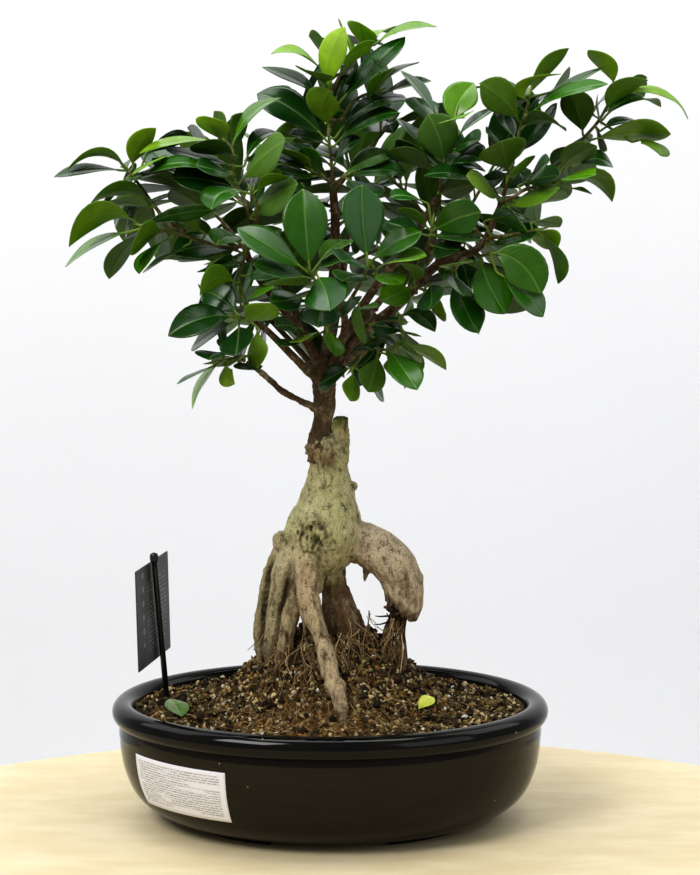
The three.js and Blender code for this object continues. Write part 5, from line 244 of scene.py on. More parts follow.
# foot, blade start, middle, tip, cross direction, width, tone (0 old and dark .. 2 young and bright; the low tones also
# paint shade onto leaves lying in the crown's shadow)
LEAVES = {
    "leafy_twig_left_1": [
        [-124.9, -12.2, 412.4, -125.2, -12.2, 412, -147.1, -20, 412.6, -169, -22.2, 408.3, -0.23, 0.95, 0.21, 26.2, 0],
        [-124.9, -12.3, 412.3, -124.6, -12.2, 412.7, -141.7, -17.7, 422.4, -161.1, -26.2, 411.9, -0.34, 0.91, -0.24, 25.5, 1.8],
        [-123.8, -13.1, 411.3, -121.4, -13, 413.9, -118.9, -11.8, 426.1, -106.9, -13, 438.3, -0.48, -0.83, 0.28, 21.6, 2],
        [-121.6, -14.8, 408.9, -116.2, -15.7, 413.8, -105.6, -1.1, 430.7, -87.2, 10.6, 431.6, -0.36, 0.76, -0.54, 21.8, 0.2],
        [-122, -14.5, 409.4, -118.1, -15.7, 413.2, -110.8, -33.2, 416, -103.6, -51.3, 417.6, 0.78, 0.38, 0.49, 24.1, 1.2],
        [-122.3, -14.2, 409.8, -125.7, -14.3, 407.1, -112.9, -30.7, 408.8, -100.1, -44.3, 411.1, -0.67, -0.62, -0.41, 26.4, 0],
        [-109, -24.1, 392.9, -108.8, -24.1, 393, -125.6, -27.5, 400.4, -145.1, -34, 392.5, -0.24, 0.89, -0.4, 25.1, 1],
        [-106.5, -25.8, 389.7, -106.9, -25.8, 389.4, -122.5, -34.5, 392.5, -138.2, -45.8, 390.7, -0.53, 0.81, -0.27, 27, 0.9],
        [-106.3, -26, 389.4, -106.3, -25.1, 388.9, -104.7, -0.4, 375.4, -111, 22.5, 359.5, 0.35, -0.46, -0.81, 26.3, 0],
        [-125.2, -12, 412.7, -125.2, -11, 412.6, -124.9, 1.9, 411.6, -123.3, 14.8, 409.7, 0.57, 0.05, 0.82, 13.5, 0.4],
        [-119.3, -16.5, 406.1, -119.8, -15.9, 405.4, -129.6, -5.9, 392.3, -135, 6.5, 378.4, -0.23, 0.68, 0.7, 17.7, 0.1],
        [-112.7, -21.4, 397.8, -113.1, -20.8, 397.1, -122.6, -10.5, 385.1, -128.2, 1.4, 371.9, -0.07, 0.73, 0.68, 18.9, 0],
        [-115.8, -19.1, 401.8, -116.1, -18.4, 401.1, -121.6, 3.7, 386.4, -128.8, 19.6, 365, 0.96, 0.05, -0.29, 27.3, 0.2],
        [-125.2, -12, 412.7, -125.2, -11.1, 413, -125.5, 0.9, 418.1, -123.6, 13.7, 421, 0.73, -0.25, 0.63, 14.4, 0],
        [-120.5, -15.6, 407.6, -121.2, -15.5, 406.9, -133.1, -14.1, 398.1, -142.6, -13.4, 386.4, 0.16, 0.98, -0.06, 14.2, 0],
    ],
    "leafy_twig_front_left_1": [
        [-109.7, -42, 378.1, -115.8, -42, 379.9, -138.2, -46.2, 385.9, -156.2, -54, 366.3, -0, 0.75, -0.66, 25, 1.5],
        [-109.7, -42, 378.1, -119.5, -42, 375.6, -142.3, -39.9, 367.7, -161.8, -32, 353.5, 0.05, 0.94, 0.33, 26.7, 1],
        [-109.7, -42, 378.1, -112.2, -42, 374.4, -125.3, -34.5, 364, -135.2, -30, 346.1, 0.48, 0.87, -0.02, 25.1, 0.6],
        [-100.6, -40.3, 376, -100.8, -40.3, 375, -109.8, -54.4, 372.9, -117.2, -70.3, 365.5, -0.37, 0.46, -0.81, 25.2, 1],
        [-94.9, -38.5, 374.4, -95.5, -38.5, 371.9, -106.7, -50.4, 363.8, -113.8, -58.5, 350.3, -0.57, 0.78, -0.24, 25.5, 0.9],
        [-83.8, -34, 371.2, -85, -33.6, 368.2, -100.1, -37.2, 359.2, -114, -32.8, 350.5, -0.06, 0.99, 0.15, 25.1, 0.2],
        [-109.7, -42, 378.1, -112.2, -41.4, 378.6, -92.5, -51.3, 386, -67.8, -51.6, 389, 0.3, 0.85, -0.43, 18.9, 0.5],
        [-78, -31, 369.3, -75.9, -32.3, 373.6, -87.7, -37.1, 381, -98.2, -41.4, 381.7, -0.42, 0.89, -0.17, 19.8, 0.9],
        [-109.7, -42, 378.1, -110.2, -41.1, 377.8, -117.1, -28.9, 374.8, -123.1, -16.6, 370.2, 0.74, 0.52, 0.42, 15.3, 0],
    ],
    "leafy_twig_left_2": [
        [-56.6, -27.4, 404.4, -58.1, -29.7, 404, -83.6, -46, 415.9, -108.7, -42.2, 411.1, -0.18, 0.92, 0.35, 20.4, 0.6],
        [-56.2, -27.6, 403.6, -54.5, -28.5, 404.6, -40.4, -42.4, 419.5, -26.1, -54.2, 429.4, -0.03, 0.68, 0.73, 29.9, 0.6],
        [-59, -24, 418.6, -56.5, -24, 420.4, -69.5, -30.8, 425.1, -84, -40, 426.7, -0.53, 0.78, -0.33, 24.1, 0.2],
        [-58.7, -25, 414.8, -57.1, -25, 414.9, -80.9, -24.8, 420.4, -100.3, -19, 426.6, 0.2, 0.95, 0.26, 26.6, 0.1],
        [-58.5, -26, 411.3, -58.3, -26, 411.3, -85.7, -19.1, 412.6, -109.7, -6, 420.1, 0.39, 0.88, 0.28, 29.1, 0],
        [-58.7, -25.1, 414.5, -52.2, -25.1, 414.9, -41.3, -20.1, 433.3, -25.6, -11.1, 432.9, 0.51, -0.85, -0.1, 25, 0.3],
        [-54.6, -28, 400.4, -54.6, -28, 400.4, -74.5, -40.6, 406.3, -94.4, -48, 407.5, -0.22, 0.68, 0.7, 28.5, 0],
        [-58.3, -26.6, 409, -57.1, -26, 408.9, -68.8, -43.1, 412.3, -79.6, -51.9, 414.6, -0.51, 0.58, 0.63, 19.1, 0.1],
        [-59.9, -21.3, 424.9, -60.3, -21.3, 424.7, -48, -20.1, 446.6, -29.8, -13.3, 456.6, 0.36, -0.93, -0.11, 25.5, 0.9],
        [-65, -18.4, 431.2, -66, -18.4, 430.3, -70.1, -29.7, 436.6, -74.6, -42.4, 444.6, -0.92, 0.38, 0.08, 22.1, 2],
        [-60.8, -20.6, 426.4, -61.6, -20.6, 425.9, -66.8, -14.6, 437.1, -71.2, -10.7, 448.8, -0.35, 0.79, -0.5, 20.6, 0.3],
        [-60, -21.3, 425.1, -59.7, -20.3, 424.7, -56.6, -9.3, 436.6, -52.3, -6.5, 448.3, -0.28, -0.79, 0.55, 21.6, 0.3],
        [-64.4, -18.7, 430.6, -66, -18.7, 429, -93, -25.9, 430.1, -116.2, -26.7, 422.2, -0.18, 0.97, 0.19, 25.6, 1.8],
    ],
    "leafy_twig_front_centre_1": [
        [-46.5, -41.9, 398.2, -47.2, -41.9, 397.9, -62.8, -54.5, 399.1, -69.4, -63.9, 388.5, -0.73, 0.64, 0.24, 24.2, 0.5],
        [-46.6, -42, 398.5, -46.6, -42, 399.1, -40.8, -33.4, 410.6, -36.4, -22, 419.2, 0.52, -0.72, 0.45, 22.7, 0],
        [-46.4, -41.8, 398.1, -45.4, -41.8, 398.5, -35.5, -45.9, 405.7, -25.1, -51.8, 408.6, -0.5, -0.85, 0.16, 19.4, 1],
        [-44.3, -33.8, 382.7, -48.2, -34.7, 383.4, -37.1, -38.4, 394.3, -18.5, -50.5, 403.9, -0.06, 0.75, 0.66, 28.4, 0.3],
        [-43.6, -35.3, 384.8, -47, -35.3, 385.8, -27.5, -33.9, 390.1, -6.9, -27.3, 396.7, 0.29, -0.84, -0.46, 25.1, 0.1],
    ],
    "leafy_twig_centre_1": [
        [-0.2, 3.6, 430.3, -1.1, 3.6, 430.2, -23.5, 5.4, 450.7, -45.7, 13.7, 460.3, 0.56, 0.5, 0.66, 25.1, 0],
        [0, 4.5, 427.2, 0.2, 6.7, 427.8, -13.6, 5.3, 432.7, -24.7, 0.3, 434.4, -0.13, 0.91, 0.4, 19.3, 0],
        [0.5, 5.5, 422.3, -0.5, 5.5, 422.2, -16.9, 10.9, 424.1, -27.2, 19.5, 430.6, 0.51, 0.83, 0.23, 23.4, 0],
        [-0.4, 3.1, 432.4, 3.3, 3.1, 432.7, 25.2, 4, 453.7, 49.1, 11.1, 457.1, 0.32, -0.89, -0.31, 26.7, 0],
        [-0, 4.4, 427.5, 2.7, 4.4, 427.7, 22, -3.4, 442.9, 43.1, -5.6, 447.8, -0.01, -0.9, -0.44, 26.2, 0.3],
        [1.3, 6.8, 415.2, 2.7, 6.8, 415.4, 9, 0.3, 425.8, 19.5, -3.2, 432.5, 0.04, -0.84, -0.53, 20.1, 0],
        [-2.8, 1.9, 407.5, -2.9, 2.3, 407.9, -10.9, -3.3, 418.9, -16.4, -7.1, 426.9, 0.72, -0.67, 0.19, 19.4, 0.7],
        [-10.2, -7.2, 411.7, -10.9, -6.7, 411.5, -23.3, -8.6, 417, -36.8, -10.9, 421.3, -0.04, 0.95, 0.31, 19.4, 0.1],
        [-9.7, -6.6, 411.4, -9.7, -6.6, 411.5, -20, -13.5, 420, -31.4, -22.6, 425.9, -0.57, 0.82, 0.06, 23, 1.5],
        [-7.8, -4.2, 410.1, -8.5, -4.2, 409, -20.7, -12.7, 410.2, -33.5, -18.2, 414.4, -0.4, 0.85, 0.34, 22.1, 0.5],
        [-9.7, -6.6, 411.4, -12.2, -5.1, 410.3, -23.6, 1.1, 407.9, -34.9, 3.7, 400.4, 0.05, 0.8, 0.6, 20.3, 0.2],
        [8.7, -1.4, 408.4, 8.3, -1.4, 409.1, 22.7, -0.4, 419, 38.4, 4.6, 423.4, 0.35, -0.86, -0.37, 25, 0.8],
        [9.9, -3, 409, 10.2, -3, 408.4, 28.8, -10.3, 412.7, 47.9, -12.9, 410.2, -0.22, -0.89, -0.41, 27.1, 0.4],
        [9.6, -2.6, 408.9, 10.2, -2.6, 407.8, 20.1, -17, 401.6, 31, -28.6, 396.7, -0.79, -0.61, -0.05, 25.8, 0.1],
    ],
    "leafy_twig_top_centre_1": [
        [0.3, 1.8, 438.8, 0.8, 1.8, 438.8, -4.6, -8.2, 450.7, 0.5, -20.2, 461.1, -0.93, 0.28, 0.26, 23.4, 1],
        [1.1, -0.8, 457.9, -7.2, -0.8, 457.2, -19.6, -1.2, 467.6, -42.1, 3.2, 476.4, 0.23, 0.95, 0.23, 26.1, 0.1],
        [0.9, -1, 459.6, -2.8, -1, 471.9, -19.4, -5.2, 484.4, -36.1, -5, 483.8, -0.03, 0.97, 0.23, 26.1, 1.5],
        [0.9, -1, 459.6, 0.3, -1.7, 459.6, -0.2, -11.9, 479.7, 9.6, -16, 499.4, -0.77, 0.52, 0.37, 20.2, 2],
        [0.9, -1, 459.6, -2.2, -2.8, 465.6, -8.1, -17.1, 469.7, -13.9, -34.2, 472.4, -0.89, 0.38, 0.24, 25.2, 1],
        [1, -0.8, 458.6, -1.6, -0.8, 458.4, -4.8, 6.8, 466.1, -9.2, 13.2, 473.9, -0.04, 0.73, -0.68, 17.8, 0.5],
        [0.9, -1, 459.6, 0.9, -2.4, 479.1, -5.9, 1.6, 489.2, -12.9, 7.9, 495.7, 0.01, 0.85, -0.52, 18.8, 0.3],
        [1.2, -0.4, 455.8, 3.4, -0.4, 455.9, 7.7, 7.3, 466.2, 12.7, 17.6, 475.4, 0.57, -0.72, 0.39, 21.4, 0],
        [1.5, -0, 453.2, 5.2, -0, 453.5, 25.8, 1.4, 475.1, 47, 10, 495.3, 0.48, -0.83, -0.28, 25, 0.1],
        [23.8, 7, 459.9, 24.6, 7, 457.5, 30.1, -2.1, 466.3, 38.5, -13.1, 474.8, -0.63, -0.71, -0.31, 22.5, 1],
        [27.7, 8, 461.3, 34.6, 8, 468.7, 44.1, 13.6, 475.8, 55.6, 22, 480, 0.55, -0.83, 0.01, 21.2, 0.5],
        [27.7, 8, 461.3, 31.5, 8.2, 459.4, 46.4, 4.5, 464.8, 63.2, 3.7, 467.8, -0.06, -0.96, -0.27, 24.5, 0.1],
        [1, 0.8, 446.8, 0.7, 1.7, 446.9, -2.5, 15.7, 450.8, -7.4, 29.9, 449.6, 0.92, 0.29, -0.27, 14.7, 0.2],
        [27.7, 8, 461.3, 27.6, 8.7, 461.9, 26.4, 17.9, 471.1, 25.1, 28.6, 478.6, 0.99, 0.11, 0.02, 14, 0],
        [9.6, 3.5, 448.4, 9, 4.2, 448.8, 1.6, 14, 453.2, -7.3, 23.1, 456.2, 0.4, 0.61, -0.69, 13.6, 0],
    ],
    "leafy_twig_top_centre_2": [
        [7.8, 4.7, 472.6, 8.3, 4.6, 472.2, 17, -6.9, 484.9, 28.7, -8.5, 490.9, 0.53, 0.85, 0.01, 23, 1.7],
        [22.4, 12.5, 488.4, 22.1, 12.5, 488.7, 20.1, 1.2, 495.9, 17.6, -11.5, 502.8, -0.87, 0.36, 0.33, 21.5, 2],
        [25.2, 14, 491.3, 25.2, 15, 492.6, 33, 29.7, 501.1, 41.5, 42.2, 499.6, 0.84, -0.53, 0.11, 21, 1.5],
        [25.2, 14, 491.3, 27.7, 14, 490.6, 46.5, 13.5, 500.5, 67.3, 18, 502.1, 0.16, -0.96, -0.21, 27.4, 1.5],
        [14.6, 8.3, 480.4, 13.9, 8.3, 481, 11.4, 17.9, 494, 6.4, 30.3, 504.3, 0.39, 0.73, -0.56, 24.4, 1.4],
        [13.8, 7.9, 479.6, 13, 8, 480.2, 3.7, 9.1, 489.3, -8, 10.2, 495.4, 0.05, 1, -0.08, 12.7, 0.2],
        [25.2, 14, 491.3, 25, 15, 491.4, 19.7, 41.5, 496, 13, 68.5, 495, 0.95, 0.23, -0.23, 27.2, 0],
        [9.6, 5.7, 474.6, 9.2, 6.6, 474.4, 4.7, 19.3, 472.6, 0.8, 32, 469.4, 0.81, 0.36, 0.46, 12.8, 0],
        [13.9, 8, 479.8, 13.3, 8.7, 480.1, 4.4, 17.4, 483.9, -5, 26.2, 486.1, 0.66, 0.74, -0.15, 14.6, 0.2],
        [12.2, 7, 477.7, 11.8, 8, 477.6, 6.1, 19.7, 477.8, 1.4, 31.7, 474.7, 0.86, 0.41, 0.29, 12.9, 0.1],
        [25.2, 14, 491.3, 25.6, 14.9, 491.3, 31.8, 26.3, 493, 36, 38.8, 490.9, 0.79, -0.35, -0.51, 13.8, 0.2],
        [16.8, 9.5, 482.7, 16.6, 10.4, 482.4, 14.1, 30.2, 477.8, 5.5, 47.8, 471, 0.38, -0.17, -0.91, 19.7, 0],
    ],
    "leafy_twig_front_centre_2": [
        [-10.4, -72, 350.8, -11, -72, 352, -13.3, -72.2, 376.2, -15.2, -66, 400.9, 1, -0, 0.08, 27.4, 0.6],
        [-10.4, -72, 350.8, -13.4, -72, 352.6, -32.1, -78.1, 365.7, -53.8, -78, 378, 0.21, 0.83, 0.52, 28.9, 0.5],
        [-9.1, -69.3, 348.5, -10.5, -69.3, 347.7, -27.5, -76.6, 352.7, -44.5, -79.3, 356.9, -0.13, 0.87, 0.48, 26.7, 0.4],
        [-7.8, -66.5, 346.3, -9.3, -67.2, 344.7, -20.9, -80.3, 345.2, -32.5, -100, 347.8, -0.81, 0.56, -0.18, 28.9, 0.7],
        [-10.3, -71.8, 350.6, -8.1, -71.7, 352, 3.2, -65.2, 359.4, 12.7, -55.7, 363.3, 0.64, -0.76, -0.11, 21.7, 0.5],
        [-10.4, -72, 350.8, -6.9, -72, 355.5, 3.1, -62.6, 366.5, 12.7, -50, 370.4, 0.73, -0.68, 0.03, 24.4, 0.9],
        [-9.7, -70.4, 349.4, -7.5, -70.3, 350.7, -1.4, -88.8, 340.9, 1.1, -104.3, 330.7, -0.92, 0, -0.39, 28.1, 0.3],
        [-4.1, -58, 340.7, -4.1, -58, 335.9, -5.2, -70.1, 326.9, -6.2, -80, 319.8, -0.99, -0, 0.13, 24.5, 0.1],
        [-5.9, -62.1, 343.3, -14.2, -62.3, 337.3, -24.1, -71.7, 335.4, -34.6, -78.3, 334.5, -0.53, 0.56, 0.64, 20.1, 0.2],
    ],
    "leafy_twig_front_centre_3": [
        [22.8, -72, 354.3, 23.4, -72, 356.7, 20.4, -73, 380.9, 19.8, -68, 403.2, 0.89, 0.45, 0.03, 28.5, 0.35],
        [14.2, -45.3, 336.2, 13.9, -45.3, 336.4, 12.7, -59.1, 331.1, 9.7, -71.3, 325.8, -0.79, 0.34, -0.52, 21.6, 0.1],
        [20.9, -65.4, 349.4, 21.1, -65.4, 349.4, 14.5, -80.3, 349.9, 8, -93.4, 347.5, -0.89, 0.4, 0.21, 23.2, 0.4],
        [22.7, -71.7, 354.1, 22.2, -71.7, 354.3, 15, -89.6, 359.1, 8.1, -105.7, 359, -0.77, 0.39, 0.5, 27, 0.1],
        [14.4, -46, 336.6, 17.6, -47, 332.9, 19.3, -57.7, 321.4, 21.1, -65, 308.7, 0.39, 0.76, -0.51, 22.8, 0.7],
        [11.4, -37.4, 331.7, 17, -37.5, 328.1, 23, -43.3, 329.7, 30.3, -47.5, 329.9, -0.56, -0.79, -0.26, 14, 1.2],
        [10.2, -34, 329.8, 10.2, -33, 329.8, 9.7, -13.8, 331.6, 8, 5.5, 328.4, 0.97, 0.05, -0.23, 20.1, 0],
    ],
    "leafy_twig_low_front_left_1": [
        [-54.6, -48, 323.9, -54.6, -48, 324.5, -65.2, -42.6, 334.5, -76.7, -34, 338.9, 0.62, 0.18, 0.77, 22.5, 0.2],
        [-54.6, -48, 323.9, -56.4, -48, 323.2, -75.4, -53.7, 323.6, -97.2, -54, 312.7, -0.27, 0.72, 0.64, 25.6, 0.15],
        [-54.6, -48, 323.9, -57, -48, 321.4, -72, -42.9, 313.2, -84.3, -34, 304.6, 0.11, 0.85, 0.52, 25.3, 0.5],
        [-52, -43.3, 322.8, -52.4, -43.4, 321.8, -42.9, -52.5, 324.7, -34, -63.4, 333.1, -0.78, -0.5, 0.38, 22.3, 1],
        [-53.6, -46.1, 323.5, -54.7, -46.4, 319.5, -54.6, -60.5, 310.8, -55.2, -72.3, 302.7, -0.91, 0.24, -0.35, 23.2, 0.05],
        [-49, -38, 321.4, -43.6, -38, 316.5, -44.7, -41, 304.5, -43.3, -46, 292.7, 0.67, -0.71, 0.24, 19.6, 1.1],
    ],
    "leafy_twig_left_3": [
        [-55, -38, 344.6, -53.9, -37.2, 328.7, -53, -29, 341.2, -47.5, -28.2, 357.7, 0.55, -0.82, 0.13, 21.9, 0.7],
        [-55, -38, 344.6, -55.5, -39.8, 343.5, -68.6, -53.3, 347.7, -77.1, -62.1, 337.3, -0.22, 0.45, -0.87, 20.3, 1.1],
        [-55, -38, 344.6, -50.2, -38, 331.8, -43, -48.2, 339.6, -33, -56, 341.8, -0.41, -0.71, -0.57, 20.6, 1.2],
        [-53.4, -29.5, 355, -52.3, -29.5, 354.7, -64.6, -29.3, 353.4, -81.5, -25.5, 350.2, 0.1, 0.98, 0.19, 22.5, 0.8],
        [-53.1, -28.5, 355.9, -57.3, -28, 356.4, -66.8, -42.3, 358.1, -74.3, -49.4, 353.5, 0.65, -0.58, 0.49, 21, 0.3],
        [-51.7, -23.1, 359.3, -55.2, -20.1, 362.3, -76.1, -22, 366.1, -95.1, -31.2, 361.4, -0.22, 0.76, 0.61, 26.8, 0.15],
        [-51.7, -23.1, 359.3, -52, -22, 369.8, -61.1, -35.1, 372.5, -67.7, -46, 367.3, -0.8, 0.49, 0.33, 21.9, 0.7],
        [-54.7, -35.4, 348.5, -50.9, -35.4, 348.2, -40.7, -44.6, 350.9, -29.5, -51.4, 348.8, -0.5, -0.69, -0.53, 20.5, 0.1],
    ],
    "leafy_twig_low_left_1": [
        [-61.5, -27.5, 296.4, -61.5, -27, 295.4, -64.8, -33.3, 287.9, -58, -36, 282, 0.62, -0.56, 0.54, 14.3, 1.8],
        [-67.6, -29.4, 295.4, -67.5, -29.4, 295, -78.1, -29.4, 282.6, -85.3, -25.4, 265.4, -0.14, 0.97, 0.22, 25.6, 1.6],
        [-69.9, -30, 295, -71.8, -30, 292.6, -82, -34.5, 288, -93.6, -36, 282, -0.28, 0.96, 0.02, 14, 0.5],
        [-65.6, -28.8, 295.7, -66.3, -28.8, 299.9, -69.6, -44.4, 301.7, -72.3, -58.8, 298.6, -0.98, 0.19, 0.02, 23, 0.4],
        [-56.2, -24.8, 296.6, -56.6, -24.9, 295.2, -51.2, -35.7, 292.4, -43.4, -44.9, 291.4, -0.84, -0.55, -0.04, 19.1, 0.1],
        [-55.8, -24.6, 296.5, -55.4, -24.5, 297.7, -57.7, -39.1, 296.4, -60.6, -52.5, 294.4, -0.92, 0.21, -0.33, 21.8, 1.5],
        [-54.4, -23.6, 296, -55, -22.8, 295.9, -63.6, -11, 295.3, -73, -0.5, 290.6, 0.77, 0.55, -0.32, 15.5, 0],
        [-53.6, -23, 295.7, -53.7, -22, 295.7, -55, 2.9, 296.5, -56.2, 27.9, 293.3, 1, 0.05, 0.01, 25.3, 0.2],
        [-65.1, -28.7, 295.8, -65.4, -28.2, 296.6, -70.7, -13.8, 320.7, -82.9, 2, 341.7, 0.37, 0.83, -0.41, 26.9, 0],
        [-56, -24.7, 296.6, -56.5, -23.9, 297, -62.2, -12.9, 303.7, -68, -0.9, 308.6, 0.91, 0.37, 0.18, 13.9, 0.2],
    ],
    "leafy_twig_low_centre_1": [
        [-17.1, -26.6, 312.8, -16.3, -26.6, 313.3, -24.1, -34.6, 317.6, -33.1, -40.6, 317.3, -0.47, 0.71, 0.53, 17.8, 0.3],
        [-15.4, -21.1, 310.1, -17.7, -21.2, 308, -23.6, -31, 307.5, -29.5, -39.2, 305.6, -0.84, 0.54, 0.1, 17.4, 0.5],
        [-15, -20, 309.6, -12.1, -20.1, 311.7, -14.3, -35.8, 310.9, -17, -49.1, 308.8, -0.94, 0.19, -0.29, 20.4, 1.5],
        [-13.4, -16, 307.6, -12.5, -15.8, 308, -1, -13.7, 313.7, 11.8, -11.7, 316.3, 0.12, -0.98, 0.13, 14.5, 0],
    ],
    "leafy_twig_low_centre_2": [
        [-0.9, -28, 313.4, -0.9, -28, 314.7, 2.3, -36, 307.8, 4.2, -42, 299.7, -0.75, -0.59, 0.3, 17.1, 1.2],
        [-0.9, -28, 313.4, -0.6, -27.9, 314.4, 2.6, -27.1, 327, 7.2, -25.2, 339.1, 0.59, -0.8, -0.1, 13.2, 0.2],
        [-0.9, -28, 313.4, -0.9, -27.4, 314.2, -1.7, -20.6, 325.3, -4, -11.5, 334.6, 0.87, 0.44, -0.21, 12.7, 0.1],
    ],
    "leafy_twig_right_1": [
        [70.5, -16.9, 415.3, 70.6, -17.6, 415, 67.6, -27.3, 430.6, 60.1, -29.4, 446.2, -0.95, -0, -0.32, 26.6, 0.3],
        [76.2, -19.5, 440.8, 77.1, -19.5, 440.6, 79, -16.2, 453.4, 89.2, -9.5, 465.9, 0.9, -0.31, -0.31, 22.5, 1.3],
        [76.3, -19.5, 440.9, 67.9, -19.4, 443, 55.6, -18.8, 460.6, 44.6, -13.4, 473, 0.34, 0.94, 0.08, 27.4, 0.2],
        [75, -20, 435.8, 66, -20, 438.1, 59, -11.5, 449.4, 52.5, 0, 457.8, 0.85, 0.52, 0.06, 23.3, 0.2],
        [71, -17.8, 418, 67.5, -17.8, 418.7, 54.6, -15, 432.2, 42.4, -7.8, 444, 0.43, 0.9, 0.06, 24.9, 0.2],
        [70.2, -16.2, 413.2, 65.7, -16.9, 413.8, 52.6, -20.6, 423.5, 41.4, -26.9, 431.3, 0.51, -0.83, 0.23, 19.2, 0.1],
        [69.6, -15.2, 410.2, 66.4, -15.2, 410.8, 50.1, -20.8, 419.3, 35.9, -29.2, 424.6, -0.49, 0.83, -0.25, 26.4, 0.5],
        [74.6, -20, 434.3, 78.3, -20, 433.3, 90.7, -16.9, 443.7, 103.4, -10, 451.9, 0.38, -0.92, -0.02, 24.3, 0.2],
        [72.2, -19.2, 424.1, 75.4, -19.2, 423.6, 82.7, -31.4, 428.7, 91.2, -41.2, 430.3, -0.53, -0.57, -0.63, 21.3, 0.1],
        [70.8, -17.4, 416.9, 74.3, -17.4, 416.3, 82.8, -30.6, 421.5, 91.8, -41.4, 417.7, -0.67, -0.52, -0.53, 22.5, 0],
        [70.4, -16.7, 414.8, 75.5, -16.7, 413.8, 86.7, -15, 415.1, 96.3, -10.7, 412.1, 0.22, -0.89, -0.4, 17.4, 0.1],
        [75.9, -19.6, 439.6, 70.7, -24.9, 441.6, 74.9, -51, 442.5, 79.7, -72.5, 442.9, -0.92, -0.18, -0.34, 22.6, 1.5],
        [68.5, -11, 400.4, 67.2, -11, 397.9, 77.4, -6, 401.6, 92.5, -3, 404.1, -0, -0.61, 0.79, 20.9, 0.1],
        [76, -19.6, 439.8, 75.5, -18.7, 439.8, 69.5, -7.2, 440.4, 63.8, 4.5, 438.4, 0.88, 0.45, 0.16, 13.7, 0.1],
        [77.1, -19, 444.2, 77.3, -18.1, 444.6, 80.9, -3.2, 453.5, 83, 13.8, 458.6, 0.92, 0, -0.38, 16.9, 0.1],
        [72.5, -19.6, 426.1, 73.4, -19.1, 426.1, 84.1, -11.6, 426.3, 96.6, -7.5, 423.8, 0.32, -0.48, 0.82, 12.2, 0.2],
        [77.1, -19, 444.1, 76.7, -18.1, 444.1, 72.7, -5.7, 444.5, 67, 6, 441.9, 0.83, 0.29, -0.48, 12.7, 0.2],
    ],
    "leafy_twig_right_2": [
        [106.3, -28, 393.1, 104.5, -28, 394.3, 82, -34, 408.8, 57.7, -34, 408.8, -0.02, 0.94, 0.33, 27.8, 0.2],
        [106.3, -28, 393.1, 103.2, -29.6, 394.3, 95.5, -42.9, 403.3, 82.3, -50.9, 408.6, 0.23, -0.69, -0.69, 22.6, 1.1],
        [117.2, -33.6, 399.4, 115, -32.9, 402.8, 128.3, -33.8, 407.6, 139.7, -41.3, 408.7, -0.09, -0.74, -0.67, 18.8, 0.2],
        [131.7, -33.3, 403.4, 132.1, -33.3, 401.6, 159.2, -29.6, 408.2, 172.9, -29.3, 393.1, 0.16, -0.93, 0.32, 26.3, 0.8],
        [106.3, -28, 393.1, 108.3, -26.4, 389.4, 122.1, -36.3, 396.7, 139.3, -46.3, 401.5, 0.27, 0.77, 0.58, 22.7, 1],
        [111.5, -32, 395.5, 115.8, -32, 388.8, 132.2, -25.8, 394.3, 146.1, -22, 395.5, 0.23, -0.92, 0.33, 24.2, 0.8],
        [138.2, -32, 404.6, 146.8, -32, 401.6, 153.4, -32.9, 400.3, 160.3, -32, 397.9, -0.05, -0.98, -0.2, 12.6, 0.4],
        [138.2, -32, 404.6, 138.6, -34, 405.8, 149, -50, 408.7, 159.5, -58, 409.2, -0.7, -0.65, -0.31, 23.8, 1.2],
        [122, -34, 401.2, 121, -34, 405.2, 126, -45.2, 411.7, 132.3, -54, 418.1, -0.29, -0.63, -0.72, 20.4, 0.1],
        [107.9, -29.2, 393.8, 109.3, -29.2, 390.6, 112.1, -41, 384.7, 117.3, -51.2, 382.4, -0.88, -0.41, 0.23, 19.4, 0.1],
        [138.2, -32, 404.6, 138.1, -31, 404.4, 135.8, -14.2, 402.6, 135.6, 2.5, 398.1, 0.75, 0.18, 0.64, 17.3, 0],
    ],
    "leafy_twig_top_right_1": [
        [119, -11.4, 441.9, 117.2, -9.6, 442.1, 106.4, -27.6, 454.7, 91.1, -38.5, 464.4, -0.65, -0, -0.76, 21.4, 1],
        [109.6, -31, 411.2, 109.6, -31, 411.2, 105.7, -42.2, 421.3, 103.4, -55, 429.3, -0.95, -0, -0.32, 30.3, 0.9],
        [115.9, -14.7, 430.7, 115, -14.7, 431, 109.2, -9.1, 440.9, 104.7, -0.7, 451.6, 0.66, 0.73, -0.17, 20.7, 0],
        [114.4, -16.1, 424.5, 107.5, -16.1, 426.1, 101.9, -25, 431.3, 95.3, -32.1, 435.3, -0.4, 0.67, 0.63, 17.7, 0],
        [123.4, -7, 456.9, 122.7, -7.8, 458.1, 131.8, 5.9, 472.3, 149.2, 7.2, 488.3, -0.19, -0.81, 0.56, 19.7, 1.2],
        [122.6, -8.2, 453.3, 123.3, -8.2, 453.2, 120.8, -15.1, 465, 141.3, -24.1, 470.6, -0.61, -0.79, -0.09, 22.4, 2],
        [123.4, -7, 456.9, 137.4, -2.7, 460.8, 145.6, 23.7, 467, 153.7, 47.4, 472.7, 0.4, -0.33, 0.86, 20.7, 0.4],
        [120.8, -9.9, 447.2, 121.4, -9.9, 447, 127.1, -0.9, 454.1, 133.6, 10.1, 460.1, 0.73, -0.62, 0.27, 20.7, 0],
        [120.2, -10.4, 445.4, 122.6, -10.4, 444.5, 142.8, -9.9, 461, 170.7, -2.5, 476.1, 0.22, -0.97, -0.08, 25.1, 0.4],
        [120.5, -10.2, 446.3, 123.2, -11.3, 445.7, 140.5, -27.8, 457.7, 168.8, -34, 464, -0.26, -0.87, -0.43, 26.7, 0.7],
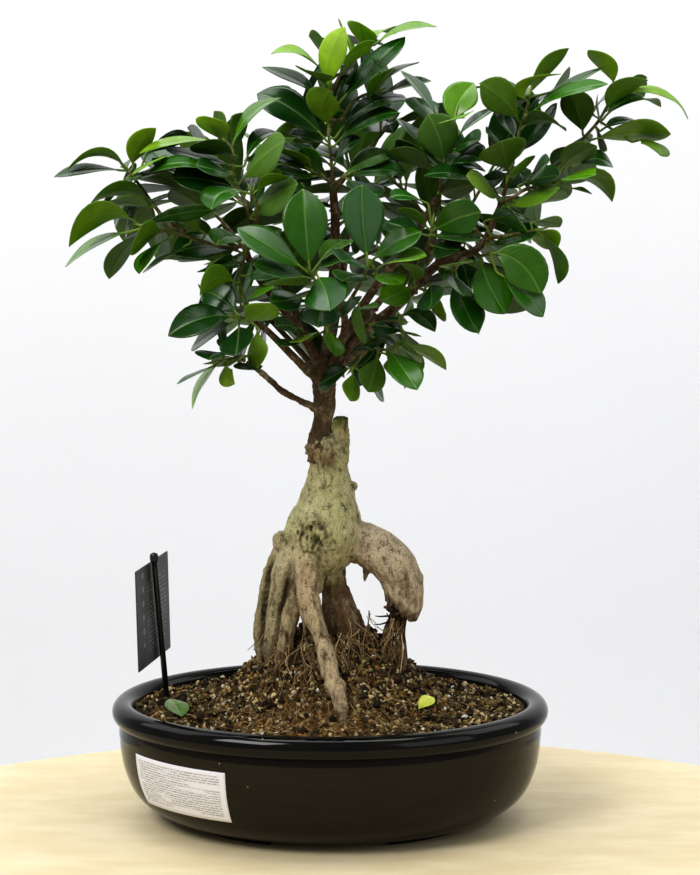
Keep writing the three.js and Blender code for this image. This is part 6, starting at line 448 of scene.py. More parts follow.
        [117.6, -12.8, 437.1, 117.6, -12.8, 437.1, 130.2, -21.6, 443.5, 143.9, -32.8, 435.9, -0.56, -0.76, 0.33, 24.5, 0.4],
        [113.8, -16.7, 421.9, 116.2, -15.9, 421.2, 130.7, -3.5, 438.6, 141.9, 4.1, 454.3, 0.15, 0.79, -0.59, 19.4, 0.1],
        [108.8, -34, 408.8, 111.2, -34, 407.6, 116.4, -44.4, 412.3, 117.8, -56, 419.3, -0.75, -0.47, -0.47, 20, 0.7],
        [111.5, -18.7, 412.5, 111.2, -18.7, 412.6, 102.9, -13.9, 406.5, 93.5, -6.7, 407.8, 0.26, 0.67, 0.7, 17.6, 0.1],
        [123.4, -7, 456.9, 123.3, -6, 456.8, 122, 13.2, 456.7, 121.9, 32.2, 453.2, 0.93, 0.07, 0.36, 19, 0.4],
        [111.9, -21.4, 415.7, 112.4, -21.2, 414.8, 120.3, -19.8, 404.6, 125.4, -17.6, 392.6, -0.12, -0.97, -0.23, 12, 0.2],
        [123.4, -7, 456.9, 122.5, -7.1, 457.2, 108.2, -8.6, 464, 92.2, -10.7, 465.5, -0.14, 0.99, -0.09, 14.8, 0.1],
        [113.3, -17.2, 419.6, 113, -16.2, 419.4, 108.7, -3.8, 417.8, 105.4, 8.9, 415.1, 0.63, 0.31, 0.71, 13.1, 0],
        [123.4, -7, 456.9, 123.1, -6, 457, 115.6, 17.8, 461.2, 108.9, 42.4, 460.9, 0.95, 0.26, 0.19, 27, 0.2],
        [123.4, -7, 456.9, 122.7, -6.3, 457.1, 105.9, 10.1, 464.8, 89.2, 29, 463.7, 0.73, 0.66, 0.19, 23.7, 0],
    ],
    "leafy_twig_right_3": [
        [159.2, 0.8, 433.4, 158, 0.8, 434.4, 154.4, -2, 448.5, 147.4, -7.2, 462.4, -0.82, 0.56, -0.15, 23.2, 1],
        [176.6, 8, 458.8, 177.8, 8, 465, 172.1, 4.1, 477.1, 160.1, -2, 486.5, -0.52, 0.85, -0.03, 22.3, 1.7],
        [172, 6.2, 449.8, 172.8, 6.2, 449.4, 180.1, 1.5, 461, 197, -5.8, 467.9, -0.58, -0.77, 0.26, 24.3, 1.3],
        [176.4, 7.9, 458.5, 177.9, 8.5, 457.6, 208.5, 21.1, 463.1, 226, 17.8, 444.9, -0.07, 0.91, 0.41, 18.1, 1.5],
        [168.6, 4.7, 444.5, 170.1, 3.9, 443.8, 190.6, 19, 457.4, 209.9, 24.8, 452.7, 0.49, -0.86, -0.15, 29.9, 0.6],
        [168.1, 4.5, 443.7, 168.9, 4.5, 443.2, 166.1, -8.2, 448.3, 163.4, -19.5, 453.3, -0.08, 0.4, 0.91, 20.5, 0.1],
        [159.6, 1, 433.9, 162.4, 0.9, 431.4, 188.3, -1, 435.6, 211.6, -7.1, 434.8, -0.17, -0.84, 0.52, 25.5, 0.9],
        [165.3, 3.3, 440.2, 168.8, 3.3, 437, 184.4, 8.5, 443.4, 199.5, 17.3, 441.1, 0.43, -0.88, -0.19, 25.1, 0.2],
        [168, 4.5, 443.5, 188.9, 3, 430.2, 200.8, -5.4, 430, 203.9, -18.7, 421.1, 0.8, 0.59, -0.08, 21.3, 0.9],
        [141.5, -8.3, 412.9, 143, -8.3, 411.5, 150.9, -14.1, 421.2, 164.1, -22.3, 427.1, -0.69, -0.62, 0.38, 22.4, 0.7],
        [146.9, -5.6, 418.7, 150.7, -5.6, 415.2, 166.2, -5, 419.5, 176.7, -1.4, 414.6, 0.13, -0.86, -0.5, 20.3, 0.4],
        [161.5, 1.7, 435.9, 161.4, 2.7, 435.6, 158.5, 28, 428.9, 157.2, 52.7, 419.2, 0.88, 0.21, 0.43, 24.3, 0.2],
        [176.6, 8, 458.8, 177.4, 8.3, 459.3, 187.9, 12.5, 465.8, 199.6, 15.9, 470.6, 0.06, -0.88, 0.47, 13.4, 0.4],
        [168.7, 4.8, 444.6, 168, 5.4, 444.9, 158.3, 12.6, 450, 149.4, 22.3, 451.5, 0.67, 0.53, 0.52, 14, 0.4],
        [165.4, 3.4, 440.3, 165.7, 4.2, 439.7, 170.2, 14.5, 433.1, 171.8, 24.6, 424.8, 0.45, -0.61, -0.65, 13.9, 0.1],
        [142.8, -7.6, 414.4, 142.8, -6.7, 414, 143.3, 16.6, 406.1, 140.5, 37.5, 392.9, 0.87, -0.17, -0.46, 23.6, 0.1],
        [176.6, 8, 458.8, 176.5, 9, 458.7, 172.3, 35.3, 457, 172.1, 61.6, 451.3, 0.69, 0.16, 0.7, 29.6, 0],
        [148.6, -4.8, 420.6, 148.2, -3.9, 420.4, 143.8, 8.3, 418.8, 141, 20.6, 415.1, 0.74, 0.35, 0.58, 13.5, 0.1],
        [150.1, -3.9, 422.5, 150.1, -3, 422.1, 149.8, 12.9, 415.3, 151.1, 28.6, 407.7, 0.41, 0.37, 0.83, 17.3, 0.4],
        [176.6, 8, 458.8, 177.1, 8.9, 458.9, 187.8, 30.5, 462.9, 202.8, 50.2, 460.5, 0.67, -0.44, 0.6, 24.6, 0],
        [131.7, -12.3, 405.5, 131.7, -11.4, 404.9, 129.2, 9.8, 393.1, 133.7, 28.8, 377.6, 0.52, 0.46, 0.72, 26.1, 0],
        [156.4, -0.5, 430.2, 156.4, 0.4, 429.9, 155.5, 28.3, 418.7, 153.4, 54.7, 404.2, 0.94, -0.1, -0.32, 32, 0],
    ],
    "leafy_twig_front_right_1": [
        [99, -40, 371.4, 94, -40.9, 381.1, 109.5, -51.2, 384.2, 118.4, -61.3, 375.4, 0.39, 0.65, -0.65, 24, 0.4],
        [95.7, -34, 370, 97, -34, 366.4, 112.8, -41.1, 372, 127.7, -44, 376.9, -0.12, -0.87, -0.48, 25.1, 0.4],
        [116.4, -46, 374.7, 116.8, -44.2, 372.7, 131.4, -37.3, 371.3, 138.8, -37.3, 364.6, 0.43, -0.7, 0.57, 19.1, 1.1],
        [122.9, -46, 375.9, 122, -46, 380.5, 131.7, -39.3, 381, 140.8, -34, 377.9, 0.54, -0.77, 0.33, 17.9, 0.8],
        [125.1, -46, 376.3, 126.3, -46, 374.5, 137.7, -42.6, 360.6, 139.2, -42, 343.6, 0.31, -0.95, 0.01, 24.9, 0.5],
        [88, -40, 379.8, 78.2, -40, 389.5, 85, -47.3, 389.5, 92.4, -56, 383.6, -0.43, -0.62, 0.66, 17.7, 0.5],
    ],
    "leafy_twig_front_right_2": [
        [96.2, -49, 361.7, 96, -49, 362.6, 114.2, -55.5, 357.4, 127.5, -57, 338.2, -0.61, 0, -0.79, 25.9, 0.85],
        [91.5, -44, 360.6, 91.5, -44, 358.2, 96.5, -52.2, 343.4, 106.1, -56, 326.1, -0.89, -0.38, -0.26, 27.1, 0.75],
        [97.1, -50, 362, 101.5, -50, 351.1, 117.4, -55.4, 338.7, 129, -56, 324.3, -0.51, -0.79, -0.34, 25, 0.5],
        [76.5, -43.9, 351.1, 77, -43.9, 350.9, 81.5, -53.4, 330.8, 90.4, -57.9, 314.8, -0.76, -0.65, -0.03, 27.1, 0.3],
        [76.5, -43.6, 351.4, 74, -43.5, 352.1, 76.3, -57.6, 344.2, 80, -69.5, 337.6, -0.8, -0.42, 0.43, 22.8, 0.2],
        [76.6, -43.3, 351.7, 71, -43.2, 353.3, 75.2, -55.7, 355, 79.8, -69.2, 357.8, -0.93, -0.34, -0.13, 21.3, 1],
        [91.5, -44, 360.6, 94, -44.9, 340.1, 95.6, -49.1, 334.2, 96.8, -50.8, 328.9, -0.21, 0.84, -0.5, 12.1, 0.5],
        [75.7, -46, 348.6, 76.1, -45.5, 347.8, 84.8, -37.7, 334.3, 88.8, -29, 318.9, 0.02, -0.87, -0.49, 16.6, 0],
        [89.3, -38.5, 361.7, 89.9, -38.1, 361, 106.2, -30.1, 342, 122.1, -15.9, 326.1, -0.79, 0.24, -0.57, 28.4, 0.2],
    ],
    "leafy_twig_front_centre_4": [
        [27.1, -54, 353.7, 25.3, -54, 357.3, 39, -58.2, 368.2, 55.8, -58, 375.3, 0.18, -0.85, -0.5, 26, 0.7],
        [28.1, -52.4, 352.1, 27.8, -52.4, 351.8, 41.4, -60.5, 359.9, 58.6, -64.4, 361.2, -0.26, -0.91, -0.32, 25.3, 1.3],
        [28.6, -51.6, 351.2, 26.6, -51.6, 350, 35.4, -61.8, 348.6, 44.2, -69.6, 344.8, -0.73, -0.64, -0.26, 20, 1],
    ],
    "leafy_twig_front_right_3": [
        [61.7, -44, 375.1, 61.7, -44, 375.1, 75.5, -58.9, 383.1, 90.8, -62.2, 387.3, 0.39, -0, -0.92, 22.1, 0.6],
        [61.4, -44, 373.2, 61.1, -44, 373.3, 74, -53, 372.2, 91.8, -58, 370.6, -0.42, -0.88, -0.23, 24.9, 0.5],
        [61.9, -44, 376.1, 61.1, -44, 376.3, 51.3, -47, 384.1, 41.5, -52, 389.6, -0.44, 0.89, -0.11, 19.5, 0.8],
        [61.4, -44, 372.7, 58.1, -44, 373.3, 46.1, -38.6, 377.4, 34.1, -30, 380.9, 0.55, 0.74, 0.39, 21.9, 0.05],
        [62.3, -44, 378.7, 59.8, -44, 391.9, 46.4, -49.5, 396.7, 36.7, -52, 395.5, -0.26, 0.9, 0.35, 19.3, 0.3],
        [60.7, -42.1, 368.1, 61.8, -43.4, 367.2, 69.9, -50.9, 365, 77.8, -61.5, 364.7, -0.62, -0.47, -0.63, 19.1, 0.05],
        [62.3, -44, 378.7, 62.8, -43.1, 378.7, 68.7, -31.2, 379, 75.3, -19.6, 378.1, 0.76, -0.4, 0.51, 13.9, 0.1],
    ],
    "leafy_twig_front_centre_5": [
        [54, -38.6, 340.6, 50.5, -38.4, 342.2, 41.8, -47.7, 337.8, 31.4, -54.4, 333.9, -0.65, 0.47, 0.6, 20.3, 1.1],
        [57.6, -44, 340, 60.7, -44, 344.3, 62, -56, 336.4, 59.9, -66, 329.1, -0.79, 0.37, -0.5, 20.6, 0.1],
        [57.6, -44, 340, 58.3, -44, 333.9, 64.7, -50.4, 328.8, 70.4, -58, 326.2, -0.12, -0.55, 0.82, 16.4, 1],
        [54.1, -40, 341.1, 51.7, -40, 343.5, 50.2, -48.3, 352.3, 42.7, -58, 357.4, -0.77, 0.58, 0.25, 19.2, 0.8],
    ],
    "leafy_twig_low_front_centre_1": [
        [15.2, -32, 292.7, 13.9, -32, 289.6, 14.5, -35.2, 280.7, 12.7, -40, 271.9, 0.71, 0.62, -0.33, 16.1, 1.1],
        [30.4, -48.5, 304.8, 29.7, -48.5, 301.4, 27.3, -51.5, 290.1, 23.6, -56.5, 279, 0.88, 0.31, -0.35, 19.2, 0.8],
        [15.2, -32, 292.7, 19.5, -32, 289, 26.9, -29.4, 280.8, 33.8, -24, 270.3, -0.03, -0.91, -0.41, 19.5, 0.4],
        [30.1, -48.4, 304.8, 29.7, -48.4, 302.6, 40.6, -50.2, 296.1, 46, -54.4, 280.6, 0.1, -0.94, 0.33, 21.4, 1.3],
        [34.9, -50, 304.1, 35.7, -51.8, 300.4, 37.5, -54.4, 293.4, 39.8, -61, 287.3, 0.66, 0.7, -0.29, 14.3, 1.2],
        [36.3, -50, 304.4, 36.3, -52.3, 304.1, 43.7, -72.8, 294.9, 52.3, -85.2, 282.9, -0.92, -0.35, -0.16, 21, 0.8],
        [40, -50, 305.2, 40.6, -50, 307, 56, -44.6, 302.9, 71.4, -42, 291.1, 0.35, -0.91, 0.21, 26, 1.1],
        [40, -50, 305.2, 41.8, -50, 308.8, 47.6, -59.3, 304.7, 54.5, -70, 301.9, -0.43, -0.53, 0.73, 19.3, 0.9],
        [25.5, -42, 307, 19.4, -42, 305.8, 22.4, -54.4, 306.7, 25.9, -66, 305.2, -0.92, -0.24, -0.31, 19.4, 0.3],
        [15.2, -32, 292.7, 14.4, -31.4, 292.3, 3, -22.8, 285.9, -7.2, -13.3, 278.7, 0.07, 0.65, 0.76, 17.4, 0],
    ],
    "leafy_twig_low_centre_3": [
        [43.3, -38, 320.2, 44.5, -38, 315.3, 50.8, -32.2, 306.9, 55.9, -28, 297.4, 0.51, -0.85, -0.15, 18.6, 0.6],
        [42.8, -37.4, 320.2, 42.7, -37.2, 323.2, 54.1, -42.7, 325.4, 64.4, -45.2, 314.6, -0.44, -0.83, -0.34, 19.3, 0.5],
        [42, -36.3, 320.1, 43.3, -35.1, 321.9, 48.8, -34.5, 328, 51.4, -29.2, 332, 0.23, 0.75, -0.62, 12.8, 1.2],
        [32.5, -22, 319.2, 24.5, -22, 317.4, 34.2, -29.3, 316.6, 44.6, -34, 315.1, -0.47, -0.69, -0.56, 18.6, 0.05],
        [32.5, -22, 319.2, 25.7, -22, 310.5, 34.4, -19.1, 307.9, 42.6, -14, 303.8, 0.21, -0.85, -0.48, 16.4, 0.2],
    ],
    "leafy_twig_back_left_1": [
        [-57.4, 79.6, 390.3, -58.3, 79.7, 390.7, -79.9, 82.5, 400.8, -102.9, 83.7, 407.9, -0.08, 0.9, -0.42, 24.2, 0.1],
        [-58.7, 80.7, 391.9, -58.5, 81.5, 392.4, -53.9, 103.7, 407.5, -46.5, 127.2, 419.5, 0.76, -0.47, 0.45, 26.9, 0],
        [-60.1, 81.7, 393.5, -60.6, 82.5, 393.2, -73.6, 99.9, 388.3, -86, 116.6, 379.8, 0.8, 0.6, 0.02, 21.2, 0.8],
        [-61.6, 82.5, 394.8, -61.8, 82.5, 395.8, -65.3, 82.7, 421.2, -66.8, 81, 446.9, -0.67, -0.74, -0.09, 25.2, 0],
        [-63.3, 83.2, 395.9, -63.5, 84.1, 396.3, -68, 104.7, 405.8, -70.1, 127.2, 411.5, 0.86, -0.05, 0.51, 24.4, 0.3],
        [-65, 83.9, 397.1, -65.8, 83.7, 397.5, -84.4, 79.7, 409, -105.4, 72.7, 414, -0.36, 0.89, -0.27, 22.3, 0.8],
        [-66.6, 84.6, 398.2, -66.7, 85.2, 399.1, -68.2, 100.3, 422.5, -67, 117.8, 444.5, 0.7, -0.58, 0.42, 26.1, 0.3],
        [-68.3, 85.3, 399.4, -69.1, 85.8, 399.6, -92, 98.6, 407.4, -115.2, 113.9, 406.4, 0.53, 0.82, 0.22, 25.2, 0],
        [-69.9, 86, 400.6, -70.5, 86, 401.3, -83.9, 88.7, 421.1, -100.8, 84.8, 438.3, -0.65, 0.56, -0.51, 25.4, 0.8],
        [-53.9, 76.8, 386, -53.5, 76.2, 386.7, -49.3, 67.9, 395.8, -42.6, 61.2, 404.9, 0.36, -0.6, -0.71, 14.5, 0],
        [-52.9, 76, 384.7, -53.7, 75.5, 384.4, -67.5, 66.6, 379.4, -79.4, 57.2, 371, -0.39, 0.84, -0.38, 16, 0.4],
        [-69.9, 86, 400.6, -70.3, 85.3, 401.2, -79.3, 65.3, 421.7, -92.2, 45.4, 440.4, -0.26, 0.75, 0.61, 32, 0],
        [-53.3, 76.3, 385.3, -53.5, 75.5, 385.7, -55.4, 64.1, 391.8, -58.4, 52.1, 396.1, -0.84, 0.36, 0.4, 14.4, 0.4],
    ],
    "leafy_twig_back_left_2": [
        [-52.8, 73.2, 363.2, -53.7, 73.4, 363.1, -81.8, 80.5, 362.4, -110.5, 85.2, 358.6, 0.21, 0.75, -0.63, 29.1, 0.8],
        [-56.7, 76, 360.6, -56.9, 77, 360.7, -63.9, 101, 365.2, -66.9, 126.5, 362.6, 0.85, 0.15, 0.5, 27.6, 0.8],
        [-61, 78.8, 358.2, -61.5, 79, 357.4, -75.1, 83.1, 335, -86.3, 85.5, 310.8, 0.51, 0.85, -0.15, 26.3, 0.3],
        [-65.4, 81.6, 355.9, -65.3, 82.6, 355.8, -64.5, 102.1, 355.3, -62, 121.5, 352.1, 0.84, -0.02, 0.55, 20.2, 0.5],
        [-69.5, 83.2, 354.7, -69.7, 84.1, 354.2, -76.6, 106.1, 345.8, -77, 127.4, 332.6, 0.57, 0.44, 0.7, 25.4, 0.5],
        [-77.6, 86, 352.7, -78, 86.9, 352.8, -90.4, 111.1, 357.9, -98.9, 137.7, 357, 0.76, 0.26, 0.59, 27.1, 0.1],
        [-77.6, 86, 352.7, -78, 85.3, 353.4, -88.1, 69.8, 369.2, -98, 52.1, 383, -0.91, 0.26, -0.32, 23.9, 0.1],
        [-77.6, 86, 352.7, -78.3, 85.4, 353.1, -98, 65.1, 363.3, -118.6, 48.7, 378.4, 0.74, -0.47, 0.49, 29, 0],
    ],
    "leafy_twig_back_centre_1": [
        [-42.5, 82.6, 389.1, -41.6, 82.9, 389.3, -14.8, 91.9, 399.2, 14.9, 98.9, 398.9, 0.22, -0.94, 0.25, 29.4, 0.5],
        [-40.7, 85.6, 393.3, -40.8, 86.6, 393.5, -45, 110.2, 398.1, -50.4, 134.2, 398.6, 0.94, 0.22, -0.26, 24.7, 0.8],
        [-38.6, 88.2, 397.7, -38.3, 88, 398.6, -28.3, 81, 424.1, -17.7, 70.6, 448.4, -0.92, -0.26, 0.29, 27.9, 0.5],
        [-36.6, 90.9, 402, -35.7, 91.3, 402.2, -13.2, 103, 408, 10.3, 114.2, 410.4, 0.39, -0.88, 0.25, 26.7, 0],
        [-34.6, 93.5, 406.4, -35.1, 93.9, 407.1, -47.6, 104, 426.3, -63.6, 114.8, 442.4, 0.39, 0.9, -0.22, 24.2, 0.8],
        [-33.1, 94.8, 410.1, -32.5, 94.5, 410.8, -19.9, 86.2, 430.5, -5.2, 73.3, 446.2, -0.78, -0.56, 0.27, 26.7, 0.3],
        [-31.7, 95.9, 413.6, -31.4, 96.8, 413.7, -23.9, 118.7, 417.1, -17.4, 141.3, 416.7, 0.92, -0.27, -0.27, 24.4, 0.3],
        [-30.3, 97, 417.1, -30.2, 96.9, 418.1, -25, 96.7, 442.2, -28, 93, 466.8, -0.4, 0.91, 0.09, 23.6, 0.8],
        [-28.9, 98, 420.6, -28.1, 98.2, 421.1, -4.1, 104.5, 438, 24.1, 109.3, 448.3, 0.07, -0.96, 0.26, 31.6, 0],
        [-40.4, 85.9, 393.8, -39.9, 85.1, 394.1, -34, 73.2, 398.4, -24.1, 63.1, 400.1, -0.33, -0.46, -0.83, 14.4, 0.1],
    ],
    "leafy_twig_back_centre_2": [
        [12.7, 95.2, 409.2, 13.1, 95.2, 410.1, 20.9, 96, 431.9, 30.3, 94.2, 453.3, -0.8, -0.51, 0.31, 23.8, 0.5],
        [12.2, 96.7, 413.3, 11.5, 97.3, 413.7, -2.9, 111.1, 425.7, -18.7, 128.2, 430.3, 0.75, 0.65, 0.14, 24.7, 0.5],
        [11.3, 97.7, 417.6, 11.2, 97.4, 418.6, 9.1, 91.4, 443.9, 10.2, 79.4, 467.4, -0.89, -0.43, -0.18, 27.3, 0.1],
        [10.4, 98.8, 422, 10.5, 99.6, 422.6, 12.9, 117.1, 436.7, 18.3, 138, 444.8, 0.91, -0.33, 0.26, 21.7, 0.5],
    ],
    "leafy_twig_back_centre_3": [
        [1.7, 92.8, 388.4, 2, 93.8, 388.5, 7.3, 118.4, 392.8, 18.3, 141.7, 389.9, 0.73, -0.27, 0.63, 25.5, 0.5],
        [-0.2, 95.3, 389.6, -1.1, 95.7, 389.5, -20.8, 104.1, 389.8, -40.9, 110.3, 384.8, 0.36, 0.85, -0.39, 22.9, 0.8],
        [-2.3, 97.5, 390.4, -2.3, 98.5, 390.5, -4, 119.2, 395, -3.5, 140.6, 393.4, 0.94, 0, 0.34, 23.1, 0.5],
        [-4.4, 99.6, 391.1, -4.8, 100.3, 390.6, -15.5, 118.6, 377.7, -24.8, 135.3, 361.9, 0.83, 0.54, 0.08, 23.3, 0],
        [-10.9, 105.9, 393.2, -11.6, 106.5, 392.9, -30.2, 123.6, 389.6, -48.1, 139.2, 379.5, 0.68, 0.73, -0.08, 24.3, 0],
        [-13, 108, 393.9, -13.4, 108.7, 394.4, -20.7, 120.4, 404.7, -26.9, 134.6, 412.6, 0.86, 0.08, 0.51, 17.6, 0.8],
    ],
    "leafy_twig_back_centre_4": [
        [20, 94.4, 395.5, 20.7, 95, 395.1, 42, 112, 385.3, 62.2, 127.2, 370.5, 0.66, -0.74, 0.14, 30.9, 0.5],
        [22.8, 97.7, 397.7, 22.5, 98.5, 398.1, 17.1, 119, 411.6, 4.8, 140.2, 418.8, 0.59, 0.55, -0.6, 23.6, 0.8],
        [25.6, 100.8, 399.6, 26.1, 100.9, 400.4, 39.6, 105.7, 420.7, 49.6, 105, 443.7, -0.71, 0.62, 0.33, 25.1, 0.1],
        [28.5, 103.6, 400.9, 29.2, 104.2, 400.4, 44.8, 117.3, 393.3, 58.5, 128.4, 380.4, 0.66, -0.75, 0.05, 22.5, 0.5],
        [31.4, 106.4, 402.1, 31.3, 107.1, 402.8, 30.8, 123.3, 418.5, 27.2, 141, 432.4, 0.61, 0.56, -0.56, 22.3, 0.1],
        [34.3, 109.2, 403.4, 35.1, 109.6, 403.8, 56, 119.3, 416.2, 79.8, 127.5, 424.5, 0.15, -0.88, 0.45, 25, 0],
        [37.1, 112, 404.6, 37.8, 112.7, 404.6, 50.5, 126.5, 404.1, 62.8, 140.1, 399.6, 0.73, -0.68, -0.05, 18.5, 0.8],
        [19.5, 93.9, 395.2, 20.1, 93.1, 395.5, 30.2, 79.8, 402.4, 43.2, 67, 404.8, -0.58, -0.67, -0.46, 17.8, 0.1],
    ],
    "leafy_twig_back_right_1": [
        [90.2, 81.2, 386.1, 90.9, 81.8, 385.8, 106.1, 95.8, 380.4, 120.6, 108.4, 370.7, 0.69, -0.72, 0.1, 22.5, 0.5],
        [93.2, 83, 390.6, 93, 83.4, 391.5, 85.7, 94.3, 418.1, 73.7, 105.4, 443.1, 0.14, 0.93, -0.35, 30.2, 0.1],
        [96.1, 84.4, 395.3, 95.8, 84.4, 396.2, 92.1, 85, 413.8, 83.6, 86.3, 429.9, 0.14, 0.99, -0, 18.1, 0.5],
        [98.9, 85.8, 399.9, 99.3, 86.7, 399.9, 109.7, 113.8, 402.4, 118.8, 141.4, 396.8, 0.92, -0.34, -0.18, 30.3, 0.1],
        [105.8, 84, 412.4, 106.3, 84.5, 413.1, 118.1, 95, 430, 131.1, 107.7, 444.6, 0.78, -0.61, -0.16, 24.2, 0.3],
        [105.8, 84, 412.4, 106.4, 83.2, 412.3, 124, 63.3, 412.4, 139.6, 42.7, 404.7, -0.73, -0.64, 0.24, 24.9, 0.4],
        [81.2, 74.2, 375.2, 81.2, 73.2, 375, 81.3, 55.4, 370.9, 81.2, 38.2, 364, -1, -0.01, 0.03, 19.4, 0],
        [105.8, 84, 412.4, 106.1, 83.5, 413.2, 116.8, 67.8, 436.6, 127.9, 58.8, 463.5, 0.93, 0.13, -0.34, 31.9, 0.2],
        [81.2, 74.2, 375.2, 81.7, 73.4, 375.2, 91, 58.8, 374.3, 99.2, 43.7, 371.5, -0.71, -0.48, 0.52, 16.5, 0.2],
        [94, 83.4, 391.9, 93.5, 82.7, 392.4, 79.3, 61.2, 407.9, 61.9, 41.4, 422.5, 0.06, 0.56, 0.83, 30, 0.2],
        [105.8, 84, 412.4, 106.2, 83.7, 413.3, 120.7, 78.3, 439.1, 131.7, 65.7, 464.6, -0.78, 0.36, 0.51, 31.4, 0],
    ],
    "leafy_twig_back_right_2": [
        [69.5, 80.4, 375.2, 69.3, 80.4, 376.2, 65.3, 81, 397.6, 59.2, 79, 418.7, -0.76, 0.63, -0.16, 21.1, 0.5],
        [70.5, 84, 379.5, 70.8, 84.9, 379.7, 78.2, 107.2, 385.9, 85.3, 130.6, 387.6, 0.95, -0.28, -0.16, 25.8, 0.1],
        [71.3, 87.1, 384, 70.7, 87.9, 384.3, 58, 107.5, 392.6, 42.3, 127.2, 394.7, 0.72, 0.61, -0.33, 25.9, 0.3],
        [72.1, 90.2, 388.5, 72, 90.3, 389.5, 70.9, 93, 419.1, 63.9, 89.4, 448.2, -0.74, 0.67, -0.09, 29.2, 0.8],
        [72.9, 93.4, 393.1, 73.1, 94.4, 393, 78, 115.6, 393.1, 82.7, 136.6, 388.6, 0.97, -0.22, -0.01, 23.3, 0.1],
        [71.8, 95.9, 400.2, 72.3, 96.6, 400.7, 83.2, 112.3, 410.9, 95.1, 128.8, 418.5, 0.78, -0.62, 0.13, 21.9, 0.1],
    ],
    "leafy_twig_back_right_3": [
        [86.7, 79.2, 370.4, 86.7, 79.9, 371.2, 88, 97.8, 390.6, 85, 116.9, 409, 0.34, 0.68, -0.65, 25.2, 0.5],
        [90.2, 82, 370.2, 91.1, 82.2, 369.8, 111.4, 86.4, 362.5, 129, 88.5, 349, 0.27, -0.94, 0.21, 20.5, 0],
        [93.8, 84.4, 370.1, 94.3, 85.1, 369.6, 108.6, 104.6, 359.3, 119.6, 121.2, 341.6, 0.77, -0.63, -0.11, 26.9, 0.1],
        [97.3, 85.8, 370, 97.3, 86.8, 370.3, 100.2, 104.9, 377.4, 98.9, 124.9, 378.8, 0.82, 0.09, -0.56, 18.7, 0],
        [100.8, 87.2, 370, 101.6, 87.3, 369.5, 124.8, 90.7, 358.4, 143.2, 92.8, 339.6, 0.17, -0.98, 0.05, 25.1, 0],
        [104.3, 88.6, 370, 104.9, 89.4, 369.8, 119.1, 110.6, 366.1, 131.1, 132.4, 358.8, 0.67, -0.54, -0.51, 25.8, 0.5],
        [80.8, 74.6, 370.8, 81.1, 74.2, 369.9, 87.2, 62.6, 350.4, 93.8, 55.8, 328.6, -0.96, -0.04, -0.28, 23.6, 0.1],
        [89, 81.1, 370.3, 89.2, 80.8, 369.4, 90.5, 74.8, 348.7, 99.2, 67.2, 330.1, 0.29, 0.93, -0.25, 22.8, 0],
        [96.4, 85.4, 370.1, 96.5, 85.2, 369.1, 100, 77.3, 340.3, 99.2, 69.8, 311.1, -0.1, -0.96, 0.25, 30.4, 0.1],
        [80.8, 74.6, 370.8, 81.3, 73.9, 370.3, 91.5, 61.5, 363, 98, 49.7, 351.1, -0.6, -0.71, 0.37, 16.6, 0.4],
    ],
    "leafy_twig_low_back_left_1": [
        [-51, 64, 323.3, -51.1, 65, 323.1, -54.1, 88.6, 318.8, -55, 110.9, 308.7, 0.93, 0.18, 0.31, 24.7, 0.3],
        [-52.9, 66, 324.1, -53.8, 66.2, 323.9, -74.6, 72, 320.8, -94.8, 76.1, 312.9, 0.29, 0.92, -0.27, 22.5, 0.5],
        [-54.8, 68, 324.9, -54.9, 68.8, 325.5, -57.1, 87.8, 342.9, -54.2, 111.2, 354.5, 0.82, -0.33, 0.47, 24.5, 0.5],
        [-56.5, 69.6, 325.8, -56.8, 70.5, 325.4, -66.7, 96.5, 315.8, -74.3, 121.1, 300.7, 0.87, 0.42, 0.25, 31.2, 0.8],
        [-59.8, 72.8, 327.5, -59.7, 73.8, 327.8, -57.6, 97.8, 336, -52.3, 122.7, 340.6, 0.75, -0.27, 0.6, 27.1, 0.8],
        [-45.2, 58, 320.9, -45.6, 57.8, 320, -55.1, 52.7, 304.4, -59.6, 49.6, 285.9, -0.4, 0.92, -0.06, 19.8, 0.2],
        [-62.3, 75.2, 328.7, -63, 74.5, 328.8, -73.6, 63.4, 331.1, -84, 51.9, 328.1, -0.73, 0.68, -0.08, 17, 0],
        [-59.8, 72.8, 327.5, -60.6, 72.1, 327.3, -70.1, 63.2, 327, -79.1, 54.5, 322.6, -0.68, 0.73, -0.03, 13.8, 0],
        [-45.2, 58, 320.9, -45.1, 57.1, 320.5, -43.1, 38.3, 313.4, -44.7, 19.3, 306.3, 0.02, -0.35, 0.94, 22.4, 0.1],
        [-62.1, 74.9, 328.6, -62.5, 74.2, 329.1, -67.3, 65.7, 337.9, -73.2, 54.8, 342.9, -0.89, 0.46, -0.05, 14.1, 0],
    ],
    "leafy_twig_low_back_centre_1": [
        [-36.3, 61.6, 320.4, -35.8, 61.7, 321.2, -22.7, 65.7, 343.3, -6.2, 63.9, 363.7, -0.67, -0.54, 0.5, 24.6, 0.3],
        [-35.5, 65.3, 322.7, -35, 66.2, 322.5, -23.5, 85.6, 319.8, -12, 103.9, 311.8, 0.86, -0.5, 0.09, 22.8, 0.5],
        [-34.7, 68.9, 324.9, -34.9, 69.3, 325.9, -39.2, 79, 350.2, -46.9, 85.8, 375, -0.6, 0.7, -0.38, 26.4, 0.3],
        [-33.9, 72.2, 327.2, -33, 72.7, 327.3, -12.6, 85.9, 331.6, 9.4, 97.6, 327.6, 0.49, -0.84, 0.24, 23.2, 0.3],
        [-33.1, 75.5, 329.6, -33.1, 76.5, 329.6, -35.1, 102, 330.5, -37, 127.7, 327.7, 1, 0.08, 0.03, 27.7, 0.1],
        [-32.2, 78.7, 331.9, -32.1, 79, 332.8, -29.2, 88, 353.6, -25.9, 89.6, 376.6, -0.99, -0.02, 0.15, 24.5, 0.5],
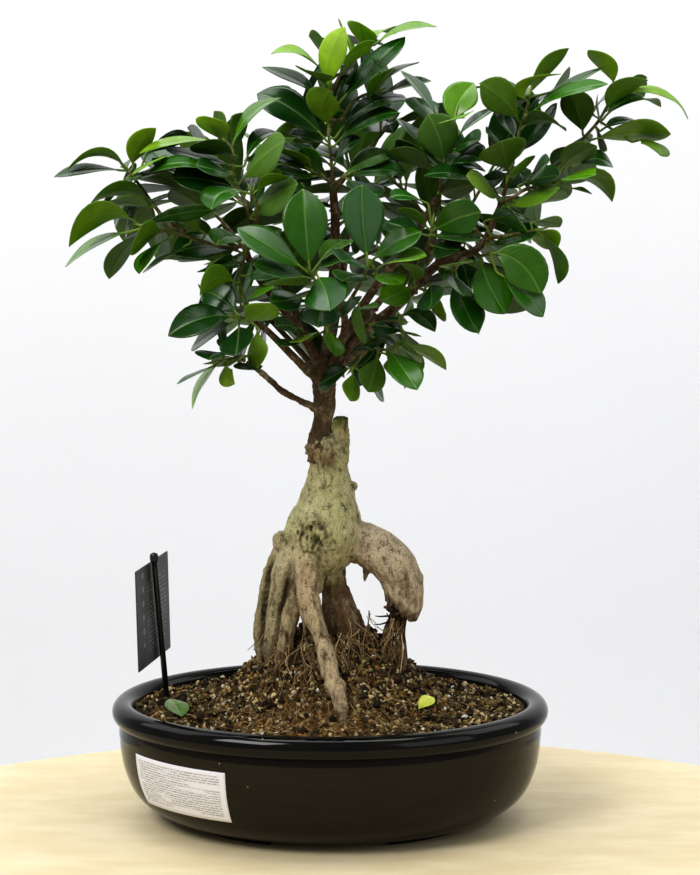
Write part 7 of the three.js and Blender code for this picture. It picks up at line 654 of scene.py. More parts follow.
        [-31.4, 82, 334.2, -31, 82.9, 334.2, -22.1, 103.5, 336.1, -12.5, 124, 333.2, 0.9, -0.4, 0.16, 21.3, 0.5],
        [-37.7, 55.4, 316.7, -37, 55.3, 316, -14, 52.7, 296.6, 2.6, 47.9, 271.4, 0.11, -0.96, 0.25, 32.4, 0],
        [-37.3, 56.9, 317.6, -36.4, 56.9, 317.2, -23.2, 57.2, 312.9, -11, 57, 306.1, 0.09, -0.98, 0.2, 13.3, 0],
        [-37.7, 55.4, 316.7, -37.1, 55, 315.9, -17.3, 44, 295.9, -6.1, 31.8, 270, -0.13, -0.92, 0.38, 32.2, 0.4],
        [-36.9, 59.1, 318.9, -37.4, 59.6, 318.2, -45.4, 66.2, 310.3, -50, 73.2, 300, 0.21, 0.85, 0.48, 13.2, 0],
        [-37.7, 55.4, 316.7, -36.8, 54.8, 316.6, -21.5, 45.8, 317.2, -7.2, 35.8, 312.1, -0.5, -0.83, 0.25, 17.2, 0.4],
        [-37.7, 55.4, 316.7, -36.9, 55.4, 316.1, -11.7, 58.7, 299.9, 9, 58.3, 277.4, 0.31, -0.9, 0.3, 32.2, 0],
        [-36, 63.2, 321.4, -35, 62.9, 321.5, -16.9, 58, 324.7, 1.7, 53.1, 322.9, -0.26, -0.97, -0, 21.3, 0.2],
        [-34.5, 69.7, 325.4, -35.5, 69.6, 325.8, -47.4, 69, 330.9, -60.1, 69.9, 334.2, 0.21, 0.79, 0.58, 13.6, 0],
        [-36, 62.9, 321.2, -35.3, 63.1, 320.6, -18.8, 68.6, 307.3, -3.8, 71.5, 291.4, 0.56, -0.74, 0.39, 22.8, 0.2],
    ],
    "leafy_twig_back_right_4": [
        [44.6, 71.2, 324.9, 44.6, 71.3, 325.9, 45.2, 75, 352.7, 44.2, 76.4, 379.8, -0.82, 0.57, -0.06, 29.4, 0.3],
        [45.8, 73.3, 326.2, 46.6, 73.8, 326.3, 67.6, 85.6, 330.2, 89.3, 96.8, 331.7, 0.41, -0.84, 0.35, 26.8, 0],
        [47, 75.4, 327.5, 46.5, 76.2, 327.6, 33.6, 102.7, 334.5, 14.7, 126.8, 333.5, 0.63, 0.47, -0.61, 28.3, 0.5],
        [48, 77.5, 328.9, 48.6, 77.7, 329.7, 60, 82.2, 348.9, 75, 84.7, 366.1, -0.29, -0.88, 0.38, 21.2, 0],
        [49, 79.6, 330.4, 49.3, 80.6, 330.3, 57, 108.8, 328, 63.2, 136.6, 319.6, 0.94, -0.27, -0.22, 28.5, 0.8],
        [50, 81.7, 332, 49.8, 82.2, 332.8, 45.1, 92.7, 352.2, 37.4, 103.5, 370.6, 0.21, 0.88, -0.43, 23.9, 0],
        [51, 83.8, 333.5, 51.9, 84.2, 333.6, 76.1, 98.3, 340.4, 103.7, 107.9, 338.2, 0.32, -0.79, 0.52, 27.9, 0.8],
        [52, 85.9, 335.1, 52.1, 86.9, 335.1, 55.5, 110, 339, 58.1, 133.6, 335.1, 0.98, -0.13, -0.12, 23.8, 0.5],
        [53, 88, 336.6, 53.3, 88.4, 337.4, 59.5, 98.8, 356.4, 71.6, 103.8, 375.2, -0.55, -0.64, 0.53, 24.4, 0],
    ],
    "leafy_twig_low_back_centre_2": [
        [38.8, 61.2, 310.9, 39, 62.2, 311.1, 44, 81.8, 317.3, 44.1, 103.2, 320, 0.61, 0.09, -0.79, 19.4, 0.5],
        [40.7, 63.3, 309.9, 40.8, 64, 309.1, 44.2, 81.2, 295.1, 41.3, 94.8, 277, 0.65, -0.55, -0.52, 24, 0.5],
        [42.6, 65.4, 308.8, 42.6, 66.4, 308.9, 44, 91.3, 312, 40.7, 116.5, 311.6, 0.6, 0.07, -0.8, 23.6, 0.3],
        [46.4, 68.4, 307.5, 46.6, 69.1, 306.8, 52.2, 84.4, 292.2, 55.4, 97.3, 274.5, 0.83, -0.51, -0.22, 21.4, 0],
        [48.3, 69.8, 307, 48.2, 70.7, 306.4, 48.7, 91.2, 295.9, 44.6, 108.6, 280.5, 0.79, -0.3, -0.54, 25.1, 0.1],
        [35.5, 57.5, 312.8, 34.6, 57.7, 312.4, 20.1, 60.5, 306.5, 6.2, 65.3, 300.2, -0.3, 0.31, 0.9, 17.5, 0.4],
        [35.5, 57.5, 312.8, 35.3, 57.2, 311.8, 31.4, 53.6, 299.3, 30, 50.4, 286, -0.2, 0.96, -0.21, 13.2, 0],
        [36.5, 58.6, 312.2, 35.8, 59.3, 312.5, 27.6, 68.7, 316, 17.9, 77.1, 318.8, 0.1, 0.42, -0.9, 12.4, 0.4],
        [41.9, 64.6, 309.2, 41.3, 64.7, 308.4, 26.6, 64.8, 290.8, 17.1, 70.5, 270.2, -0.52, 0.73, 0.44, 21.1, 0.2],
        [40, 62.5, 310.3, 39.2, 62.8, 309.7, 21.9, 68.4, 297.6, 8.6, 80.6, 284.4, -0.44, 0.4, 0.81, 21.5, 0.4],
    ],
    "leafy_twig_back_centre_5": [
        [3.1, 70.8, 348.7, 3.4, 71.7, 349.1, 7.2, 90.7, 358.2, 14.3, 110.5, 363.8, 0.72, -0.41, 0.55, 20.5, 0],
        [0.9, 75, 348.9, 1.1, 75.9, 348.4, 4.1, 94.6, 337.7, 7.9, 112.2, 325, 0.94, 0.03, 0.33, 23.4, 0.3],
        [-1.2, 79.2, 349.2, -1.2, 79.9, 349.9, -1.8, 93.7, 364.9, 3.3, 110.5, 376, 0.65, -0.55, 0.53, 21.6, 0.5],
        [-3.5, 83.4, 350, -3.3, 84.4, 350, 0.6, 105.5, 349.9, 6, 126.1, 346.1, 0.9, -0.16, 0.4, 22.7, 0],
        [-5.7, 87.6, 350.8, -6.6, 88.1, 350.7, -25.3, 99.7, 348.8, -44.5, 110.2, 344.8, 0.5, 0.72, -0.48, 21, 0.1],
        [-8, 91.8, 351.6, -8, 92.7, 352.1, -8.7, 111.1, 366.5, -6.7, 133.5, 374.4, 0.94, -0.18, 0.28, 24.9, 0.1],
        [-10.2, 96, 352.4, -10.3, 97, 352.2, -12.1, 119.1, 350.6, -12.1, 140.4, 343.1, 0.96, 0.1, 0.28, 22.8, 0.8],
        [4.4, 68.3, 348.6, 4.3, 68.3, 347.6, 0.8, 68, 317.8, 2.6, 68.6, 287.6, -0.16, 0.99, 0.01, 28.9, 0],
    ],
    "leafy_twig_back_centre_6": [
        [22, 76, 357, 22.1, 76.9, 356.7, 24.5, 103.2, 348.6, 26.1, 127.2, 334.4, 0.99, -0.12, -0.09, 26.4, 0],
        [24.4, 79.5, 358.1, 24.2, 80.2, 358.8, 21.9, 94.4, 375.5, 15.5, 110.1, 390.2, 0.51, 0.69, -0.51, 24, 0],
        [28.8, 86, 360.1, 28.6, 87, 360.1, 25.5, 109.2, 361.2, 20, 131, 359, 0.79, 0.14, -0.6, 21.2, 0.3],
        [30.7, 88.8, 360.9, 30.6, 89.5, 361.6, 30.2, 101, 374, 27, 113.4, 385.3, 0.45, 0.66, -0.6, 16.2, 0.8],
        [32.6, 91.6, 361.8, 32.7, 92.6, 361.6, 36, 113.5, 359.5, 36.3, 133.2, 350.4, 0.92, -0.18, -0.36, 22.8, 0.8],
        [34.5, 94.4, 362.6, 34.2, 95.3, 362.9, 28.4, 118.6, 369.3, 18.8, 141.7, 371.6, 0.69, 0.35, -0.64, 26.2, 0.3],
    ],
    "leafy_twig_inner_centre_1": [
        [-3, 29.2, 376.8, -2.6, 30.1, 377, 4.7, 49.6, 381.4, 13.6, 69, 383.1, 0.79, -0.4, 0.47, 21.6, 0.3],
        [-5.1, 32, 377.9, -4.8, 33, 378.1, 0.8, 52.7, 381.9, 8, 72.5, 382.1, 0.88, -0.32, 0.35, 20.3, 0.1],
        [-12.2, 38.3, 380.8, -13.1, 38, 380.6, -41.4, 30.9, 380.3, -67.6, 21, 370.1, -0.23, 0.92, -0.31, 31.5, 0.1],
        [-17, 42, 382.5, -17.4, 42.9, 382.5, -26.3, 62.1, 382.4, -33.6, 81.9, 379.8, 0.76, 0.35, 0.54, 21.8, 0.8],
        [20.4, 33.8, 385, 20.3, 34.6, 385.7, 20.4, 53.6, 404.4, 12.9, 75.8, 418, 0.61, 0.55, -0.56, 24.5, 0],
        [11.3, 27.9, 381.4, 11.2, 28.6, 380.6, 8.9, 37.3, 371.2, 8, 45.5, 361.1, 0.51, 0.69, 0.51, 13.7, 0],
        [14.5, 30.4, 382.9, 14.5, 30.9, 382, 15.6, 37.2, 370.7, 14.8, 42.8, 358.9, 0.45, -0.8, -0.4, 14.1, 0],
        [28.6, 37.6, 387.4, 29, 37.1, 386.7, 35.3, 30.4, 377.4, 39.9, 25.6, 366, -0.73, -0.68, -0, 14.5, 0.4],
    ],
    "leafy_twig_inner_centre_2": [
        [-30.8, 8, 334.4, -31.6, 8.4, 334.8, -49.2, 16.8, 346.5, -68.6, 25.1, 355.6, 0.29, 0.93, -0.24, 22.2, 0],
        [-32.2, 12.8, 339.5, -32.8, 13.6, 339.3, -46.8, 36.4, 335.1, -61.2, 58, 326.5, 0.85, 0.49, -0.19, 28.3, 0],
        [-36, 18.4, 345.2, -35.6, 19.3, 345.6, -30.4, 34.1, 352.7, -22.9, 49.3, 356.8, 0.73, -0.49, 0.48, 16.2, 0.3],
        [-37.9, 21.2, 348.1, -38.6, 21.9, 348.1, -56.5, 40.4, 352.1, -75.6, 58.3, 347.9, 0.69, 0.7, -0.17, 24.1, 0.3],
        [-29.5, 2, 327.8, -30, 1.3, 327.2, -36.5, -7.2, 319.8, -41.7, -15.9, 311.6, -0.25, 0.74, -0.63, 12.4, 0.2],
        [-30, 4.1, 330.1, -30.6, 4.7, 329.5, -40.1, 12.7, 322, -46.5, 20, 310.8, 0.48, 0.83, 0.27, 14.4, 0.2],
        [-29.7, 2.6, 328.5, -28.7, 2.8, 328.6, -15.9, 5.1, 330.5, -3.1, 7.9, 327.9, 0.19, -0.97, -0.12, 12.1, 0.1],
    ],
    "leafy_twig_inner_right_1": [
        [46.6, 28, 354.6, 46.7, 28.5, 355.5, 49, 38.1, 372.2, 49.5, 48.7, 388.6, 0.44, 0.75, -0.5, 18.4, 0.1],
        [49.3, 30.3, 356, 49.1, 31.3, 356.1, 44.5, 52.1, 358.5, 38.1, 72.8, 358.2, 0.8, 0.24, -0.54, 20, 0.5],
        [65.6, 38, 360.7, 66.5, 38.1, 360.3, 92.9, 41.3, 351.6, 116.8, 43.4, 336.4, 0.15, -0.98, 0.1, 26.6, 0.8],
        [65.6, 38, 360.7, 66.3, 38.3, 360, 73.8, 42.8, 350.4, 83.8, 44.8, 341.9, 0.4, 0.67, 0.63, 13.8, 0.1],
        [43, 24.9, 352.8, 42.8, 24.6, 353.7, 41, 19.6, 365.6, 39.1, 13.4, 376.9, -0.99, 0.04, -0.14, 12.1, 0.2],
        [65.6, 38, 360.7, 66.2, 37.9, 359.9, 83.8, 32.9, 336, 95.7, 30.8, 308, -0.39, -0.92, -0.1, 30.2, 0.4],
        [65.6, 38, 360.7, 66.3, 38.2, 361.4, 76.4, 41.9, 375.4, 90.8, 46.9, 384.9, 0.3, -0.95, 0.03, 17.9, 0.2],
    ],
    "leafy_twig_inner_centre_3": [
        [54.2, 14, 391.6, 53.2, 14.2, 392, 35.4, 17.5, 398.4, 16.7, 20.1, 402.5, 0.05, 0.94, -0.34, 20, 0],
        [50.1, 18.4, 397.2, 49.4, 19.1, 397.2, 37.9, 32.3, 397, 26.7, 45.6, 393.9, 0.75, 0.66, 0.08, 16.4, 0.3],
        [47.7, 19.8, 399.3, 47.9, 19.6, 400.3, 51.7, 13.4, 424.4, 58.4, 5.4, 447.6, -0.58, -0.81, -0.11, 24.8, 0.8],
        [45.4, 21.2, 401.4, 45.4, 21.9, 402.1, 44.7, 35.8, 420.6, 49.5, 54, 434.8, 0.74, -0.52, 0.42, 24, 0],
        [40.7, 24, 405.5, 40.4, 24.7, 406.1, 34.9, 36.5, 417, 30.1, 50.6, 425.7, 0.93, 0.1, 0.36, 18.4, 0],
        [56.2, 11.7, 388.7, 56.5, 12.5, 388.3, 62.2, 23.4, 383.9, 64.9, 34.1, 376.4, 0.63, -0.55, -0.56, 13, 0.1],
        [40.7, 24, 405.5, 40.2, 24.9, 405.4, 33.9, 36.2, 404.5, 28, 47.5, 401.7, 0.84, 0.49, 0.22, 12, 0.4],
    ],
    "leafy_twig_inner_right_2": [
        [103.8, -6.4, 396.9, 104.3, -5.6, 396.6, 115.6, 13.5, 390.7, 128.2, 29.2, 378.8, 0.84, -0.37, 0.4, 22.9, 0],
        [102.1, 0.7, 401, 102.4, 1.5, 401.4, 109.2, 21, 413.2, 120.2, 40.8, 421.2, 0.56, -0.56, 0.6, 23.7, 0.8],
        [99.9, 3, 403, 99.4, 3.9, 402.9, 88.1, 22.5, 403.2, 78.1, 41.4, 397.6, 0.84, 0.5, 0.22, 21.5, 0],
        [95.5, 7.7, 407.1, 95.1, 8.6, 407.1, 85.7, 29.1, 406.9, 77.5, 49.9, 403, 0.86, 0.4, 0.32, 22.3, 0.1],
        [93.3, 10, 409.2, 92.7, 10.6, 409.8, 75.8, 21.9, 426.8, 62.2, 41.3, 439.4, 0.74, 0.08, 0.67, 26, 0],
        [102.7, 0, 400.4, 103.6, 0.1, 400.9, 115, 1.9, 406.8, 126.3, 5.3, 412.5, 0.46, -0.02, -0.89, 12.7, 0],
        [105, -13.4, 393.2, 105.5, -13, 392.5, 117.4, -4.8, 380.6, 126.7, 4.7, 367.3, -0.05, -0.8, -0.6, 18.6, 0.2],
    ],
    "leafy_twig_inner_left_1": [
        [-72.5, 8.8, 384.9, -73.1, 8.1, 385.3, -85.3, -7.3, 394.1, -97.1, -24.1, 400.8, -0.81, 0.4, -0.43, 22.4, 0.1],
        [-81.3, 12.6, 393.4, -82.1, 13.2, 393.3, -103.7, 27.8, 393, -124.3, 42.3, 384.5, 0.56, 0.83, 0.06, 25.4, 0.5],
        [-84.8, 13.3, 396.9, -85.7, 12.8, 397.2, -104, 3.6, 406.8, -122.9, -9.5, 409, -0.56, 0.75, -0.35, 22.2, 0.5],
        [-88.4, 14, 400.4, -89, 14.5, 401, -103.9, 26.6, 416.9, -119.2, 41.7, 429.9, 0.79, 0.49, 0.37, 24.9, 0],
        [-88.4, 14, 400.4, -89, 14.8, 400.4, -106.7, 39, 401.4, -124.8, 63, 398.3, 0.8, 0.59, -0.1, 30.3, 0],
        [-79.9, 12.3, 392.1, -80.5, 12.8, 391.4, -88.8, 20.8, 381.5, -97.8, 26.8, 370.6, 0.78, 0.05, -0.62, 14.5, 0.4],
        [-69.9, 7.3, 382.4, -69.5, 8.2, 382.3, -61.4, 29.9, 381.7, -48.5, 48.9, 376.8, 0.59, -0.2, 0.79, 21.6, 0.1],
        [-86.6, 13.7, 398.7, -86.5, 14.7, 398.6, -84.6, 27.5, 398.2, -84.6, 40.4, 395.1, 0.8, -0.14, -0.59, 14.1, 0.1],
        [-82.7, 12.9, 394.8, -83.2, 13.5, 394.2, -96.8, 34.3, 377.2, -113.4, 48.3, 355.6, 0.81, 0.06, -0.58, 31, 0],
        [-84.4, 13.2, 396.5, -84.5, 14.2, 396.3, -84.9, 28.3, 393.2, -87.8, 41.5, 387.4, 0.74, -0.13, -0.66, 13.5, 0.1],
        [-88.4, 14, 400.4, -89.3, 13.9, 400.2, -103.8, 12.3, 396.3, -117.8, 11, 390.8, -0.14, 0.98, 0.14, 14.4, 0.1],
        [-53.6, -6.1, 363.5, -52.8, -5.8, 364, -41.6, -3.3, 370.9, -30, 1.6, 376, 0.52, -0.56, -0.64, 14.3, 0.4],
        [-63.9, 4, 376.6, -64.2, 4.7, 376, -67.6, 14.9, 365.5, -70.6, 24.1, 353.9, 0.94, 0.35, 0.03, 15, 0.1],
        [-60.3, 0.4, 372, -59.8, 1.3, 371.7, -53.8, 12.2, 368.1, -48.4, 23.1, 363.3, 0.76, -0.54, -0.36, 13.8, 0.4],
    ],
    "leafy_twig_top_inner_centre_1": [
        [-6.7, 27.2, 416.3, -7.7, 27.1, 416.4, -30.9, 25.6, 420.2, -54.6, 22.4, 418.9, -0.11, 0.95, -0.28, 25.9, 0.3],
        [-21.1, 30, 438.9, -20.7, 30.1, 439.8, -11.4, 33, 465.6, 4.2, 34.8, 488.6, -0.09, -0.99, 0.14, 26.4, 0.3],
        [9.9, 23.2, 408.5, 10.4, 24, 408.6, 22.9, 43.4, 410.3, 34.9, 63.1, 409.6, 0.83, -0.52, -0.2, 24.6, 0.8],
        [32.3, 29.9, 435.2, 32.2, 30, 436.2, 30.4, 32.5, 465.2, 22.6, 40.1, 492.6, 0.65, 0.76, -0.02, 30.7, 0.3],
        [35.9, 28.9, 439.3, 36.8, 28.6, 439.6, 51.8, 23.4, 445.1, 67.3, 17.5, 448.5, -0.38, -0.91, 0.17, 17.1, 0.5],
        [-25.5, 30, 446, -25.8, 30.8, 446.5, -33.3, 49.7, 458.2, -39.9, 70.6, 466.9, 0.92, 0.13, 0.37, 22.2, 0],
        [39.4, 28, 443.4, 40.2, 28.6, 443.5, 62.4, 44.9, 449.3, 87.2, 58.8, 447, 0.47, -0.78, 0.4, 27.5, 0.1],
        [39.4, 28, 443.4, 39.4, 28.9, 443.9, 38.3, 48.2, 454.6, 37.7, 69, 462.5, 0.99, -0.03, 0.16, 22, 0],
        [-25.5, 30, 446, -25.8, 29.1, 446, -29.5, 16.6, 447.6, -33.8, 4.3, 446.2, -0.93, 0.3, 0.21, 12.3, 0.2],
        [-21.9, 30, 440.3, -21.2, 30.4, 440.8, -0.6, 38.6, 454.3, 17.4, 55.1, 464.6, 0.58, -0.13, -0.8, 24.1, 0.4],
        [-23.3, 30, 442.4, -22.8, 30.8, 442.8, -14.9, 42.7, 448.5, -8.2, 56.5, 450.9, 0.83, -0.32, -0.46, 14.7, 0],
        [39, 28.1, 442.9, 39, 27.1, 442.7, 38.4, 14.2, 441.1, 39.7, 2.1, 435.7, -0.9, 0.1, -0.43, 13.3, 0.4],
        [-7.7, 28, 418.2, -7.4, 29, 418.1, -1.3, 46, 418.1, 1.6, 63.6, 413.3, 0.78, -0.28, -0.56, 17.3, 0.2],
        [38.3, 28.3, 442.1, 38.2, 29.3, 442.3, 37.5, 41.5, 446.7, 37.1, 54.7, 447.9, 0.99, 0.01, 0.13, 14.5, 0],
        [-19.2, 30, 435.9, -19.9, 30.5, 435.4, -35.5, 42.8, 424.3, -54.6, 49.5, 413.2, 0.41, -0.27, -0.87, 21.6, 0.4],
        [32.5, 29.8, 435.4, 32.4, 30.8, 435.6, 31.4, 55, 442.4, 31.9, 80, 446, 0.9, -0.08, 0.44, 24.3, 0],
        [-25.5, 30, 446, -25.5, 30.9, 446.4, -25.7, 44.9, 453.8, -22.7, 60.2, 457.2, 0.8, -0.27, 0.54, 16.4, 0.4],
    ],
}
POT_A, POT_B = 140.0, 107.0
RATIO = POT_B / POT_A
SOIL_EDGE = 71.5
MOUND = (49.0, 60.0, 46.0, 3.0, 2.0)  # height, reach along x and y, power, centre y


# ------------------------------------------------------------------ mesh helpers
def unit(v):
    v = np.asarray(v, float)
    return v / max(np.linalg.norm(v), 1e-9)


def build(name, verts, faces, mats, smooth=True, replaces=(), mat_index=None, attrs=None, stage=False):
    me = bpy.data.meshes.new(name)
    v = (np.asarray(verts, float) + SHIFT) / 1000.0
    me.from_pydata(v.tolist(), [], [list(map(int, f)) for f in faces])
    me.validate()
    for m in mats if isinstance(mats, (list, tuple)) else [mats]:
        me.materials.append(m)
    if mat_index is not None:
        me.polygons.foreach_set("material_index", np.asarray(mat_index, np.int32))
    me.polygons.foreach_set("use_smooth", np.full(len(me.polygons), bool(smooth)))
    for key, (kind, data) in (attrs or {}).items():
        if kind == "color":
            a = me.color_attributes.new(key, "FLOAT_COLOR", "POINT")
            rgba = np.ones((len(data), 4), np.float32)
            rgba[:, :3] = data
            a.data.foreach_set("color", rgba.ravel())
        elif kind == "vector":
            a = me.attributes.new(key, "FLOAT_VECTOR", "POINT")
            a.data.foreach_set("vector", np.asarray(data, np.float32).ravel())
        else:
            a = me.attributes.new(key, "FLOAT", "POINT")
            a.data.foreach_set("value", np.asarray(data, np.float32).ravel())
    me.update()
    ob = bpy.data.objects.new(name, me)
    bpy.context.scene.collection.objects.link(ob)
    if stage:
        return ob
    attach(ob, "root")
    if replaces:
        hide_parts(*replaces)
    return ob


class Soup:
    """Vertices and faces gathered from many small shapes, with one colour for each vertex."""

    def __init__(self):
        self.v, self.f, self.c, self.n = [], [], [], 0

    def add(self, v, f, colour):
        v = np.asarray(v, float)
        self.v.append(v)
        self.f.extend([[i + self.n for i in face] for face in f])
        c = np.asarray(colour, float)
        self.c.append(np.tile(c, (len(v), 1)) if c.ndim == 1 else c)
        self.n += len(v)

    def arrays(self):
        return np.vstack(self.v), self.f, np.vstack(self.c)


def curve(rows, per):
    """Centripetal Catmull-Rom through rows of [x, y, z, ...], per steps a span."""
    P = np.asarray(rows, float)
    if len(P) == 2:
        t = np.linspace(0, 1, per + 1)[:, None]
        return P[0] * (1 - t) + P[1] * t
    Q = np.vstack([2 * P[0] - P[1], P, 2 * P[-1] - P[-2]])
    out = []
    for i in range(1, len(Q) - 2):
        p0, p1, p2, p3 = Q[i - 1], Q[i], Q[i + 1], Q[i + 2]
        d = [max(np.linalg.norm((b - a)[:3]), 1e-6) ** 0.5 for a, b in ((p0, p1), (p1, p2), (p2, p3))]
        t0, t1 = 0.0, d[0]
        t2, t3 = t1 + d[1], t1 + d[1] + d[2]
        for t in np.linspace(t1, t2, per, endpoint=False):
            a1 = (t1 - t) / (t1 - t0) * p0 + (t - t0) / (t1 - t0) * p1
            a2 = (t2 - t) / (t2 - t1) * p1 + (t - t1) / (t2 - t1) * p2
            a3 = (t3 - t) / (t3 - t2) * p2 + (t - t2) / (t3 - t2) * p3
            b1 = (t2 - t) / (t2 - t0) * a1 + (t - t0) / (t2 - t0) * a2
            b2 = (t3 - t) / (t3 - t1) * a2 + (t - t1) / (t3 - t1) * a3
            out.append((t2 - t) / (t2 - t1) * b1 + (t - t1) / (t2 - t1) * b2)
    out.append(P[-1])
    return np.array(out)


def tube(rows, sides, wobble=None):
    """Closed tube along rows of [x, y, z, r]; wobble(i, angle) scales the radius."""
    R = np.asarray(rows, float)
    n = len(R)
    T = np.gradient(R[:, :3], axis=0)
    T /= np.maximum(np.linalg.norm(T, axis=1, keepdims=True), 1e-9)
    side = unit(np.cross(T[0], [0.3, 0.2, 0.9]) + 1e-6)
    ang = np.arange(sides) * 2 * math.pi / sides
    V = []
    for i in range(n):
        side = unit(side - T[i] * (side @ T[i]))
        up = np.cross(T[i], side)
        w = np.array([wobble(i, a) for a in ang]) if wobble else np.ones(sides)
        V.append(R[i, :3] + R[i, 3] * w[:, None] * (np.cos(ang)[:, None] * side + np.sin(ang)[:, None] * up))
    V = np.vstack(V + [R[0, :3][None] - T[0] * R[0, 3] * 0.35, R[-1, :3][None] + T[-1] * R[-1, 3] * 0.35])
    F = []
    for i in range(n - 1):
        for j in range(sides):
            a, b = i * sides + j, i * sides + (j + 1) % sides
            F.append([a, b, b + sides, a + sides])
    for j in range(sides):
        k = (j + 1) % sides
        F.append([n * sides, k, j])
        F.append([n * sides + 1, (n - 1) * sides + j, (n - 1) * sides + k])
    return V, F


def evaluated(ob):
    dg = bpy.context.evaluated_depsgraph_get()
    return bpy.data.meshes.new_from_object(ob.evaluated_get(dg))


def remeshed(verts, faces, voxel_mm, smooth_steps):
    """One skin around overlapping closed shapes: voxel remesh, then a light smooth. mm in, mm out."""
    me = bpy.data.meshes.new("tmp")
    me.from_pydata((np.asarray(verts) / 1000).tolist(), [], [list(map(int, f)) for f in faces])
    ob = bpy.data.objects.new("tmp", me)
    bpy.context.scene.collection.objects.link(ob)
    m = ob.modifiers.new("r", "REMESH")
    m.mode, m.voxel_size = "VOXEL", voxel_mm / 1000
    s = ob.modifiers.new("s", "SMOOTH")
    s.factor, s.iterations = 0.5, smooth_steps
    out = evaluated(ob)
    n = len(out.vertices)
    co, no = np.zeros(n * 3), np.zeros(n * 3)
    out.vertices.foreach_get("co", co)
    out.vertices.foreach_get("normal", no)
    F = [list(p.vertices) for p in out.polygons]
    bpy.data.objects.remove(ob)
    bpy.data.meshes.remove(out)
    bpy.data.meshes.remove(me)
    return co.reshape(-1, 3) * 1000, no.reshape(-1, 3), F


def fbm(P, scale, octaves=3, seed=0.0):
    """Fractal noise at each row of P (mm); scale is the feature size in mm."""
    out = np.empty(len(P))
    k = 1.0 / scale
    for i, p in enumerate(P):
        out[i] = noise.fractal(Vector((p[0] * k + seed, p[1] * k - seed, p[2] * k + 3.1 * seed)), 1.0, 2.0, octaves)
    return out


# ------------------------------------------------------------------ material helpers
def material(name, rough=0.5, spec=0.5, coat=0.0, coat_rough=0.1, sheen=0.0):
    m = bpy.data.materials.new(name)
    m.use_nodes = True
    nt = m.node_tree
    b = nt.nodes["Principled BSDF"]
    b.inputs["Roughness"].default_value = rough
    b.inputs["Specular IOR Level"].default_value = spec
    b.inputs["Coat Weight"].default_value = coat
    b.inputs["Coat Roughness"].default_value = coat_rough
    b.inputs["Sheen Weight"].default_value = sheen
    return m, nt, b


class N:
    """A few short ways to wire shader nodes."""

    def __init__(self, nt):
        self.nt = nt

    def node(self, kind, **props):
        n = self.nt.nodes.new(kind)
        for k, v in props.items():
            setattr(n, k, v)
        return n

    def put(self, socket, value):
        if isinstance(value, bpy.types.NodeSocket):
            self.nt.links.new(value, socket)
        elif value is not None:
            socket.default_value = value

    def coords(self):
        return self.node("ShaderNodeTexCoord").outputs["Object"]

    def attr(self, name, out="Color"):
        return self.node("ShaderNodeAttribute", attribute_name=name).outputs[out]

    def noise(self, vec, scale, detail=3.0, rough=0.55, out="Fac", distortion=0.0):
        n = self.node("ShaderNodeTexNoise")
        self.put(n.inputs["Vector"], vec)
        n.inputs["Scale"].default_value = scale
        n.inputs["Detail"].default_value = detail
        n.inputs["Roughness"].default_value = rough
        n.inputs["Distortion"].default_value = distortion
        return n.outputs[out]

    def voronoi(self, vec, scale, out="Distance", feature="F1", randomness=1.0):
        n = self.node("ShaderNodeTexVoronoi", feature=feature)
        self.put(n.inputs["Vector"], vec)
        n.inputs["Scale"].default_value = scale
        n.inputs["Randomness"].default_value = randomness
        return n.outputs[out]

    def math(self, op, a, b=None, clamp=False):
        n = self.node("ShaderNodeMath", operation=op, use_clamp=clamp)
        self.put(n.inputs[0], a)
        if b is not None:
            self.put(n.inputs[1], b)
        return n.outputs[0]

    def ramp(self, fac, lo, hi, a=0.0, b=1.0):
        n = self.node("ShaderNodeMapRange", interpolation_type="SMOOTHSTEP")
        self.put(n.inputs["Value"], fac)
        for k, v in (("From Min", lo), ("From Max", hi), ("To Min", a), ("To Max", b)):
            n.inputs[k].default_value = v
        return n.outputs[0]

    def mix(self, fac, a, b, blend="MIX"):
        n = self.node("ShaderNodeMix", data_type="RGBA", blend_type=blend)
        self.put(n.inputs[0], fac)
        for s, v in ((n.inputs[6], a), (n.inputs[7], b)):
            self.put(s, (*v, 1.0) if isinstance(v, (tuple, list, np.ndarray)) and len(v) == 3 else v)
        return n.outputs[2]

    def scale_vec(self, vec, xyz):
        n = self.node("ShaderNodeMapping")
        self.put(n.inputs["Vector"], vec)
        n.inputs["Scale"].default_value = xyz
        return n.outputs[0]

    def split(self, vec):
        n = self.node("ShaderNodeSeparateXYZ")
        self.put(n.inputs[0], vec)
        return n.outputs

    def bump(self, height, strength, distance_mm, normal=None):
        n = self.node("ShaderNodeBump")
        n.inputs["Strength"].default_value = strength
        n.inputs["Distance"].default_value = distance_mm / 1000
        self.put(n.inputs["Height"], height)
        if normal is not None:
            self.put(n.inputs["Normal"], normal)
        return n.outputs[0]


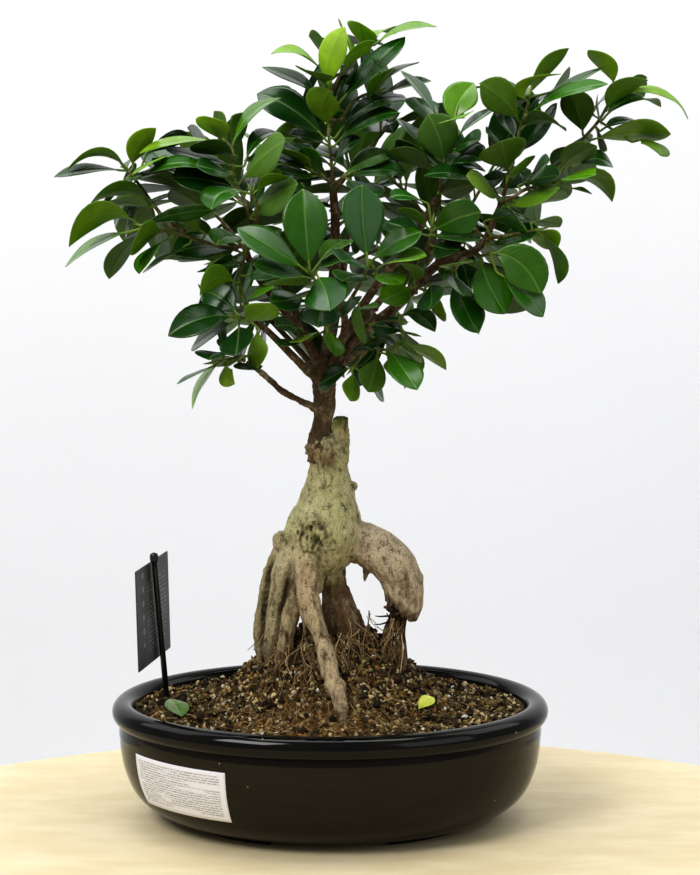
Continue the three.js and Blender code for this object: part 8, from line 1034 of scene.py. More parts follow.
# ------------------------------------------------------------------ materials
def glaze():
    m, nt, b = material("black_glaze", rough=0.08, spec=0.24)
    n = N(nt)
    co = n.coords()
    z = n.split(co)[2]
    body = n.mix(n.ramp(z, 0.054, 0.066), tuple(lin(24, 20, 9)), tuple(lin(8, 8, 9)))
    cloud = n.noise(co, 22, 4)
    col = n.mix(n.ramp(cloud, 0.35, 0.75, 0, 0.35), body, tuple(lin(32, 28, 18)))
    # dust specks and fine scuffs in the glaze
    dots = n.voronoi(co, 85)
    few = n.ramp(n.noise(co, 31, 2), 0.5, 0.56)
    speck = n.math("MULTIPLY", n.ramp(dots, 0.065, 0.035), few)
    line = n.noise(n.scale_vec(co, (30, 30, 330)), 9, 3)
    scuff = n.math("MULTIPLY", n.ramp(line, 0.69, 0.74), n.ramp(n.noise(co, 14, 2), 0.55, 0.65))
    col = n.mix(n.math("MAXIMUM", speck, n.math("MULTIPLY", scuff, 0.3)), col, tuple(lin(150, 144, 126)))
    n.put(b.inputs["Base Color"], col)
    n.put(b.inputs["Roughness"], n.ramp(cloud, 0.3, 0.8, 0.05, 0.13))
    wave = n.noise(co, 38, 2)
    n.put(b.inputs["Normal"], n.bump(wave, 0.12, 1.0, n.bump(n.noise(co, 300, 3), 0.08, 0.2)))
    return m


def bark(name, tint="tint", grain=(1, 1, 0.55), depth=0.5):
    m, nt, b = material(name, rough=0.8, spec=0.25)
    n = N(nt)
    co = n.coords()
    g = n.scale_vec(co, grain)
    base = n.attr(tint)
    big = n.noise(g, 95, 5, 0.65)
    mid = n.noise(g, 300, 5, 0.7)
    fine = n.noise(co, 950, 4, 0.7)
    col = n.mix(n.ramp(big, 0.32, 0.5, 0.42, 0.0), base, tuple(lin(72, 58, 38)))
    col = n.mix(n.ramp(big, 0.5, 0.68, 0.0, 0.4), col, tuple(lin(204, 192, 158)))
    col = n.mix(n.ramp(mid, 0.34, 0.5, 0.75, 0.0), col, tuple(lin(58, 46, 30)))
    col = n.mix(n.ramp(mid, 0.55, 0.72, 0.0, 0.4), col, tuple(lin(214, 204, 176)))
    col = n.mix(n.ramp(fine, 0.35, 0.5, 0.5, 0.0), col, tuple(lin(52, 42, 28)))
    # pitted cork and short cross cracks
    v = n.voronoi(n.scale_vec(co, (1, 1, 1.9)), 420)
    pit = n.math("MULTIPLY", n.ramp(v, 0.34, 0.12), n.ramp(n.noise(co, 140, 3), 0.5, 0.6))
    col = n.mix(n.math("MULTIPLY", pit, 0.55), col, tuple(lin(48, 38, 24)))
    n.put(b.inputs["Base Color"], col)
    n.put(b.inputs["Roughness"], n.ramp(mid, 0.3, 0.7, 0.7, 0.92))
    crack = n.voronoi(n.scale_vec(co, (1, 1, 0.5)), 260, feature="DISTANCE_TO_EDGE")
    h = n.math("ADD", n.math("MULTIPLY", n.ramp(crack, 0.0, 0.14), 0.3), n.math("ADD", n.math("MULTIPLY", mid, 1.0), n.math("MULTIPLY", big, 0.8)))
    h = n.math("SUBTRACT", n.math("ADD", h, n.math("MULTIPLY", fine, 0.4)), n.math("MULTIPLY", pit, 0.4))
    n.put(b.inputs["Normal"], n.bump(h, 0.9, depth * 1.7))
    return m


def leaf_material():
    m, nt, b = material("fig_leaf", rough=0.3, spec=0.42)
    n = N(nt)
    tint = n.attr("tint")
    s, y, side = n.split(n.attr("blade", "Vector"))          # mm along, mm across, 1 upper or 0 under
    ay = n.math("ABSOLUTE", y)
    edge = n.attr("edge", "Fac")
    co = n.coords()
    # side veins sweep forward from the midrib
    ph = n.math("SUBTRACT", s, n.math("MULTIPLY", ay, 0.62))
    vein = n.math("ABSOLUTE", n.math("SINE", n.math("MULTIPLY", ph, 1.25)))
    vein_line = n.ramp(vein, 0.16, 0.0)
    rib = n.ramp(ay, 0.75, 0.2)
    patch = n.noise(co, 130, 3)
    col = n.mix(n.ramp(patch, 0.35, 0.7, 0.22, 0.0), tint, (0.004, 0.014, 0.004))
    light = n.mix(0.45, tint, tuple(lin(128, 164, 66)))
    col = n.mix(n.math("MULTIPLY", vein_line, 0.16), col, light)
    col = n.mix(n.math("MULTIPLY", rib, 0.62), col, light)
    # painted highlight: a paler band along every leaf edge
    col = n.mix(n.math("MULTIPLY", n.ramp(edge, 0.93, 1.0), 0.4), col, light)
    n.put(b.inputs["Base Color"], col)
    under = n.ramp(side, 0.5, 0.51, 0.55, 0.25)
    n.put(b.inputs["Roughness"], n.math("ADD", under, n.math("MULTIPLY", n.math("SUBTRACT", n.noise(co, 210, 3), 0.5), 0.12)))
    h = n.math("ADD", n.math("MULTIPLY", vein_line, -0.25), n.math("MULTIPLY", rib, -0.8))
    h = n.math("ADD", h, n.math("MULTIPLY", n.noise(co, 260, 3), 0.35))
    n.put(b.inputs["Normal"], n.bump(h, 0.4, 0.35))
    return m


def grit(name, rough=0.9, depth=0.4):
    m, nt, b = material(name, rough=rough, spec=0.2)
    n = N(nt)
    co = n.coords()
    f = n.noise(co, 900, 4, 0.7)
    base = n.attr("tint")
    col = n.mix(n.ramp(f, 0.3, 0.6, 0.65, 0.0), base, (0.012, 0.008, 0.004))
    n.put(b.inputs["Base Color"], col)
    n.put(b.inputs["Normal"], n.bump(f, 0.8, depth))
    return m


def plastic(name, colour, rough, scale=1500.0):
    m, nt, b = material(name, rough=rough, spec=0.5)
    n = N(nt)
    co = n.coords()
    f = n.noise(co, scale, 2)
    c = n.mix(n.ramp(n.noise(co, 60, 3), 0.3, 0.7), tuple(np.array(colour) * 0.85), tuple(np.array(colour) * 1.2))
    n.put(b.inputs["Base Color"], c)
    n.put(b.inputs["Roughness"], n.ramp(f, 0.3, 0.7, rough - 0.05, rough + 0.08))
    n.put(b.inputs["Normal"], n.bump(f, 0.15, 0.1))
    return m


GLAZE = glaze()
ROOT_BARK = bark("root_bark")
TWIG_BARK = bark("twig_bark", grain=(1, 1, 0.8), depth=0.35)
LEAF = leaf_material()
GRIT = grit("soil_grit")
PERLITE = grit("perlite", rough=0.8, depth=0.2)
FIBRE = grit("root_fibre", rough=0.8, depth=0.1)

# ------------------------------------------------------------------ pot
def potprofile():
    rim = lambda d: (132.5 + 7.5 * math.cos(math.radians(d)), 99.5 + 7.5 * math.cos(math.radians(d)), 69.3 + 7.5 * math.sin(math.radians(d)))
    wall = lambda a, z: (a, a * RATIO, z)
    inner = lambda a, z: (a, a - (POT_A - POT_B), z)
    under = [(0.01, 0.01, 3.5), wall(40, 3.5), wall(87.4, 3.5), wall(88.1, 3.0), wall(88.5, 0.6), wall(89.3, 0.0), wall(95.3, 0.0), wall(96.2, 0.6), wall(96.9, 3.0), wall(98.5, 3.7)]
    body = curve([wall(98.5, 3.7), wall(108, 5.2), wall(118, 10.4), wall(126.5, 19), wall(132.5, 33), wall(134.8, 45), wall(135.4, 53)], 7)[1:]
    groove = curve([wall(135.4, 53), wall(135.7, 56.0), wall(135.7, 59.0), rim(-62)], 4)[1:-1]
    roll = [rim(d) for d in range(-62, 166, 9)]
    inside = curve([rim(165), inner(125.6, 64), inner(127.4, 48), inner(124.5, 27), inner(114, 14), inner(97, 8.6)], 4)[1:]
    return np.array(under + [tuple(p) for p in body] + [tuple(p) for p in groove] + roll + [tuple(p) for p in inside] + [(40, 30, 8.5), (0.01, 0.01, 8.5)])


PROFILE = potprofile()
_k = int(np.argmax(PROFILE[:, 2] > 60.5))
WALL_Z, WALL_A = PROFILE[9:_k, 2], PROFILE[9:_k, 0]


def potwall(z, theta, off=0.0):
    a = np.interp(z, WALL_Z, WALL_A)
    x, y = a * math.cos(theta), a * RATIO * math.sin(theta)
    nrm = unit([math.cos(theta) / 1.0, math.sin(theta) / RATIO, 0])
    return np.array([x, y, z]) + nrm * off


def pot():
    SEG = 224
    th = np.arange(SEG) * 2 * math.pi / SEG
    V = []
    for a, b, z in PROFILE:
        ring = np.stack([a * np.cos(th), b * np.sin(th), np.full(SEG, z)], 1)
        if z < 3.2:
            gap = (np.abs(ring[:, 0]) < 35) | (np.abs(ring[:, 1]) < 18)
            ring[gap, 2] = 3.5
        V.append(ring)
    n = len(PROFILE)
    V = np.vstack(V)
    F = [[i * SEG + j, i * SEG + (j + 1) % SEG, (i + 1) * SEG + (j + 1) % SEG, (i + 1) * SEG + j] for i in range(n - 1) for j in range(SEG)]
    F = [f[::-1] for f in F] if False else F
    F.append([j for j in range(SEG)][::-1])
    F.append([(n - 1) * SEG + j for j in range(SEG)])
    me = bpy.data.meshes.new("pot_tmp")
    me.from_pydata((V / 1000).tolist(), [], F)
    ob = bpy.data.objects.new("pot_tmp", me)
    bpy.context.scene.collection.objects.link(ob)
    cutters = []
    for x in (-45, 45):
        cv, cf = tube([[x, 0, -3, 7], [x, 0, 5, 7], [x, 0, 14, 7]], 40)
        cm = bpy.data.meshes.new("cut")
        cm.from_pydata((cv / 1000).tolist(), [], cf)
        c = bpy.data.objects.new("cut", cm)
        bpy.context.scene.collection.objects.link(c)
        bo = ob.modifiers.new("b", "BOOLEAN")
        bo.operation, bo.object, bo.solver = "DIFFERENCE", c, "EXACT"
        cutters.append(c)
    bpy.context.view_layer.update()
    out = evaluated(ob)
    co = np.zeros(len(out.vertices) * 3)
    out.vertices.foreach_get("co", co)
    F = [list(p.vertices) for p in out.polygons]
    for o in [ob] + cutters:
        bpy.data.objects.remove(o)
    piece = build("glazed_oval_pot", co.reshape(-1, 3) * 1000, F, GLAZE, replaces=["oval_pot"])
    bpy.context.view_layer.objects.active = piece
    piece.select_set(True)
    bpy.ops.object.shade_smooth_by_angle(angle=math.radians(38))
    piece.select_set(False)


pot()


# ------------------------------------------------------------------ soil
def mound(x, y):
    rho = np.hypot(x / MOUND[1], (y - MOUND[4]) / MOUND[2])
    return SOIL_EDGE + MOUND[0] * np.exp(-(rho ** MOUND[3]))


def soil_height(x, y):
    """Mound with clods and hollows."""
    p = Vector((x / 11.0, y / 11.0, 0.3))
    q = Vector((x / 3.4, y / 3.4, 5.1))
    e = (x / 124.9) ** 2 + (y / 91.9) ** 2
    fade = max(0.0, min(1.0, (1.0 - e) * 6))
    bulge = max(0.0, 1 - math.hypot(x / 62, y / 50))
    return float(mound(x, y)) + fade * ((1.9 + 1.6 * bulge) * noise.fractal(p, 1.0, 2.0, 3) + 1.0 * noise.fractal(q, 1.0, 2.0, 2)) - (1 - fade) * 0.8


def soil():
    R, S = 120, 320
    V, C = [], []
    dark, mid, warm = lin(30, 24, 15), lin(88, 72, 44), lin(138, 94, 42)
    for k in range(1, R + 1):
        rho = k / R
        for j in range(S):
            a = 2 * math.pi * j / S
            x, y = rho * 124.9 * math.cos(a), rho * 91.9 * math.sin(a)
            z = soil_height(x, y)
            V.append((x, y, z))
            t = 0.5 + 0.5 * noise.noise(Vector((x / 6, y / 6, 1.7)))
            w = max(0.0, 1 - math.hypot((x + 5) / 55, (y + 62) / 26))
            C.append((dark * (1 - t) + mid * t) * (1 - 0.7 * w) + warm * 0.7 * w)
    V.append((0, 0, soil_height(0, 0)))
    C.append(mid)
    top = len(V) - 1
    base = []
    for j in range(S):
        a = 2 * math.pi * j / S
        V.append((95 * math.cos(a), 62 * math.sin(a), 10.4))
        C.append(dark)
    F = [[top, j, (j + 1) % S] for j in range(S)]
    for k in range(R - 1):
        for j in range(S):
            a, b = k * S + j, k * S + (j + 1) % S
            F.append([a, a + S, b + S, b])
    o, b0 = (R - 1) * S, top + 1
    ring = []
    for z, a, b in ((48, 126.4, 93.4), (27, 123.6, 90.6), (14, 113, 80)):
        ring.append(len(V))
        for j in range(S):
            t = 2 * math.pi * j / S
            V.append((a * math.cos(t), b * math.sin(t), z))
            C.append(dark)
    chain = [o] + ring + [b0]
    for p, q in zip(chain[:-1], chain[1:]):
        for j in range(S):
            k = (j + 1) % S
            F.append([p + j, q + j, q + k, p + k])
    F.append([b0 + j for j in range(S)][::-1])
    build("potting_soil", V, F, GRIT, replaces=["soil"], attrs={"tint": ("color", np.array(C))})


soil()

ICO = None


def ico():
    """Icosahedron once split: 42 vertices."""
    global ICO
    if ICO is None:
        import bmesh
        bm = bmesh.new()
        bmesh.ops.create_icosphere(bm, subdivisions=1, radius=1.0)
        bm.verts.ensure_lookup_table()
        v = np.array([x.co[:] for x in bm.verts])
        f = [[x.index for x in p.verts] for p in bm.faces]
        bm.free()
        ICO = (v, f)
    return ICO


def rot(rg):
    q = rg.normal(size=4)
    q /= np.linalg.norm(q)
    w, x, y, z = q
    return np.array([[1 - 2 * (y * y + z * z), 2 * (x * y - z * w), 2 * (x * z + y * w)], [2 * (x * y + z * w), 1 - 2 * (x * x + z * z), 2 * (y * z - x * w)], [2 * (x * z - y * w), 2 * (y * z + x * w), 1 - 2 * (x * x + y * y)]])


def on_soil(rg, spread=1.0):
    while True:
        x, y = rg.uniform(-122, 122), rg.uniform(-89, 89)
        if (x / 122.5) ** 2 + (y / 89.5) ** 2 < spread:
            return x, y


def grains():
    """Crumbs, bark bits and perlite lying in the surface."""
    rg = np.random.default_rng(21)
    v0, f0 = ico()
    kinds = {
        "soil_crumbs": (GRIT, 5600, (0.8, 2.0), 0.75, [lin(118, 104, 68), lin(84, 72, 42), lin(28, 21, 13), lin(178, 162, 120), lin(128, 92, 44)], [0.2, 0.24, 0.32, 0.14, 0.1]),
        "soil_clods": (GRIT, 560, (1.9, 3.6), 0.8, [lin(52, 42, 26), lin(34, 26, 16), lin(84, 72, 46)], [0.4, 0.35, 0.25]),
        "bark_bits": (GRIT, 1100, (1.1, 2.6), 0.45, [lin(92, 64, 40), lin(140, 110, 74), lin(172, 146, 104), lin(58, 44, 30)], [0.3, 0.28, 0.2, 0.22]),
        "perlite_grains": (PERLITE, 600, (0.6, 1.9), 0.85, [lin(226, 218, 196), lin(204, 192, 162), lin(172, 156, 122)], [0.4, 0.35, 0.25]),
    }
    for name, (mat, count, (lo, hi), flat, cols, share) in kinds.items():
        soup = Soup()
        for _ in range(count):
            x, y = on_soil(rg)
            if name != "perlite_grains" and rg.random() < 0.3:
                x, y = rg.normal(0, 34), rg.normal(-22, 20)
                if (x / 122) ** 2 + (y / 89) ** 2 > 0.9:
                    continue
            if name == "perlite_grains" and rg.random() < 0.35:
                x, y = rg.normal(-8, 30), rg.normal(-34, 20)
                if (x / 122) ** 2 + (y / 89) ** 2 > 0.9:
                    continue
            size = rg.uniform(lo, hi) * (1 if rg.random() > 0.1 else 1.35)
            dims = size * np.array([1.0, rg.uniform(flat * 0.7, 1.0), rg.uniform(flat * 0.5, flat)]) * (np.array([1.5, 0.75, 0.6]) if name == "bark_bits" else 1)
            v = v0 * (1 + 0.22 * rg.normal(size=(len(v0), 1))) * dims
            v = v @ rot(rg).T
            z = soil_height(x, y) + size * rg.uniform(-0.15, 0.55)
            c = np.clip(cols[rg.choice(len(cols), p=share)] * (1.55 if "perlite" not in name else 1.15) * rg.uniform(0.7, 1.25), 0, 0.85)
            soup.add(v + [x, y, z], f0, c)
        v, f, c = soup.arrays()
        build(name, v, f, mat, smooth=False, attrs={"tint": ("color", c)})


grains()


def strand(soup, pts, r0, r1, colour, sides=5, per=3):
    rows = curve([list(p) for p in pts], per)
    rr = np.linspace(r0, r1, len(rows))
    v, f = tube(np.column_stack([rows[:, :3], rr]), sides)
    soup.add(v, f, colour)


def fibres():
    """Fine roots matted on the soil, thickest in front of the trunk."""
    rg = np.random.default_rng(5)
    soup = Soup()
    cols = [lin(158, 122, 70), lin(134, 98, 54), lin(186, 158, 108), lin(102, 74, 44), lin(208, 186, 142)]
    for i in range(1250):
        if i < 900:
            x, y = rg.normal(-10, 34), rg.normal(-56, 16)
            L = rg.uniform(7, 24)
        else:
            x, y = on_soil(rg, 0.93)
            L = rg.uniform(7, 20)
        a = rg.uniform(0, 2 * math.pi)
        bend = rg.normal(0, 0.5)
        lift = rg.uniform(0.2, 1.6)
        pts = []
        for k in range(6):
            if (x / 121) ** 2 + (y / 88) ** 2 > 1:
                break
            pts.append((x, y, soil_height(x, y) + lift * (0.6 + 1.1 * math.sin(math.pi * k / 5)) + rg.normal(0, 0.25)))
            x, y = x + L / 5 * math.cos(a), y + L / 5 * math.sin(a)
            a += bend * 0.5 + rg.normal(0, 0.25)
        if len(pts) > 2:
            r = rg.choice([0.13, 0.18, 0.26, 0.4], p=[0.4, 0.35, 0.2, 0.05])
            strand(soup, pts, r, r * 0.5, cols[rg.choice(5, p=[0.3, 0.25, 0.2, 0.15, 0.1])] * rg.uniform(0.7, 1.15), 4, 2)
    v, f, c = soup.arrays()
    build("fine_roots_on_soil", v, f, FIBRE, attrs={"tint": ("color", c)})


fibres()


# ------------------------------------------------------------------ trunk and thick roots
def fluted(k, seed, amount):
    rg = np.random.default_rng(seed)
    ph = rg.uniform(0, 6.28, 4)
    return lambda i, a: 1 + amount * (0.55 * math.sin(2 * a + ph[0] + 0.12 * i) + 0.4 * math.sin(3 * a + ph[1] - 0.1 * i) + 0.25 * math.sin(5 * a + ph[2] + 0.2 * i))


COLOURS = {
    "trunk": lin(178, 172, 130), "left_root": lin(166, 156, 124), "left_inner_root": lin(160, 144, 112), "front_root": lin(178, 158, 126),
    "left_knob": lin(160, 148, 118), "left_web": lin(168, 154, 122), "middle_root": lin(104, 80, 54), "back_root": lin(96, 80, 58), "aerial_root": lin(146, 136, 102), "arch_root": lin(178, 162, 136),
    "stub": lin(150, 142, 90), "right_nub": lin(140, 132, 94), "under_nub": lin(140, 126, 98), "twist_root": lin(158, 140, 108), "heel": lin(120, 92, 60),
}


def rootstock():
    soup = Soup()
    names = [k for k in LIMBS if k not in ("stem", "rootlet_column")]
    paths = {}
    for i, k in enumerate(names):
        rows = curve(LIMBS[k], 7)
        paths[k] = rows
        amt = {"trunk": 0.045, "arch_root": 0.04, "stub": 0.12, "middle_root": 0.07}.get(k, 0.09)
        v, f = tube(rows, 30, fluted(i, 40 + i, amt))
        soup.add(v, f, (0, 0, 0))
    # webs of bark where the roots leave the trunk
    for a, b, r in (((-20, -5, 172), (-24, -12, 150), 8.0), ((-14, -12, 176), (-20, -12, 158), 7.5), ((0, -6, 176), (-2, -10, 158), 8.0), ((8, -3, 186), (20, -3, 178), 11.0), ((2, 2, 172), (3, 6, 152), 7.0), ((-6, -8, 170), (-11, -16, 152), 7.0)):
        v, f = tube(curve([[*a, r], [*((np.array(a) + b) / 2), r * 0.9], [*b, r * 0.45]], 5), 20)
        soup.add(v, f, (0, 0, 0))
    # lumps round the graft and the scar on the belly
    rg = np.random.default_rng(3)
    v0, f0 = ico()
    for k in range(46):
        a = rg.uniform(math.pi * 0.9, math.pi * 1.75) if k % 4 else rg.uniform(0, 2 * math.pi)
        z = rg.uniform(228.5, 243) if math.cos(a) < 0.35 else rg.uniform(226, 233)
        r = 12.1 if z < 234 else 10.6
        p = np.array([(-2.2 if z < 234 else -4.6) + r * 0.93 * math.cos(a), -0.5 + r * 0.9 * math.sin(a), z])
        soup.add(v0 * rg.uniform(1.2, 2.6) * np.array([1, 1, rg.uniform(0.7, 1.3)]) + p, f0, (0, 0, 0))
    for k in range(34):
        a = 2 * math.pi * k / 34 + rg.normal(0, 0.1)
        p = np.array([-10.5 + 8.4 * math.cos(a), -24.2 + 1.2 * math.cos(a) + 2.1 * abs(math.cos(a)), 185.0 + 8.8 * math.sin(a)])
        soup.add(v0 * rg.uniform(1.4, 2.5) + p, f0, (0, 0, 0))
    for k in range(12):
        a = rg.uniform(0, 6.28); d = 5 * math.sqrt(rg.random())
        soup.add(v0 * rg.uniform(1.1, 2.2) + np.array([-10.5 + d * math.cos(a), -23.6, 185 + d * math.sin(a)]), f0, (0, 0, 0))
    V, F, _ = soup.arrays()
    co, no, F = remeshed(V, F, 0.85, 5)
    up = np.array([0, 0, 1.0])
    # bark relief
    n1 = fbm(co, 9.0, 4, 1.3)
    n2 = fbm(co * [1, 1, 0.5], 2.6, 3, 7.7)
    n3 = fbm(co, 24.0, 2, 4.2)
    graft = np.clip(1.5 - np.abs(co[:, 2] - 235) / 6.5, 0, 1) * np.clip((5.5 - co[:, 0]) / 5, 0, 1)
    scar = np.clip(1.25 - np.linalg.norm((co - [-10.5, -23, 185]) * [1, 0.6, 1], axis=1) / 12, 0, 1)
    stubm = np.clip((co[:, 2] - 236) / 8, 0, 1)
    low = np.clip((128 - co[:, 2]) / 30, 0, 1)
    d = 0.6 * n1 + 0.36 * n2 + 0.9 * n3 + graft * (1.1 * n2 + 0.6 * n1) + scar * 1.0 * n2 + stubm * 0.9 * n2 + low * 0.5 * n1
    cutn = unit([-0.58, -0.12, -0.81])
    near = np.clip(1.6 - np.linalg.norm((co - [43.0, -8, 134.0]), axis=1) / 15, 0, 1)
    past = (co - [42.5, -10, 136.5]) @ cutn
    heel = np.clip(near * 3, 0, 1) * np.clip((past + 5.0) / 3.5, 0, 1)
    co = co + no * d[:, None]
    sink = np.clip(past - 0.4 - 1.6 * n2 - 1.2 * n1, 0, 30) * np.clip(near * 4, 0, 1)
    co = co - cutn * sink[:, None]
    # which limb each point belongs to, for its colour
    W, Cc = np.zeros(len(co)), np.zeros((len(co), 3))
    gaps = []
    for k, rows in paths.items():
        best = np.full(len(co), 1e9)
        for r in rows[::2]:
            np.minimum(best, np.linalg.norm(co - r[:3], axis=1) - r[3], out=best)
        w = np.exp(-np.clip(best + 2, 0, 30) / 1.6)
        if k in ("left_root", "left_inner_root", "front_root", "aerial_root", "middle_root"):
            gaps.append(best)
        W += w
        Cc += w[:, None] * COLOURS[k]
    C = Cc / np.maximum(W, 1e-9)[:, None]
    gaps = np.sort(np.array(gaps), axis=0)
    seam = np.exp(-((gaps[1] - gaps[0]) / 1.9) ** 2) * np.clip((170 - co[:, 2]) / 10, 0, 1) * np.clip(1.2 - gaps[0] / 5, 0, 1)
    rib = np.clip(fbm(co * [1, 1, 0.12], 3.4, 3, 5.5) * 1.6, -1, 1) * np.clip((172 - co[:, 2]) / 14, 0, 1)
    co = co - no * (3.4 * seam * (0.7 + 0.5 * n1) - 0.7 * rib)[:, None]

    def blend(mask, colour):
        nonlocal C
        m = np.clip(mask, 0, 1)[:, None]
        C = C * (1 - m) + colour * m

    z = co[:, 2]
    # painted shade: dark lines down the grooves between the roots, and darker bark in the sunken furrows of the ribbing
    blend(seam * 1.1, lin(56, 44, 28))
    blend(np.clip(-rib, 0, 1) * 0.55, lin(92, 78, 54))
    green = np.clip((z - 176) / 14, 0, 1) * np.clip((236 - z) / 6, 0, 1) * np.clip(0.55 + 0.9 * n3 + 0.4 * n1, 0, 1)
    blend(green * 0.36 * np.clip((13 - co[:, 0]) / 6, 0, 1) * np.clip(0.6 + n2, 0.2, 1), lin(134, 146, 72))
    blend(np.clip(scar * 1.5, 0, 1) * np.clip(0.5 - n2 * 1.6, 0, 1) * 1.2, lin(40, 38, 18))
    blend(scar * np.clip(n1 * 1.2, 0, 0.7), lin(120, 132, 52))
    blend(graft * np.clip(0.75 + 0.8 * n1, 0, 1), lin(112, 74, 46))
    blend(graft * np.clip(-n2 * 2.2, 0, 1) * 0.9, lin(34, 20, 13))
    blend(stubm * np.clip(-n2 * 1.2 + 0.1, 0, 1) * 0.7, lin(50, 40, 22))
    blend(np.clip((z - 253) / 4, 0, 1) * 0.75, lin(46, 40, 26))
    blend(np.clip((z - 247) / 8, 0, 1) * np.clip((co[:, 0] < 8) * 1.0, 0, 1) * 0.5, lin(112, 126, 42))
    # darker brown over the lowest 14 mm above the soil, and the dark cut end of the arched root
    h = np.array([float(mound(x, y)) for x, y in co[:, :2]])
    blend(np.clip(1 - (z - h) / 14, 0, 1) * 0.6, lin(70, 54, 34))
    blend(heel * np.clip(1.1 + n1, 0, 1) * 0.95, lin(52, 37, 24))
    blend(heel * np.clip(n2 * 1.5, 0, 1) * 0.5, lin(104, 80, 54))
    blend(np.clip(n1 - 0.1, 0, 1) * 0.35, lin(186, 172, 140))
    # painted shade darkens the downward-facing faces, and the hollows of the bark relief are darkened too
    blend(np.clip(-no[:, 2] - 0.35, 0, 1) * 0.35, lin(78, 62, 42))
    blend(np.clip(-n1 - 0.1, 0, 1) * 0.5, lin(92, 80, 54))
    build("rootstock", co, F, ROOT_BARK, replaces=["rootstock_trunk"], attrs={"tint": ("color", np.clip(C * 1.16, 0, 1))})


rootstock()


def rootlets():
    """The broken fine roots under the arched root, and a few on the others."""
    rg = np.random.default_rng(12)
    soup = Soup()
    col = curve(LIMBS["rootlet_column"], 3)
    cols = [lin(146, 120, 86), lin(188, 164, 126), lin(92, 70, 50), lin(124, 102, 72)]
    v0, f0 = ico()
    for i in range(64):
        a, rr = rg.uniform(0, 6.28), 8.6 * math.sqrt(rg.random())
        p = np.array([42.6, -11.0, 134.6]) + rr * math.cos(a) * np.array([0.81, 0, -0.58]) + rr * math.sin(a) * np.array([0, 1.0, 0]) + rg.uniform(-0.5, 2.6) * unit([-0.58, -0.12, -0.81])
        soup.add((v0 * rg.uniform(0.8, 2.3, 3)) @ rot(rg).T + p, f0, [lin(52, 37, 24), lin(34, 24, 16), lin(88, 64, 42)][rg.choice(3)] * rg.uniform(0.8, 1.3))
    for i in range(74):
        a, rr = rg.uniform(0, 6.28), math.sqrt(rg.random())
        pts = []
        for k, r in enumerate(col[::2]):
            a += rg.normal(0, 0.7)
            q = rr * (0.95 + 0.32 * k)
            pts.append((r[0] + r[3] * q * math.cos(a), r[1] + r[3] * q * math.sin(a), r[2]))
        r0 = rg.uniform(0.25, 0.8)
        strand(soup, pts, r0, r0 * 0.6, cols[rg.choice(4)] * rg.uniform(0.7, 1.2), 6, 4)
    # stiff dark spurs pointing left out of the cut end
    for dx, dz, L in ((-1, 0.1, 13), (-1, -0.5, 11), (-0.7, 0.35, 8), (-0.5, -0.9, 12), (-0.9, -0.2, 15), (-0.3, -1, 14)):
        p = np.array([42.0, -10.0, 131.0]) + rg.normal(0, 1.2, 3)
        d = unit([dx, rg.uniform(-0.4, 0.2), dz])
        pts = [p + d * L * t + rg.normal(0, 0.6, 3) * t for t in (0, 0.35, 0.7, 1)]
        strand(soup, pts, 0.9, 0.3, lin(44, 32, 22), 6, 4)
    # pale strands round the foot of the trunk
    for i in range(90):
        a = rg.uniform(math.pi * 0.95, math.pi * 2.05)
        p = np.array([-6 + 30 * math.cos(a), -8 + 24 * math.sin(a), 0.0])
        p[2] = float(mound(p[0], p[1])) + rg.uniform(4, 22)
        d = unit([rg.normal(0, 1), rg.normal(-0.6, 0.5), -1.2])
        pts = []
        for t in np.linspace(0, 1, 5):
            q = p + d * 22 * t + rg.normal(0, 0.8, 3)
            q[2] = max(q[2], soil_height(q[0], q[1]) - 0.3)
            pts.append(q)
        r0 = rg.uniform(0.15, 0.5)
        strand(soup, pts, r0, r0 * 0.5, cols[rg.choice(4)] * rg.uniform(0.8, 1.3), 5, 3)
    v, f, c = soup.arrays()
    build("rootlets", v, f, FIBRE, attrs={"tint": ("color", c)})


rootlets()


# ------------------------------------------------------------------ grafted stem and branches
def stem():
    soup = Soup()
    rows = curve([[-5.7, -2, 229.5, 9.2]] + LIMBS["stem"], 7)
    v, f = tube(rows, 28, fluted(0, 91, 0.06))
    soup.add(v, f, (0, 0, 0))
    rg = np.random.default_rng(8)
    v0, f0 = ico()
    for k, b in enumerate(BRANCHES.values()):
        n = len(b["path"]) - 1
        rows = curve([[*p, b["r0"] + (b["r1"] - b["r0"]) * i / n] for i, p in enumerate(b["path"])], 6)
        v, f = tube(rows, 14, fluted(k, 60 + k, 0.06))
        soup.add(v, f, (0, 0, 0))
        # leaf scars and spur knots
        for i in range(5, len(rows) - 3, 5):
            a = rg.normal(0, 1, 3)
            soup.add(v0 * rows[i, 3] * rg.uniform(0.5, 0.75) + rows[i, :3] + unit(a) * rows[i, 3] * 0.75, f0, (0, 0, 0))
    V, F, _ = soup.arrays()
    co, no, F = remeshed(V, F, 0.62, 3)
    n1 = fbm(co, 6.0, 3, 9.3)
    n2 = fbm(co, 1.9, 3, 2.2)
    thick = np.clip((300 - co[:, 2]) / 12, 0.12, 1)
    co = co + no * ((0.5 * n1 + 0.4 * n2) * thick)[:, None]
    z = co[:, 2]
    t = np.clip((z - 262) / 60, 0, 1)[:, None]
    C = lin(98, 80, 58) * (1 - t) + lin(82, 60, 40) * t
    lite = np.clip(n1 * 1.3, 0, 1)[:, None] * 0.6
    C = C * (1 - lite) + lin(136, 118, 90) * lite
    dark = np.clip(-n2 * 1.4, 0, 1)[:, None] * 0.5
    C = C * (1 - dark) + lin(40, 28, 18) * dark
    g = np.clip(1 - np.abs(z - 236) / 9, 0, 1)[:, None] * 0.7
    C = C * (1 - g) + lin(84, 54, 28) * g
    build("stem_and_branches", co, F, TWIG_BARK, replaces=["grafted_stem"], attrs={"tint": ("color", C)})


stem()


